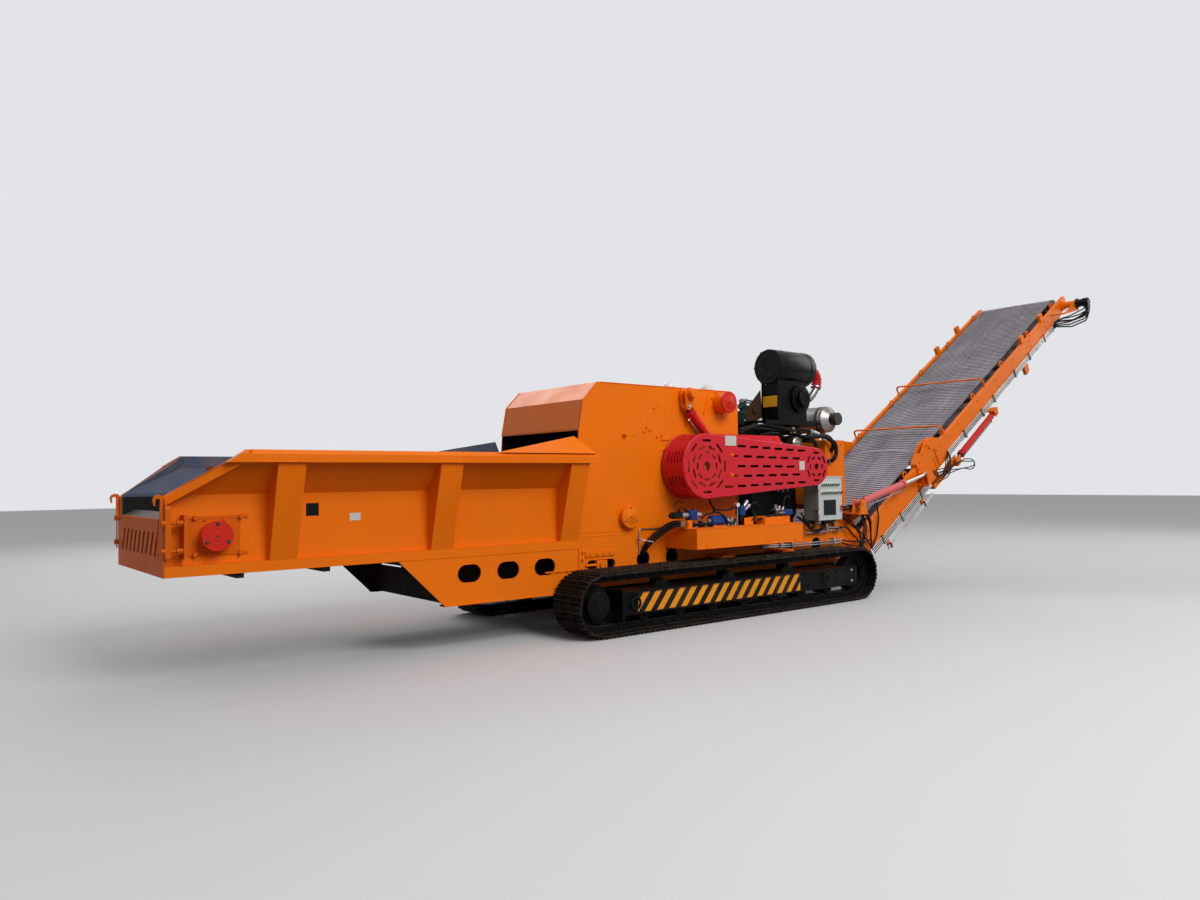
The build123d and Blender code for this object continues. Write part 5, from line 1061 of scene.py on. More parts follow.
def engine_detail():
    """Rocker covers, manifold, filters, alternator, brackets and lines on the engine's visible faces."""
    mesh = bmesh.new()
    for i in range(6):
        y = -0.294 + i * 0.14
        for x in (-0.38, 0.04):
            bolt(mesh, (x, y, 2.235), (0, 0, 1), 0.018, 1)
        block(mesh, (-0.36, y - 0.04, 2.233), (0.02, y + 0.04, 2.243), 0.006)
    # cast ribs and a bolted flange round the flywheel housing
    bolt_circle(mesh, (-0.1125, -0.56, 1.69), 0.308, 20, (0, -1, 0), 0.02, 1)
    bolt_circle(mesh, (-0.1125, -0.69, 1.69), 0.19, 10, (0, -1, 0), 0.018, 1)
    for z in (1.2, 1.4, 1.62, 1.84):
        block(mesh, (-0.548, -0.4, z), (-0.532, 0.54, z + 0.03), 0.004)
    # oil filters and a pump on the feed side
    for y in (-0.22, -0.06):
        rod(mesh, (-0.62, y, 1.55), (-0.62, y, 1.78), 0.052, 24)
        block(mesh, (-0.64, y - 0.05, 1.78), (-0.535, y + 0.05, 1.83), 0.01)
    rod(mesh, (-0.62, 0.16, 1.5), (-0.62, 0.44, 1.5), 0.085, 26)
    rod(mesh, (-0.62, 0.44, 1.5), (-0.62, 0.47, 1.5), 0.05, 20)
    # intake manifold along the top and its flanges
    rod(mesh, (0.09, -0.33, 2.13), (0.09, 0.45, 2.13), 0.062, 24)
    for i in range(6):
        rod(mesh, (0.09, -0.294 + i * 0.14, 2.13), (0.0, -0.294 + i * 0.14, 2.17), 0.036, 16)
    # turbocharger above the flywheel end
    lathe(mesh, (0.2, -0.3, 2.22), (1, 0, 0),
          [(0, 0.04), (0.02, 0.085), (0.075, 0.1), (0.11, 0.085), (0.13, 0.05)], 28)
    lathe(mesh, (0.34, -0.3, 2.22), (1, 0, 0), [(0, 0.05), (0.02, 0.09), (0.08, 0.1), (0.12, 0.06)], 28)
    piece("engine_castings", mesh, "root", "engine_dark", engine_dark, bright_zinc)
    mesh = bmesh.new()
    lathe(mesh, (0.12, -0.5, 2.0), (0, -1, 0),
          [(0, 0.07), (0.01, 0.085), (0.12, 0.085), (0.14, 0.06), (0.16, 0.03)], 26)
    for i in range(12):
        turn = 2 * pi * i / 12
        block(mesh, (0.12 + 0.06 * cos(turn) - 0.006, -0.665, 2.0 + 0.06 * sin(turn) - 0.006),
              (0.12 + 0.06 * cos(turn) + 0.006, -0.63, 2.0 + 0.06 * sin(turn) + 0.006), 0.002)
    piece("alternator", mesh, "root", "engine_dark", muffler_steel)
    bundle = [(-0.9375, 2.091), (-0.7755, 2.149), (-0.5425, 2.178), (-0.3325, 2.174), (-0.1185, 2.161),
              (0.0715, 2.147), (0.2505, 2.136)]
    runs = []
    for k, (dy,
            dz) in enumerate(((0.0, 0.0), (0.034, 0.012), (-0.014, 0.033), (0.05, -0.022), (0.018, 0.05))):
        runs.append([(x, -0.6 + dy + 0.012 * sin(2.3 * i + k), z + dz + 0.01 * sin(1.7 * i + 2.1 * k))
                     for i, (x, z) in enumerate(bundle)])
    runs += [[(-0.56, -0.42, 1.98), (-0.62, -0.56, 2.05), (-0.5, -0.64, 2.11), (-0.25, -0.62, 2.12)],
             [(-0.56, -0.3, 1.9), (-0.68, -0.42, 2.0), (-0.72, -0.5, 2.12), (-0.6, -0.5, 2.22),
              (-0.45, -0.45, 2.24)],
             [(0.36, -0.65, 2.165), (0.24, -0.66, 2.18), (0.1, -0.64, 2.17), (-0.02, -0.62, 2.15)]]
    hoses("engine_lines", "root", black_rubber, runs, 0.0155)
    hoses("tank_hose", "root", black_rubber,
          [[(0.51, -0.65, 2.125), (0.62, -0.68, 2.11), (0.7225, -0.7, 2.064), (0.8, -0.68, 1.97),
            (0.83, -0.62, 1.9)]], 0.026)
    mesh = bmesh.new()
    rod(mesh, (0.3555, -0.65, 2.165), (0.43, -0.65, 2.147), 0.026, 6, 1)
    rod(mesh, (0.42, -0.65, 2.15), (0.5235, -0.65, 2.121), 0.032, 20, 1)
    for x, z in ((0.0, 2.15), (0.07, 2.145), (0.05, 2.19)):
        lathe(mesh, (x - 0.02, -0.615, z), (1, 0, 0),
              [(0, 0.017), (0.012, 0.022), (0.03, 0.022), (0.042, 0.017)], 6)
    piece("line_fittings", mesh, "root", "pipe_steel", brass, bright_zinc)
    # thermostat housing and its pipes above the block, beside the stand
    mesh = bmesh.new()
    block(mesh, (-0.5, -0.26, 2.233), (-0.27, -0.02, 2.43), 0.02)
    rod(mesh, (-0.49, -0.2, 2.5), (-0.27, -0.2, 2.42), 0.05, 24)
    rod(mesh, (-0.44, -0.2, 2.42), (-0.44, -0.2, 2.56), 0.045, 20)
    rod(mesh, (-0.44, -0.2, 2.555), (-0.44, -0.2, 2.585), 0.054, 20, 1)
    rod(mesh, (-0.33, -0.22, 2.42), (-0.33, -0.22, 2.5), 0.03, 16, 1)
    for x, z in ((-0.47, 2.3), (-0.31, 2.3), (-0.47, 2.4), (-0.31, 2.4)):
        bolt(mesh, (x, -0.26, z), (0, -1, 0), 0.02, 1)
    for z in (2.575, 2.545):
        rod(mesh, (-0.5, -0.23, z), (-0.25, -0.23, z - 0.018), 0.012, 12, 1)
    rod(mesh, (-0.27, -0.24, 2.45), (-0.17, -0.24, 2.47), 0.016, 12, 1)
    piece("thermostat_housing", mesh, "root", "engine_dark", engine_teal, bright_zinc)


engine_detail()


def coolant_fittings():
    """Zinc unions and worm clips of the thick hoses."""
    mesh = bmesh.new()
    # star of small unions where the thick hoses leave, beside the stand's foot
    for x, z, size in ((0.37, 2.17, 0.024), (0.43, 2.15, 0.03), (0.49, 2.09, 0.024), (0.44, 2.09, 0.02),
                       (0.4, 2.12, 0.018), (0.47, 2.16, 0.018)):
        rod(mesh, (x, -0.56, z), (x, -0.61, z), size, 6)
        rod(mesh, (x, -0.61, z), (x, -0.625, z), size * 0.6, 12)
    for at, axis, radius in (((0.2025, -0.5, 2.083), (0, -1, 0), 0.031),
                             ((0.2785, -0.5, 2.04), (0, -1, 0), 0.031),
                             ((0.7625, -0.655, 1.768), (0, -1, 0), 0.031),
                             ((0.2745, -0.46, 1.636), (0, -1, 0), 0.031)):
        lathe(mesh, at, axis,
              [(0, radius - 0.004), (0.001, radius), (0.014, radius), (0.015, radius - 0.004)], 30)
        block(mesh, Vector(at) + Vector((-0.012, -0.008, radius)),
              Vector(at) + Vector((0.012, 0.008, radius + 0.014)), 0.003)
    piece("hose_clips", mesh, "root", "pipe_steel", bright_zinc)


coolant_fittings()


# Air cleaner: a spun black can with strap bands on a folded stand, with a bellows sleeve and an aluminised
# pipe down to the turbocharger. The muffler beside it is aluminised steel with welded seams and a black tip.

can_black = paint("can_black", linear(6, 7, 8), wear=0.0, dust=0.02, roughness=0.28, gloss=0.14)
stand_black = paint("stand_black", linear(7, 7, 8), wear=0.1, dust=0.03, roughness=0.4, gloss=0.08)


def plate(mesh, corners, thick, paint=0):
    """Flat cut sheet: its outline, and the vector through its thickness."""
    near = [mesh.verts.new(Vector(corner)) for corner in corners]
    far = [mesh.verts.new(Vector(corner) + Vector(thick)) for corner in corners]
    made = [mesh.faces.new(near), mesh.faces.new(far[::-1])]
    for i in range(len(near)):
        j = (i + 1) % len(near)
        made.append(mesh.faces.new((near[i], far[i], far[j], near[j])))
    for face in made:
        face.material_index = paint


def swept(mesh, points, radii, sides=28, steps=8):
    """Round tube through points; radii repeats along it, so two values make a bellows."""
    spots = [Vector(point) for point in points]
    path = []
    padded = [spots[0]] + spots + [spots[-1]]
    for before, start, end, after in zip(padded, padded[1:], padded[2:], padded[3:]):
        bend = 2 * before - 5 * start + 4 * end - after
        twist = 3 * start - before - 3 * end + after
        for k in range(steps):
            t = k / steps
            path.append(0.5 * (2 * start + (end - before) * t + bend * t * t + twist * t ** 3))
    path.append(spots[-1])
    rings = []
    side = (path[1] - path[0]).orthogonal().normalized()
    for i, middle in enumerate(path):
        ahead = (path[min(i + 1, len(path) - 1)] - path[max(i - 1, 0)]).normalized()
        side = (side - ahead * side.dot(ahead)).normalized()
        up = ahead.cross(side)
        radius = radii[i % len(radii)]
        rings.append([mesh.verts.new(middle + (side * cos(a) + up * sin(a)) * radius)
                      for a in (2 * pi * k / sides for k in range(sides))])
    mesh.faces.new(rings[0][::-1])
    mesh.faces.new(rings[-1])
    for low, high in zip(rings, rings[1:]):
        for i in range(sides):
            j = (i + 1) % sides
            mesh.faces.new((low[i], low[j], high[j], high[i]))


def air_cleaner():
    y, z, radius = -0.4, 3.0, 0.231
    mesh = bmesh.new()
    lathe(mesh, (-0.1825, y, z), (1, 0, 0),
          [(0.016, 0.03), (0.016, 0.06), (0.008, 0.068), (0.008, 0.105), (0.0, 0.112), (0.0, 0.155),
           (0.006, 0.162), (0.006, 0.196), (0.0, 0.203), (0.0, 0.215), (0.008, 0.227), (0.02, radius),
           (0.72, radius), (0.738, 0.222), (0.7475, 0.2), (0.7475, 0.08)], 72)
    for x in (0.02, 0.44):
        lathe(mesh, (x, y, z), (1, 0, 0),
              [(0, radius), (0.001, radius + 0.002), (0.029, radius + 0.002), (0.03, radius)], 72)
        at = Vector((x + 0.015, y + (radius + 0.005) * cos(5.5), z + (radius + 0.005) * sin(5.5)))
        rod(mesh, at - Vector((0.02, 0, 0)), at + Vector((0.02, 0, 0)), 0.008, 12)
    for i in range(6):
        turn = 2 * pi * i / 6
        at = Vector((-0.172, y + 0.226 * cos(turn), z + 0.226 * sin(turn)))
        block(mesh, at - Vector((0.006, 0.011, 0.011)), at + Vector((0.034, 0.011, 0.011)), 0.003)
    lathe(mesh, (0.565, y, z), (1, 0, 0), [(0, 0.082), (0.05, 0.082), (0.054, 0.07)], 40)
    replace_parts(piece("air_cleaner_can", mesh, "root", "black_plastic", can_black, smooth=32.0),
                "air_cleaner")


air_cleaner()


def cleaner_stand():
    """Folded plates under the can, its round side cover, the slanted bracket and the yellow plate."""
    mesh = bmesh.new()
    reach = [-0.28 - 0.27 * i / 12 for i in range(13)]
    saddle = [(y, 3.0 - sqrt(0.231 ** 2 - (y + 0.4) ** 2) - 0.001) for y in reach]
    for x in (-0.1635, 0.4065):
        plate(mesh, [(x, -0.55, 2.29), (x, -0.28, 2.29)] + [(x, y, z) for y, z in saddle], (0.006, 0, 0))
    block(mesh, (-0.1635, -0.556, 2.29), (0.4125, -0.549, 2.822), 0.002)
    block(mesh, (-0.1635, -0.281, 2.29), (0.4125, -0.275, 2.77), 0.002)
    block(mesh, (-0.48, -0.62, 2.279), (0.52, -0.18, 2.289), 0.002)
    block(mesh, (-0.48, -0.626, 2.235), (0.52, -0.619, 2.289), 0.002)
    for x in (-0.42, 0.0, 0.44):
        for y in (-0.36, -0.21):
            block(mesh, (x - 0.03, y - 0.03, 2.2), (x + 0.03, y + 0.03, 2.28), 0.004)
    for x in (-0.44, -0.28, 0.2, 0.46):
        bolt(mesh, (x, -0.59, 2.289), (0, 0, 1), 0.02)
    lathe(mesh, (0.2645, -0.552, 2.59), (0, -1, 0),
          [(0, 0.176), (0.02, 0.182), (0.036, 0.182), (0.042, 0.17), (0.042, 0.122), (0.05, 0.114),
           (0.096, 0.11), (0.104, 0.1), (0.104, 0.05), (0.098, 0.045), (0.098, 0.02)], 56)
    bolt_circle(mesh, (0.2645, -0.594, 2.59), 0.148, 10, (0, -1, 0), 0.014)
    for z in (2.36, 2.74):
        for x in (-0.12, 0.0):
            bolt(mesh, (x, -0.556, z), (0, -1, 0), 0.016)
    plate(mesh,
          [(-0.1765, -0.274, 2.711), (-0.5115, -0.274, 2.39), (-0.4025, -0.274, 2.251),
           (-0.1435, -0.274, 2.346)], (0, 0.006, 0), 1)
    rod(mesh, (-0.3, -0.274, 2.44), (-0.3, -0.3, 2.44), 0.045, 24, 1)
    brown = paint("bracket_brown", linear(58, 38, 28), wear=0.3, dust=0.15, roughness=0.5)
    made = piece("cleaner_stand", mesh, "root", "black_plastic", stand_black, brown, smooth=32.0)
    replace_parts(made, "air_cleaner_stand")
    mesh = bmesh.new()
    block(mesh, (-0.1665, -0.54, 2.477), (-0.1635, -0.305, 2.618), 0.001)
    piece("stand_plate", mesh, "root", "cabinet_grey",
          paint("plate_yellow", linear(206, 156, 28), wear=0.1, dust=0.1, roughness=0.4))


cleaner_stand()


def intake_line():
    """Red bellows sleeve from the can, its clamps, and the pipe that leads down to the turbocharger."""
    mesh = bmesh.new()
    swept(mesh, [(0.6, -0.4, 3.0), (0.7, -0.4, 2.998), (0.79, -0.4, 2.975), (0.838, -0.4, 2.9),
                 (0.83, -0.4, 2.83), (0.812, -0.4, 2.77)], (0.068, 0.068, 0.06, 0.06), 40, 8)
    made = piece("intake_sleeve", mesh, "root", "silicone_red", silicone_red, smooth=50.0)
    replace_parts(made, "intake_elbow")
    mesh = bmesh.new()
    swept(mesh,
          [(0.83, -0.4, 2.81), (0.8, -0.39, 2.74), (0.74, -0.36, 2.65), (0.66, -0.28, 2.58),
           (0.56, -0.18, 2.54), (0.46, -0.1, 2.46), (0.4, -0.08, 2.34), (0.4, -0.08, 2.2)], (0.052,), 36)
    for at, axis, radius in (((0.63, -0.4, 3.0), (1, 0, -0.02), 0.071),
                             ((0.823, -0.4, 2.8), (-0.28, 0, -1), 0.07)):
        lathe(mesh, at, axis,
              [(0, radius - 0.003), (0.001, radius), (0.017, radius), (0.018, radius - 0.003)], 36, 1)
        block(mesh, Vector(at) + Vector((-0.012, -radius - 0.016, -0.01)),
              Vector(at) + Vector((0.014, -radius + 0.002, 0.01)), 0.003, 1)
    piece("intake_pipe", mesh, "root", "muffler_steel", muffler_steel, bright_zinc)


intake_line()


def muffler_detail():
    mesh = bmesh.new()
    x, z = 0.9525, 2.345
    for y in (-0.47, -0.2, 0.05, 0.21):
        lathe(mesh, (x, y, z), (0, 1, 0), [(0, 0.1775), (0.004, 0.1805), (0.018, 0.1805), (0.022, 0.1775)],
              56)
    for y in (-0.405, 0.175):
        lathe(mesh, (x, y - 0.016, z), (0, 1, 0),
              [(0, 0.178), (0.001, 0.1815), (0.031, 0.1815), (0.032, 0.178)], 56, 1)
        for side in (-1, 1):
            bolt(mesh, (x + side * 0.03, y, z - 0.182), (0, 0, -1), 0.018, 1)
    lathe(mesh, (x, 0.24, z), (0, 1, 0),
          [(0, 0.165), (0.006, 0.15), (0.008, 0.06), (0.03, 0.06), (0.032, 0.05)], 44)
    piece("muffler_bands", mesh, "root", "muffler_steel", muffler_steel, dark_bolt)
    mesh = bmesh.new()
    lathe(mesh, (x, -0.565, z), (0, -1, 0), [(0, 0.083), (0.002, 0.086), (0.095, 0.086), (0.1, 0.083)], 40)
    piece("muffler_tip", mesh, "root", "engine_dark",
          clad_steel("tip_black", linear(26, 25, 25), linear(70, 48, 36), 0.5, 0.2, 0.5, 90.0))
    mesh = bmesh.new()
    rod(mesh, (0.42, -0.1, 2.22), (0.62, -0.1, 2.26), 0.055, 24)
    rod(mesh, (0.62, -0.1, 2.26), (0.8, -0.1, 2.33), 0.055, 24)
    piece("exhaust_pipe", mesh, "root", "muffler_steel", muffler_steel)


muffler_detail()


# Tanks: welded orange boxes. The oil tank behind the engine has a sight glass, filler caps and a breather,
# the fuel tank on the far side a locked cap, straps and steps.

def tank_detail():
    mesh = bmesh.new()
    for y in (-0.38, 0.38):
        lathe(mesh, (0.8225, y, 2.088), (0, 0, 1),
              [(0, 0.058), (0.004, 0.062), (0.03, 0.062), (0.036, 0.05)], 30)
        for i in range(6):
            turn = 2 * pi * i / 6
            bolt(mesh, (0.8225 + 0.05 * cos(turn), y + 0.05 * sin(turn), 2.122), (0, 0, 1), 0.01)
    lathe(mesh, (1.02, 0.0, 2.054), (0, 0, 1),
          [(0, 0.03), (0.03, 0.03), (0.032, 0.05), (0.08, 0.05), (0.09, 0.03)], 26)
    piece("tank_caps", mesh, "root", "engine_dark", black_plastic)
    mesh = bmesh.new()
    for y in (-0.6, -0.2, 0.2, 0.6):
        rod(mesh, (1.1215, y, 1.2), (1.1215, y, 2.04), 0.004, 6)
    for z in (1.2, 2.04):
        rod(mesh, (1.1215, -0.6, z), (1.1215, 0.6, z), 0.004, 6)
    for x in (0.74, 0.9, 1.06):
        bolt(mesh, (x, -0.62, 2.0), (0, -1, 0), 0.02)
        bolt(mesh, (x, -0.62, 1.24), (0, -1, 0), 0.02)
    rod(mesh, (0.75, -0.624, 1.25), (0.75, -0.624, 1.98), 0.004, 6)
    piece("tank_seams", mesh, "root", "machine_orange", machine_orange)
    mesh = bmesh.new()
    block(mesh, (1.1215, -0.53, 1.5), (1.128, -0.49, 1.82), 0.002)
    for z in (1.5, 1.82):
        bolt(mesh, (1.128, -0.51, z), (1, 0, 0), 0.022, 1)
    piece("sight_glass", mesh, "root", "cabinet_grey",
          paint("sight_glass", linear(120, 150, 160), wear=0.1, dust=0.2, roughness=0.15), bright_zinc)
    mesh = bmesh.new()
    lathe(mesh, (-0.8775, 1.08, 1.288), (0, 0, 1), [(0, 0.06), (0.006, 0.065), (0.03, 0.065), (0.036, 0.05)],
          30)
    block(mesh, (-0.885, 1.05, 1.322), (-0.87, 1.11, 1.34), 0.004)
    piece("fuel_cap", mesh, "root", "black_plastic", black_plastic)
    mesh = bmesh.new()
    for x in (-2.1, -1.46, -0.82):
        block(mesh, (x - 0.03, 1.2575, 0.796), (x + 0.03, 1.2615, 1.25), 0.002)
        block(mesh, (x - 0.03, 0.76, 1.2725 - 0.0225), (x + 0.03, 1.26, 1.2765 - 0.0225), 0.002)
        bolt(mesh, (x, 1.2615, 1.18), (0, 1, 0), 0.02, 1)
    piece("fuel_tank_straps", mesh, "root", "frame_slate", frame_slate, bright_zinc)


tank_detail()


# Valve tray: an orange box beside the housing that carries the hydraulic valves. Blue cast blocks, a blue
# pump, chrome cartridges, black solenoids and silver fittings stand on it, with black hoses between them.

valve_blue = paint("valve_blue", linear(22, 56, 118), wear=0.25, dust=0.12, roughness=0.4,
                   bare=linear(110, 116, 126))


def valve_station():
    """Valves, pump, gauge and fittings in place of the plain blocks of the CAD."""
    mesh = bmesh.new()
    paints = (valve_blue, black_plastic, bright_zinc, machine_orange, brass, silicone_red)
    blue, black, zinc, orange, gold, red = range(6)
    y = -1.04
    # proportional valve: solenoid, sleeve, block, end cap
    block(mesh, (-2.529, y - 0.035, 1.128), (-2.389, y + 0.035, 1.198), 0.008, black)
    rod(mesh, (-2.56, y, 1.162), (-2.525, y, 1.162), 0.024, 18, black)
    rod(mesh, (-2.389, y, 1.161), (-2.288, y, 1.161), 0.031, 24, zinc)
    block(mesh, (-2.288, y - 0.05, 1.105), (-2.181, y + 0.05, 1.212), 0.008, blue)
    rod(mesh, (-2.181, y, 1.161), (-2.1, y, 1.161), 0.03, 24, zinc)
    rod(mesh, (-2.1, y, 1.161), (-2.085, y, 1.161), 0.02, 6, zinc)
    for x in (-2.421, -2.313, -2.211):
        rod(mesh, (x, y, 1.195), (x, y, 1.228), 0.016, 14, black)
    block(mesh, (-2.323, y - 0.045, 1.016), (-2.262, y + 0.045, 1.106), 0.004, orange)
    block(mesh, (-2.36, y - 0.06, 1.016), (-2.22, y + 0.06, 1.024), 0.002, orange)
    # hose tails and fittings between the valve and the pump
    for i, x in enumerate((-2.235, -2.165, -2.09, -2.015, -1.945)):
        tall = (0.07, 0.05, 0.075, 0.05, 0.065)[i]
        rod(mesh, (x, y + 0.01, 1.018), (x, y + 0.01, 1.018 + tall), 0.024, 6, zinc if i % 2 else black)
        rod(mesh, (x, y + 0.01, 1.018 + tall), (x, y + 0.01, 1.03 + tall), 0.019, 14, zinc)
    rod(mesh, (-2.25, y - 0.02, 1.052), (-1.95, y - 0.02, 1.052), 0.018, 14, black)
    # six-sided pump with its drain and flange
    lathe(mesh, (-1.952, y, 1.082), (1, 0, 0), [(0, 0.045), (0.012, 0.065), (0.235, 0.065), (0.25, 0.05)], 6,
          blue, 0.5)
    lathe(mesh, (-1.955, y, 1.082), (-1, 0, 0), [(0, 0.03), (0.03, 0.03), (0.034, 0.02)], 20, zinc)
    lathe(mesh, (-1.702, y, 1.082), (1, 0, 0), [(0, 0.034), (0.034, 0.034), (0.04, 0.026)], 20, zinc)
    block(mesh, (-1.93, y - 0.05, 1.016), (-1.72, y + 0.05, 1.03), 0.003, orange)
    for x in (-1.9, -1.75):
        bolt(mesh, (x, y - 0.035, 1.03), (0, 0, 1), 0.018, zinc)
    for x, tall in ((-1.655, 0.065), (-1.6, 0.09), (-1.545, 0.06)):
        rod(mesh, (x, y, 1.018), (x, y, 1.018 + tall), 0.022, 6, zinc)
        rod(mesh, (x, y, 1.018 + tall), (x, y, 1.03 + tall), 0.016, 12, gold)
    rod(mesh, (-1.666, y, 1.075), (-1.527, y, 1.075), 0.014, 12, zinc)
    # pressure gauge on its post
    rod(mesh, (-1.496, y, 1.018), (-1.496, y, 1.226), 0.008, 10, zinc)
    lathe(mesh, (-1.496, y + 0.012, 1.249), (0, -1, 0),
          [(0, 0.024), (0.006, 0.029), (0.026, 0.029), (0.03, 0.025)], 28, zinc)
    # directional valve on a block
    block(mesh, (-1.487, y - 0.045, 1.128), (-1.4, y + 0.045, 1.24), 0.007, blue)
    block(mesh, (-1.475, y - 0.035, 1.018), (-1.412, y + 0.035, 1.13), 0.005, black)
    rod(mesh, (-1.4, y, 1.215), (-1.335, y, 1.29), 0.019, 16, zinc)
    rod(mesh, (-1.4, y, 1.175), (-1.298, y, 1.237), 0.019, 16, zinc)
    rod(mesh, (-1.352, y, 1.27), (-1.33, y, 1.296), 0.025, 6, zinc)
    rod(mesh, (-1.318, y, 1.225), (-1.292, y, 1.241), 0.025, 6, zinc)
    block(mesh, (-1.443, y - 0.06, 1.016), (-1.292, y - 0.05, 1.101), 0.003, orange)
    block(mesh, (-1.443, y - 0.06, 1.016), (-1.292, y + 0.04, 1.024), 0.002, orange)
    for x, z in ((-1.27, 1.05), (-1.22, 1.04), (-1.16, 1.06)):
        block(mesh, (x - 0.018, y - 0.02, 1.018), (x + 0.018, y + 0.02, z + 0.02), 0.004,
              red if x > -1.2 else black)
    # manifold beside the raised box
    block(mesh, (-0.886, y - 0.045, 1.101), (-0.727, y + 0.045, 1.17), 0.006, black)
    for x, tall, kind in ((-0.87, 1.2, blue), (-0.83, 1.235, zinc), (-0.795, 1.205, gold),
                          (-0.76, 1.225, zinc)):
        rod(mesh, (x, y, 1.165), (x, y, tall), 0.017, 6, kind)
        rod(mesh, (x + 0.01, y - 0.03, 1.15), (x + 0.04, y - 0.03, tall - 0.02), 0.011, 10,
            red if kind == gold else zinc)
        rod(mesh, (x, y - 0.045, 1.14), (x, y - 0.075, 1.14), 0.014, 6, zinc)
    block(mesh, (-0.716, y - 0.05, 1.105), (-0.571, y + 0.05, 1.175), 0.007, blue)
    rod(mesh, (-0.571, y, 1.14), (-0.53, y, 1.14), 0.024, 20, black)
    rod(mesh, (-0.68, y, 1.175), (-0.68, y, 1.215), 0.02, 16, black)
    block(mesh, (-0.75, y - 0.03, 1.018), (-0.6, y + 0.03, 1.106), 0.004, orange)
    made = piece("valve_station", mesh, "root", "valve_blue", *paints)
    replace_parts(made, "valve_bank")
    hoses("valve_hoses", "root", black_rubber, [
        [(-1.841, -0.93, 1.321), (-1.85, -0.98, 1.25), (-1.853, -1.04, 1.197), (-1.93, -1.05, 1.17),
         (-2.022, -1.04, 1.153), (-2.08, -1.03, 1.1)],
        [(-1.853, -1.0, 1.21), (-1.76, -1.04, 1.2), (-1.663, -1.04, 1.197), (-1.6, -1.05, 1.215),
         (-1.543, -1.04, 1.225)],
        [(-1.853, -1.0, 1.19), (-1.8, -1.09, 1.15), (-1.72, -1.11, 1.06), (-1.62, -1.1, 1.05),
         (-1.55, -1.06, 1.09)],
        [(-2.45, -0.95, 1.03), (-2.3, -0.96, 1.06), (-2.1, -0.94, 1.04), (-1.9, -0.96, 1.06),
         (-1.7, -0.94, 1.04), (-1.5, -0.96, 1.06), (-1.3, -0.94, 1.04)],
        [(-1.4, -1.05, 1.05), (-1.3, -1.1, 1.08), (-1.24, -1.09, 1.12), (-1.17, -1.0, 1.14),
         (-1.14, -0.93, 1.2)],
        [(-1.29, -1.04, 1.24), (-1.2, -1.05, 1.27), (-1.1, -1.0, 1.24), (-1.02, -0.98, 1.16)],
        [(-0.86, -1.12, 1.14), (-0.92, -1.15, 1.12), (-1.02, -1.16, 1.12), (-1.12, -1.15, 1.1),
         (-1.24, -1.12, 1.07)],
        [(-0.53, -1.04, 1.14), (-0.47, -1.03, 1.12), (-0.42, -0.96, 1.06), (-0.38, -0.86, 1.02),
         (-0.3, -0.76, 1.0)],
        [(-0.68, -1.04, 1.21), (-0.66, -1.03, 1.28), (-0.56, -0.99, 1.33), (-0.44, -0.93, 1.3),
         (-0.4, -0.85, 1.2), (-0.36, -0.76, 1.05)],
    ], 0.011)
    hoses("valve_wires", "root", black_rubber,
          [[(-2.46, -1.04, 1.2), (-2.44, -1.0, 1.26), (-2.36, -0.92, 1.29), (-2.2, -0.84, 1.3),
            (-2.1, -0.78, 1.28)], [(-2.421, -1.04, 1.225), (-2.38, -1.02, 1.25), (-2.313, -1.04, 1.225)],
           [(-1.44, -1.04, 1.24), (-1.42, -0.98, 1.3), (-1.36, -0.9, 1.33), (-1.2, -0.82, 1.33)]], 0.005, 2)
    mesh = bmesh.new()
    lathe(mesh, (-1.496, -1.018, 1.249), (0, -1, 0), [(0, 0.024), (0.0005, 0.024)], 28)
    lathe(mesh, (-1.496, -1.0575, 1.249), (0, -1, 0), [(0, 0.023), (0.0006, 0.023)], 28)
    piece("gauge_face", mesh, "root", "cabinet_grey",
          paint("gauge_face", linear(228, 228, 222), wear=0, dust=0.15))


valve_station()


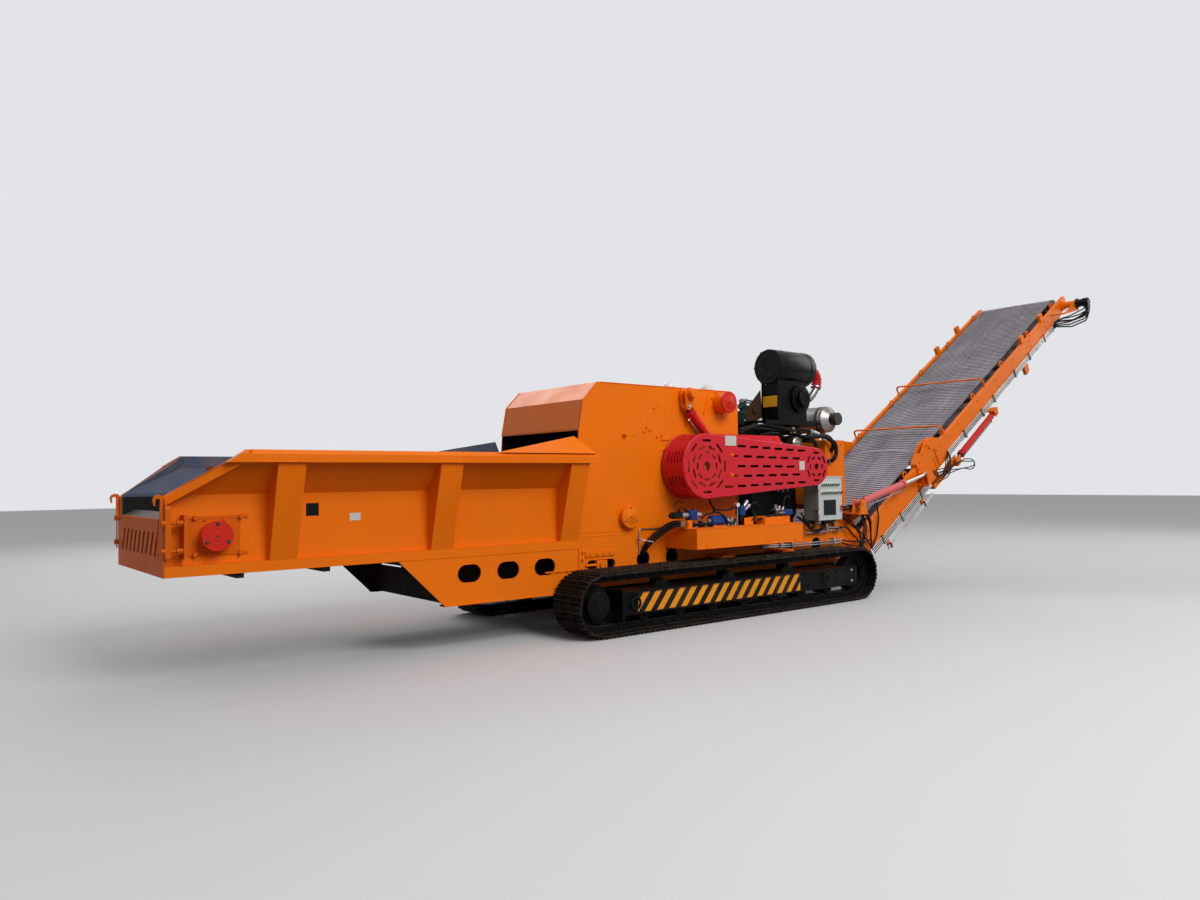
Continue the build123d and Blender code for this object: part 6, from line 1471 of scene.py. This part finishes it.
def tray_hose_bundle():
    """Seven thin hoses from brass unions down into the housing's round hole, and a bent steel rod."""
    upper = [(-2.352, -1.04, 1.089), (-2.416, -1.03, 1.094), (-2.498, -0.99, 1.071), (-2.568, -0.94, 1.017),
             (-2.631, -0.88, 0.949), (-2.679, -0.84, 0.885), (-2.701, -0.8, 0.815), (-2.708, -0.76, 0.745),
             (-2.7, -0.66, 0.69)]
    lower = [(-2.353, -1.04, 1.041), (-2.417, -1.03, 1.044), (-2.498, -0.99, 1.018), (-2.558, -0.94, 0.969),
             (-2.61, -0.88, 0.909), (-2.655, -0.84, 0.858), (-2.684, -0.8, 0.797), (-2.696, -0.76, 0.735),
             (-2.69, -0.66, 0.68)]
    runs = []
    for k in range(7):
        share, deep = (k % 4) / 3, 0.028 if k > 3 else 0.0
        fan = 0.012 * sin(2.1 * k)
        runs.append([(a[0] * (1 - share) + b[0] * share, a[1] + deep, a[2] * (1 - share) + b[2] * share
                      + fan * sin(pi * i / 8)) for i, (a, b) in enumerate(zip(upper, lower))])
    made = hoses("tray_hose_bundle", "root", black_rubber, runs, 0.0095)
    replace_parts(made, "tray_hoses")
    mesh = bmesh.new()
    for k in range(7):
        x, y, z = runs[k][0]
        rod(mesh, (x - 0.05, y, z), (x - 0.015, y, z), 0.0125, 6)
        rod(mesh, (x - 0.015, y, z), (x + 0.03, y, z), 0.0105, 12, 1)
    piece("hose_unions", mesh, "root", "pipe_steel", brass, bright_zinc)
    mesh = bmesh.new()
    swept(mesh,
          [(-2.742, -0.746, 0.74), (-2.742, -0.746, 0.86), (-2.74, -0.746, 0.97), (-2.728, -0.746, 1.008),
           (-2.69, -0.746, 1.016), (-2.58, -0.746, 1.016), (-2.4, -0.746, 1.016)], (0.008,), 12)
    rod(mesh, (-2.768, -0.8, 0.908), (-2.65, -0.875, 0.878), 0.006, 10)
    rod(mesh, (-2.768, -0.8, 0.908), (-2.768, -0.7345, 0.908), 0.006, 10)
    piece("hose_stay", mesh, "root", "pipe_steel", muffler_steel)


tray_hose_bundle()


def tray_detail():
    """Seams and bolts of the tray, the stays under it and the steel lines along the rail."""
    mesh = bmesh.new()
    for z in (0.8, 1.013):
        rod(mesh, (-2.345, -1.2355, z), (-0.57, -1.2355, z), 0.004, 6)
    rod(mesh, (-2.348, -1.2355, 0.8), (-2.348, -1.2355, 1.013), 0.004, 6)
    for x in (-2.2, -1.7, -1.2, -0.72):
        bolt(mesh, (x, -1.2345, 0.83), (0, -1, 0), 0.016)
    block(mesh, (-1.18, -1.182, 1.018), (-0.835, -1.176, 1.094), 0.003)
    for x in (-1.15, -0.87):
        bolt(mesh, (x, -1.181, 1.06), (0, -1, 0), 0.014)
    # trapezoid stay behind the track, between tray and rail
    for x0, x1 in ((-0.662, -0.422), (-1.72, -1.48)):
        for i in range(2):
            low = x0 + 0.02 if i else x0
            high = x1 - 0.02 if i else x1
            block(mesh, (low, -0.99, 0.632 + i * 0.025), (high, -0.74, 0.658 + i * 0.025), 0.004)
    piece("tray_seams", mesh, "root", "machine_orange", machine_orange)
    mesh = bmesh.new()
    for run in ([(-0.8, -0.79, 0.705), (-0.5, -0.79, 0.702), (-0.234, -0.79, 0.693), (0.25, -0.79, 0.69),
                 (0.749, -0.79, 0.69)],
                [(-0.8, -0.79, 0.735), (-0.4, -0.79, 0.722), (-0.006, -0.79, 0.718), (0.35, -0.79, 0.722),
                 (0.77, -0.79, 0.727)], [(0.489, -0.79, 0.899), (0.6, -0.79, 0.897), (0.715, -0.79, 0.893)],
                [(0.488, -0.79, 0.862), (0.6, -0.79, 0.86), (0.734, -0.79, 0.857)],
                [(0.035, -0.79, 0.846), (0.24, -0.79, 0.848), (0.448, -0.79, 0.848)]):
        swept(mesh, run, (0.0095,), 12, 3)
        for x, y, z in (run[0], run[-1]):
            rod(mesh, (x - 0.018, y, z), (x + 0.018, y, z), 0.0155, 6)
    block(mesh, (0.472, -0.8, 0.831), (0.486, -0.736, 0.95), 0.002)
    for x in (-0.45, -0.234, 0.62):
        block(mesh, (x - 0.012, -0.812, 0.668), (x + 0.012, -0.7345, 0.758), 0.003)
    piece("tray_pipe", mesh, "root", "pipe_steel", bright_zinc)


tray_detail()


# Control cabinet: light grey enamelled steel, a door with two rows of green buttons over a dark window, a
# red lamp and a red lock. Its hinge side stands in the shade of the guard, and the body is painted a darker
# grey than the door for that shade.

cabinet_grey = paint("cabinet_grey", linear(190, 194, 192), wear=0.15, dust=0.12, roughness=0.4,
                     bare=linear(110, 110, 106))
finish(cabinet_grey, "cabinet_door")
# painted shade: the body gets a darker copy of the door's grey
finish(paint("cabinet_body_shaded", linear(138, 137, 130), wear=0.15, dust=0.15, roughness=0.45), "cabinet")


def cabinet_detail():
    window = paint("window_dark", linear(26, 34, 38), wear=0.0, dust=0.2, roughness=0.12)
    button = paint("button_green", linear(24, 96, 62), wear=0.0, dust=0.05, roughness=0.3)
    lamp = paint("lamp_red", linear(196, 28, 30), wear=0.0, dust=0.1, roughness=0.2)
    mesh = bmesh.new()
    block(mesh, (0.3085, -0.8735, 1.063), (0.5715, -0.868, 1.257), 0.002)
    piece("cabinet_window", mesh, "cabinet_door", "black_plastic", window)
    mesh = bmesh.new()
    for z in (1.355, 1.459):
        for i in range(9):
            x = 0.2685 + i * 0.043
            lathe(mesh, (x, -0.874, z), (0, -1, 0), [(0, 0.019), (0.018, 0.019), (0.02, 0.017)], 20, 1)
            lathe(mesh, (x, -0.893, z), (0, -1, 0), [(0, 0.0155), (0.007, 0.0155), (0.01, 0.012)], 20)
            block(mesh, (x - 0.016, -0.8775, z + 0.022), (x + 0.016, -0.8745, z + 0.036), 0.001, 1)
    label_white = paint("label_white", linear(214, 216, 214), wear=0.05, dust=0.08, roughness=0.4)
    piece("cabinet_buttons", mesh, "cabinet_door", "cabinet_grey", button, label_white)
    mesh = bmesh.new()
    lathe(mesh, (0.6665, -0.895, 1.355), (0, -1, 0),
          [(0, 0.0175), (0.012, 0.0165), (0.02, 0.011), (0.023, 0.004)], 24)
    block(mesh, (0.65, -0.898, 1.118), (0.683, -0.891, 1.192), 0.005)
    piece("cabinet_lamp", mesh, "cabinet_door", "guard_red", lamp)
    mesh = bmesh.new()
    for x in (0.302, 0.578):
        block(mesh, (x - 0.008, -0.879, 1.05), (x + 0.008, -0.874, 1.27), 0.002)
    for z in (1.05, 1.262):
        block(mesh, (0.302, -0.879, z), (0.578, -0.874, z + 0.012), 0.002)
    for x in (0.22, 0.68):
        for z in (1.02, 1.535):
            bolt(mesh, (x, -0.875, z), (0, -1, 0), 0.012, 1)
    piece("cabinet_trim", mesh, "cabinet_door", "cabinet_grey", cabinet_grey, bright_zinc)
    mesh = bmesh.new()
    block(mesh, (0.205, -0.883, 1.553), (0.71, -0.63, 1.566), 0.005)
    for x in (0.25, 0.45, 0.64):
        lathe(mesh, (x, -0.75, 1.003), (0, 0, -1),
              [(0, 0.022), (0.03, 0.022), (0.034, 0.016), (0.05, 0.014)], 16, 1)
    piece("cabinet_roof", mesh, "root", "cabinet_grey", cabinet_grey, black_plastic)
    hoses("cabinet_cables", "root", black_rubber, [
        [(0.25, -0.75, 0.96), (0.22, -0.79, 0.915), (0.13, -0.79, 0.93), (0.05, -0.78, 1.0),
         (-0.06, -0.74, 1.06)],
        [(0.45, -0.75, 0.96), (0.41, -0.79, 0.922), (0.289, -0.79, 0.877), (0.172, -0.79, 0.907),
         (0.059, -0.79, 0.997), (0.0, -0.76, 1.1)],
        [(0.46, -0.77, 0.97), (0.4, -0.8, 0.9), (0.27, -0.8, 0.855), (0.14, -0.8, 0.885),
         (0.03, -0.79, 0.975), (-0.06, -0.75, 1.05)],
        [(0.64, -0.75, 0.96), (0.65, -0.78, 0.9), (0.72, -0.79, 0.86), (0.8, -0.77, 0.9)]], 0.012)


cabinet_detail()


def foot_hose_loops():
    """Hoses between the cabinet's end and the conveyor's foot, beside those of the CAD."""
    hoses("foot_hose_loops", "root", black_rubber, [
        [(0.792, -0.8, 1.15), (0.957, -0.84, 1.162), (1.069, -0.88, 1.133), (1.21, -0.9, 1.047),
         (1.286, -0.9, 0.972), (1.31, -0.89, 0.837), (1.335, -0.87, 0.7), (1.36, -0.86, 0.6)],
        [(0.834, -0.8, 1.129), (0.996, -0.86, 1.14), (1.123, -0.89, 1.091), (1.236, -0.9, 1.015),
         (1.312, -0.88, 0.898), (1.34, -0.87, 0.73), (1.36, -0.86, 0.61)],
        [(0.959, -0.78, 1.022), (0.967, -0.8, 1.084), (1.022, -0.84, 1.122), (1.149, -0.86, 1.1),
         (1.286, -0.87, 0.982), (1.329, -0.87, 0.814), (1.35, -0.87, 0.655)],
        [(0.788, -0.8, 1.039), (0.976, -0.82, 0.91), (1.149, -0.85, 0.801), (1.3, -0.86, 0.66),
         (1.37, -0.865, 0.57)],
        [(0.763, -0.79, 0.882), (0.883, -0.8, 0.883), (0.972, -0.83, 0.798), (1.123, -0.86, 0.657),
         (1.3, -0.865, 0.53)],
        [(0.77, -0.79, 0.727), (0.9, -0.8, 0.7), (1.04, -0.85, 0.69), (1.2, -0.86, 0.673),
         (1.33, -0.87, 0.7)],
        [(0.749, -0.79, 0.69), (0.88, -0.8, 0.66), (1.05, -0.86, 0.62), (1.2, -0.865, 0.55)],
    ], 0.0105)


foot_hose_loops()


# Discharge conveyor: two orange box beams a side with hinge cheeks, straps for the rollers and wire hoops.
# The belt is grey rubber with low chevron ribs and a creased middle, marked by a line of painted shade; four
# steel lines run along the near beam.

SLOPE = radians(32.2)
FOOT_PIN = (1.1225, 0.574)
HEAD_S, HEAD_N = 7.5, 0.038
PIPE_Y = -0.8205


def slope_place(s, y, n):
    """Machine coordinates of a point given along the belt's slope, across, and square to the belt."""
    return Vector((FOOT_PIN[0] + s * cos(SLOPE) - n * sin(SLOPE), y,
                   FOOT_PIN[1] + s * sin(SLOPE) + n * cos(SLOPE)))


def belt_paint():
    """Grey-violet rubber: lengthwise scuffs, chip dust between the ribs, darker edges and a line of painted
    shade along the middle crease.
    """
    made = clad("belt_rubber", steel_surface,
                {"Rust Colour": linear(146, 139, 136), "Rust": 0.4, "Dust": 0.15, "Roughness": 0.62,
                 "Grain": 30.0}, bump=0.001, Specular_IOR_Level=0.2)
    tree = made.node_tree
    group = tree.nodes["Group"]
    place = put(tree, "TexCoord")["Object"]
    turned = put(tree, "Mapping", {"Vector": place, "Rotation": (0, SLOPE, 0)})[0]
    scuffed = put(tree, "Mapping", {"Vector": turned, "Scale": (0.25, 6.0, 1.0)})[0]
    streak = put(tree, "TexNoise", {"Vector": scuffed, "Scale": 3.0, "Detail": 5.0})[0]
    across = maths(tree, "ABSOLUTE", put(tree, "SeparateXYZ", {0: place})[1])
    edge = ranged(tree, across, 0.57, 0.65)
    # painted shade: a dark line along the belt's middle crease
    crease_shade_mask = ranged(tree, across, 0.012, 0.002)
    tone = blended(tree, ranged(tree, streak, 0.3, 0.7), linear(138, 134, 145), linear(164, 158, 165))
    crease_shaded_tone = blended(tree, crease_shade_mask, tone, linear(88, 84, 90))
    tree.links.new(blended(tree, edge, crease_shaded_tone, linear(84, 80, 84)), group.inputs["Colour"])
    return made


belt_rubber = belt_paint()
finish(belt_rubber, "conveyor_lower_belt", "conveyor_upper_belt")
finish(dark_bolt, "conveyor_lower_rollers", "conveyor_upper_rollers")


rib_rubber = clad_steel("rib_rubber", linear(62, 59, 64), linear(90, 86, 86), 0.4, 0.1, 0.65, 30.0,
                        bump=0.0005, Specular_IOR_Level=0.15)


def belt_ribs():
    """Raised chevrons on the carrying side."""
    belt_top, rib_pitch = 0.171, 0.052
    for label, body, first, last in (("lower", "conveyor_lower", -0.18, 2.26),
                                     ("upper", "conveyor_upper", 2.32, 7.46)):
        mesh = bmesh.new()
        steps = int((last - first) / rib_pitch)
        for i in range(steps):
            s = first + (i + 0.5) * (last - first) / steps
            for side in (-1, 1):
                inner = slope_place(s + 0.05, side * 0.008, belt_top)
                outer = slope_place(s - 0.02, side * 0.6, belt_top)
                up = slope_place(s, 0, belt_top + 1) - slope_place(s, 0, belt_top)
                on = slope_place(s + 1, 0, belt_top) - slope_place(s, 0, belt_top)
                wide = on * 0.0065
                ring = []
                for spot in (inner, outer):
                    ring.append([mesh.verts.new(spot - wide), mesh.verts.new(spot - wide * 0.6 + up * 0.004),
                                 mesh.verts.new(spot + wide * 0.6 + up * 0.004),
                                 mesh.verts.new(spot + wide)])
                for k in range(4):
                    m = (k + 1) % 4
                    mesh.faces.new((ring[0][k], ring[1][k], ring[1][m], ring[0][m]))
                mesh.faces.new(ring[0])
                mesh.faces.new(ring[1][::-1])
        piece(f"belt_ribs_{label}", mesh, body, "belt_rubber", rib_rubber)


belt_ribs()


conveyor_orange = paint("conveyor_orange", ORANGE, wear=0.0, dust=0.12, roughness=0.38)
finish(conveyor_orange, "conveyor_lower_frame", "conveyor_upper_frame")


def beam_detail():
    """Bolts, seams, doubling plates and hinge fittings on both conveyor sections."""
    for label, body, seams in (("lower", "conveyor_lower", ((0.0, 2.24),)),
                               ("upper", "conveyor_upper", ((2.34, 6.85),))):
        mesh = bmesh.new()
        for side in (-1, 1):
            y = side * 0.807
            outward = (0, side, 0)
            for s0, s1 in seams:
                for n in (0.147, -0.262 if label == "lower" else -0.172):
                    rod(mesh, slope_place(s0, y, n), slope_place(s1, y, n), 0.004, 6)
            if label == "lower":
                for s, n in ((0.35, 0.08), (0.9, 0.08), (1.45, 0.08), (0.35, -0.1), (0.9, -0.1)):
                    bolt(mesh, slope_place(s, y, n), outward, 0.022)
                for s, n in ((1.86, 0.12), (1.9, 0.2), (2.05, 0.25), (2.2, 0.31), (2.3, 0.16)):
                    bolt(mesh, slope_place(s, side * 0.83, n), outward, 0.024)
                lathe(mesh, slope_place(2.25, side * 0.844, 0.25), outward,
                      [(0, 0.03), (0.008, 0.03), (0.01, 0.024)], 24)
                lathe(mesh, slope_place(0, side * 0.833, 0), outward,
                      [(0, 0.034), (0.006, 0.034), (0.008, 0.028)], 24)
                lathe(mesh, slope_place(0, y, 0), outward, [(0, 0.075), (0.012, 0.075), (0.016, 0.068)], 36)
            else:
                for s in (2.42, 2.52, 3.2, 3.9, 4.6, 5.3, 6.0, 6.7):
                    bolt(mesh, slope_place(s, y + side * (0.016 if s < 2.6 else 0), 0.1), outward, 0.022)
                for s in (3.2, 4.6, 6.0, 6.7):
                    bolt(mesh, slope_place(s, y, -0.02), outward, 0.02)
                for s in (5.585, 5.735):
                    rod(mesh, slope_place(s, side * 0.806, -0.18), slope_place(s, side * 0.806, -0.12),
                        0.004, 6)
                lathe(mesh, slope_place(HEAD_S, side * 0.8065, HEAD_N), outward,
                      [(0, 0.09), (0.006, 0.09), (0.01, 0.083), (0.01, 0.06)], 36)
                bolt_circle(mesh, slope_place(HEAD_S, side * 0.8165, HEAD_N), 0.075, 4, outward, 0.018,
                            first=SLOPE + pi / 4)
        piece(f"beam_fittings_{label}", mesh, body, "machine_orange", conveyor_orange)


beam_detail()


def roller_bearings():
    """Flanged bearings on the straps, with their set screws and the rollers' end caps."""
    for label, body in (("lower", "conveyor_lower"), ("upper", "conveyor_upper")):
        mesh = bmesh.new()
        for s in (0.46, 1.61, 2.83, 3.931, 5.033, 6.134, 7.235):
            if (s < 2.29) == (label == "lower"):
                for side in (-1, 1):
                    inward = (0, -side, 0)
                    lathe(mesh, slope_place(s, side * 0.725, 0.112), inward,
                          [(0, 0.03), (0.01, 0.03), (0.014, 0.022)], 22)
                    for ds in (-0.036, 0.036):
                        bolt(mesh, slope_place(s + ds, side * 0.7255, 0.1), inward, 0.014, 1)
        piece(f"roller_bearings_{label}", mesh, body, "pipe_steel", dark_bolt, bright_zinc)


roller_bearings()


pipe_steel = clad_steel("pipe_steel", linear(214, 212, 210), linear(176, 168, 160), 0.1, 0.05, 0.3, 6.0,
                        metallic=0.6, bump=0.00002, strength=0.1)


def pipe_clamps():
    """Steel lines along the near beam with thin black rods between them as painted shade in the gaps, their
    clamps and union nuts.
    """
    for label, body, spots, n0, pitch in (("lower", "conveyor_lower", (0.55, 1.1, 1.7), -0.174, 0.031),
                                          ("upper", "conveyor_upper", (3.25, 3.9, 4.35, 5.2, 5.817, 6.5),
                                           -0.08, 0.028)):
        mesh = bmesh.new()
        turn = Matrix.Rotation(-SLOPE, 3, "Y")
        for s in spots:
            middle = slope_place(s, -0.8285, n0 - 1.5 * pitch)
            spin = Matrix.Translation(middle) @ turn.to_4x4()
            block(mesh, (-0.022, -0.011, -1.5 * pitch - 0.018), (0.022, 0.023, 1.5 * pitch + 0.018), 0.004,
                  0, spin)
            block(mesh, (-0.024, -0.014, -1.5 * pitch - 0.022), (0.024, -0.01, 1.5 * pitch + 0.022), 0.001,
                  1, spin)
            for n in (-1, 0, 1):
                bolt(mesh, spin @ Vector((0, -0.014, n * pitch)), (0, -1, 0), 0.012, 1)
        ends = (0.24, 1.98) if label == "lower" else (2.7, 6.88)
        for i in range(4):
            for s in ends:
                at = slope_place(s, PIPE_Y, n0 - i * pitch)
                along_beam = slope_place(1, 0, 0) - slope_place(0, 0, 0)
                lathe(mesh, at - along_beam * 0.02, along_beam,
                      [(0, 0.0135), (0.004, 0.0165), (0.034, 0.0165), (0.038, 0.0135)], 6, 1)
        # painted shade: thin black rods between the steel lines darken the gaps
        for i in range(3):
            n = n0 - (i + 0.5) * pitch
            rod(mesh, slope_place(ends[0], PIPE_Y, n), slope_place(ends[1], PIPE_Y, n), 0.0068, 10)
        piece(f"pipe_clamps_{label}", mesh, body, "black_plastic", black_plastic, bright_zinc)
        mesh = bmesh.new()
        for i in range(4):
            rod(mesh, slope_place(ends[0], PIPE_Y, n0 - i * pitch),
                slope_place(ends[1], PIPE_Y, n0 - i * pitch), 0.0088, 16)
        if label == "lower":
            for n in (-0.388, -0.418):
                rod(mesh, slope_place(0.6, -0.8045, n), slope_place(1.98, -0.8045, n), 0.0115, 16)
            for s in (0.67, 1.71):
                spin = Matrix.Translation(slope_place(s, -0.776, -0.3515)) @ turn.to_4x4()
                block(mesh, (-0.03, -0.0155, -0.0885), (0.03, 0.0155, 0.0885), 0.003, 1, spin)
                block(mesh, (-0.015, -0.045, -0.0885), (0.015, -0.012, -0.014), 0.003, 2, spin)
        drawn = piece(f"steel_pipes_{label}", mesh, body, "pipe_steel", pipe_steel, conveyor_orange,
                      black_plastic)
        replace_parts(drawn, f"{label}_pipes")


pipe_clamps()


def fold_hoses():
    """Hoses that bridge the fold from the lower pipes to the upper ones, hung in slack loops."""
    runs = []
    for i in range(4):
        low, high = -0.174 - i * 0.031, -0.08 - i * 0.028
        runs.append([slope_place(1.98, PIPE_Y, low), slope_place(2.12, -0.83 - i * 0.012, low - 0.01),
                     slope_place(2.36, -0.86 - i * 0.016, low - 0.05),
                     slope_place(2.58, -0.84 - i * 0.012, high - 0.03), slope_place(2.7, PIPE_Y, high)])
    for lift in (0.0, 0.04):
        runs.append([(3.0, -0.83, 1.585 + lift), (3.104, -0.85, 1.607 + lift), (3.271, -0.9, 1.642 + lift),
                     (3.5, -0.96, 1.76), (3.7, -1.0, 1.808 - lift), (3.86, -1.01, 1.739),
                     (3.8, -1.01, 1.665 + lift),
                     (3.575, -0.97, 1.665), (3.3, -0.9, 1.59 + lift), (3.12, -0.86, 1.562)])
    hoses("fold_hoses", "conveyor_lower", black_rubber, runs, 0.0075)


fold_hoses()


def head_motor_detail():
    mesh = bmesh.new()
    bolt_circle(mesh, slope_place(HEAD_S, -1.078, HEAD_N), 0.072, 6, (0, -1, 0), 0.016, first=SLOPE)
    bolt_circle(mesh, slope_place(HEAD_S, -1.262, HEAD_N), 0.042, 4, (0, -1, 0), 0.014, first=SLOPE + pi / 4)
    for i in range(3):
        at = slope_place(7.464 + i * 0.036, -1.219, -0.1)
        lathe(mesh, at, slope_place(0, 0, -1) - slope_place(0, 0, 0),
              [(0, 0.015), (0.03, 0.015), (0.034, 0.0125)], 6)
    piece("motor_bolts", mesh, "conveyor_upper", "pipe_steel", bright_zinc)


head_motor_detail()

hoses("head_hose_bundle", "conveyor_upper", black_rubber, [
    [(7.66, -1.16, 4.655), (7.7, -1.17, 4.56), (7.646, -1.1, 4.43), (7.511, -1.0, 4.34), (7.261, -0.9, 4.3),
     (7.1, -0.84, 4.27)],
    [(7.6, -1.16, 4.64), (7.65, -1.16, 4.53), (7.56, -1.1, 4.44), (7.4, -1.0, 4.37), (7.2, -0.9, 4.32),
     (7.08, -0.84, 4.26)],
    [(7.56, -1.13, 4.63), (7.57, -1.14, 4.54), (7.48, -1.06, 4.46), (7.34, -0.97, 4.38), (7.15, -0.88, 4.31),
     (7.05, -0.84, 4.25)],
    [(7.63, -1.12, 4.62), (7.66, -1.12, 4.5), (7.56, -1.04, 4.38), (7.36, -0.95, 4.3), (7.15, -0.88, 4.27),
     (7.04, -0.84, 4.24)]], 0.011)


# Roof lamps: two low dome lamps on the housing's roof, with moulded white lenses on black plastic feet.
# Each foot is held by four screws.

def dome_lamps():
    lens = clad_steel("lamp_white", linear(214, 216, 220), linear(190, 188, 182), 0.3, 0.15, 0.25, 80.0)
    mesh = bmesh.new()
    for x in (-2.0775, -1.4625):
        lathe(mesh, (x, -0.55, 2.5905), (0, 0, 1),
              [(0, 0.092), (0.01, 0.092), (0.016, 0.078), (0.02, 0.076)], 40, 1)
        dome = [(0.018, 0.073)] + [(0.03 + 0.06 * sin(a), 0.073 * cos(a))
                                   for a in (radians(15 * step) for step in range(6))]
        lathe(mesh, (x, -0.55, 2.5905), (0, 0, 1), dome, 40)
        for i in range(4):
            turn = radians(45 + 90 * i)
            bolt(mesh, (x + 0.084 * cos(turn), -0.55 + 0.084 * sin(turn), 2.601), (0, 0, 1), 0.012, 1)
    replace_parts(piece("dome_lamp_pair", mesh, "root", "lamp_white", lens, black_plastic), "dome_lamps")


dome_lamps()
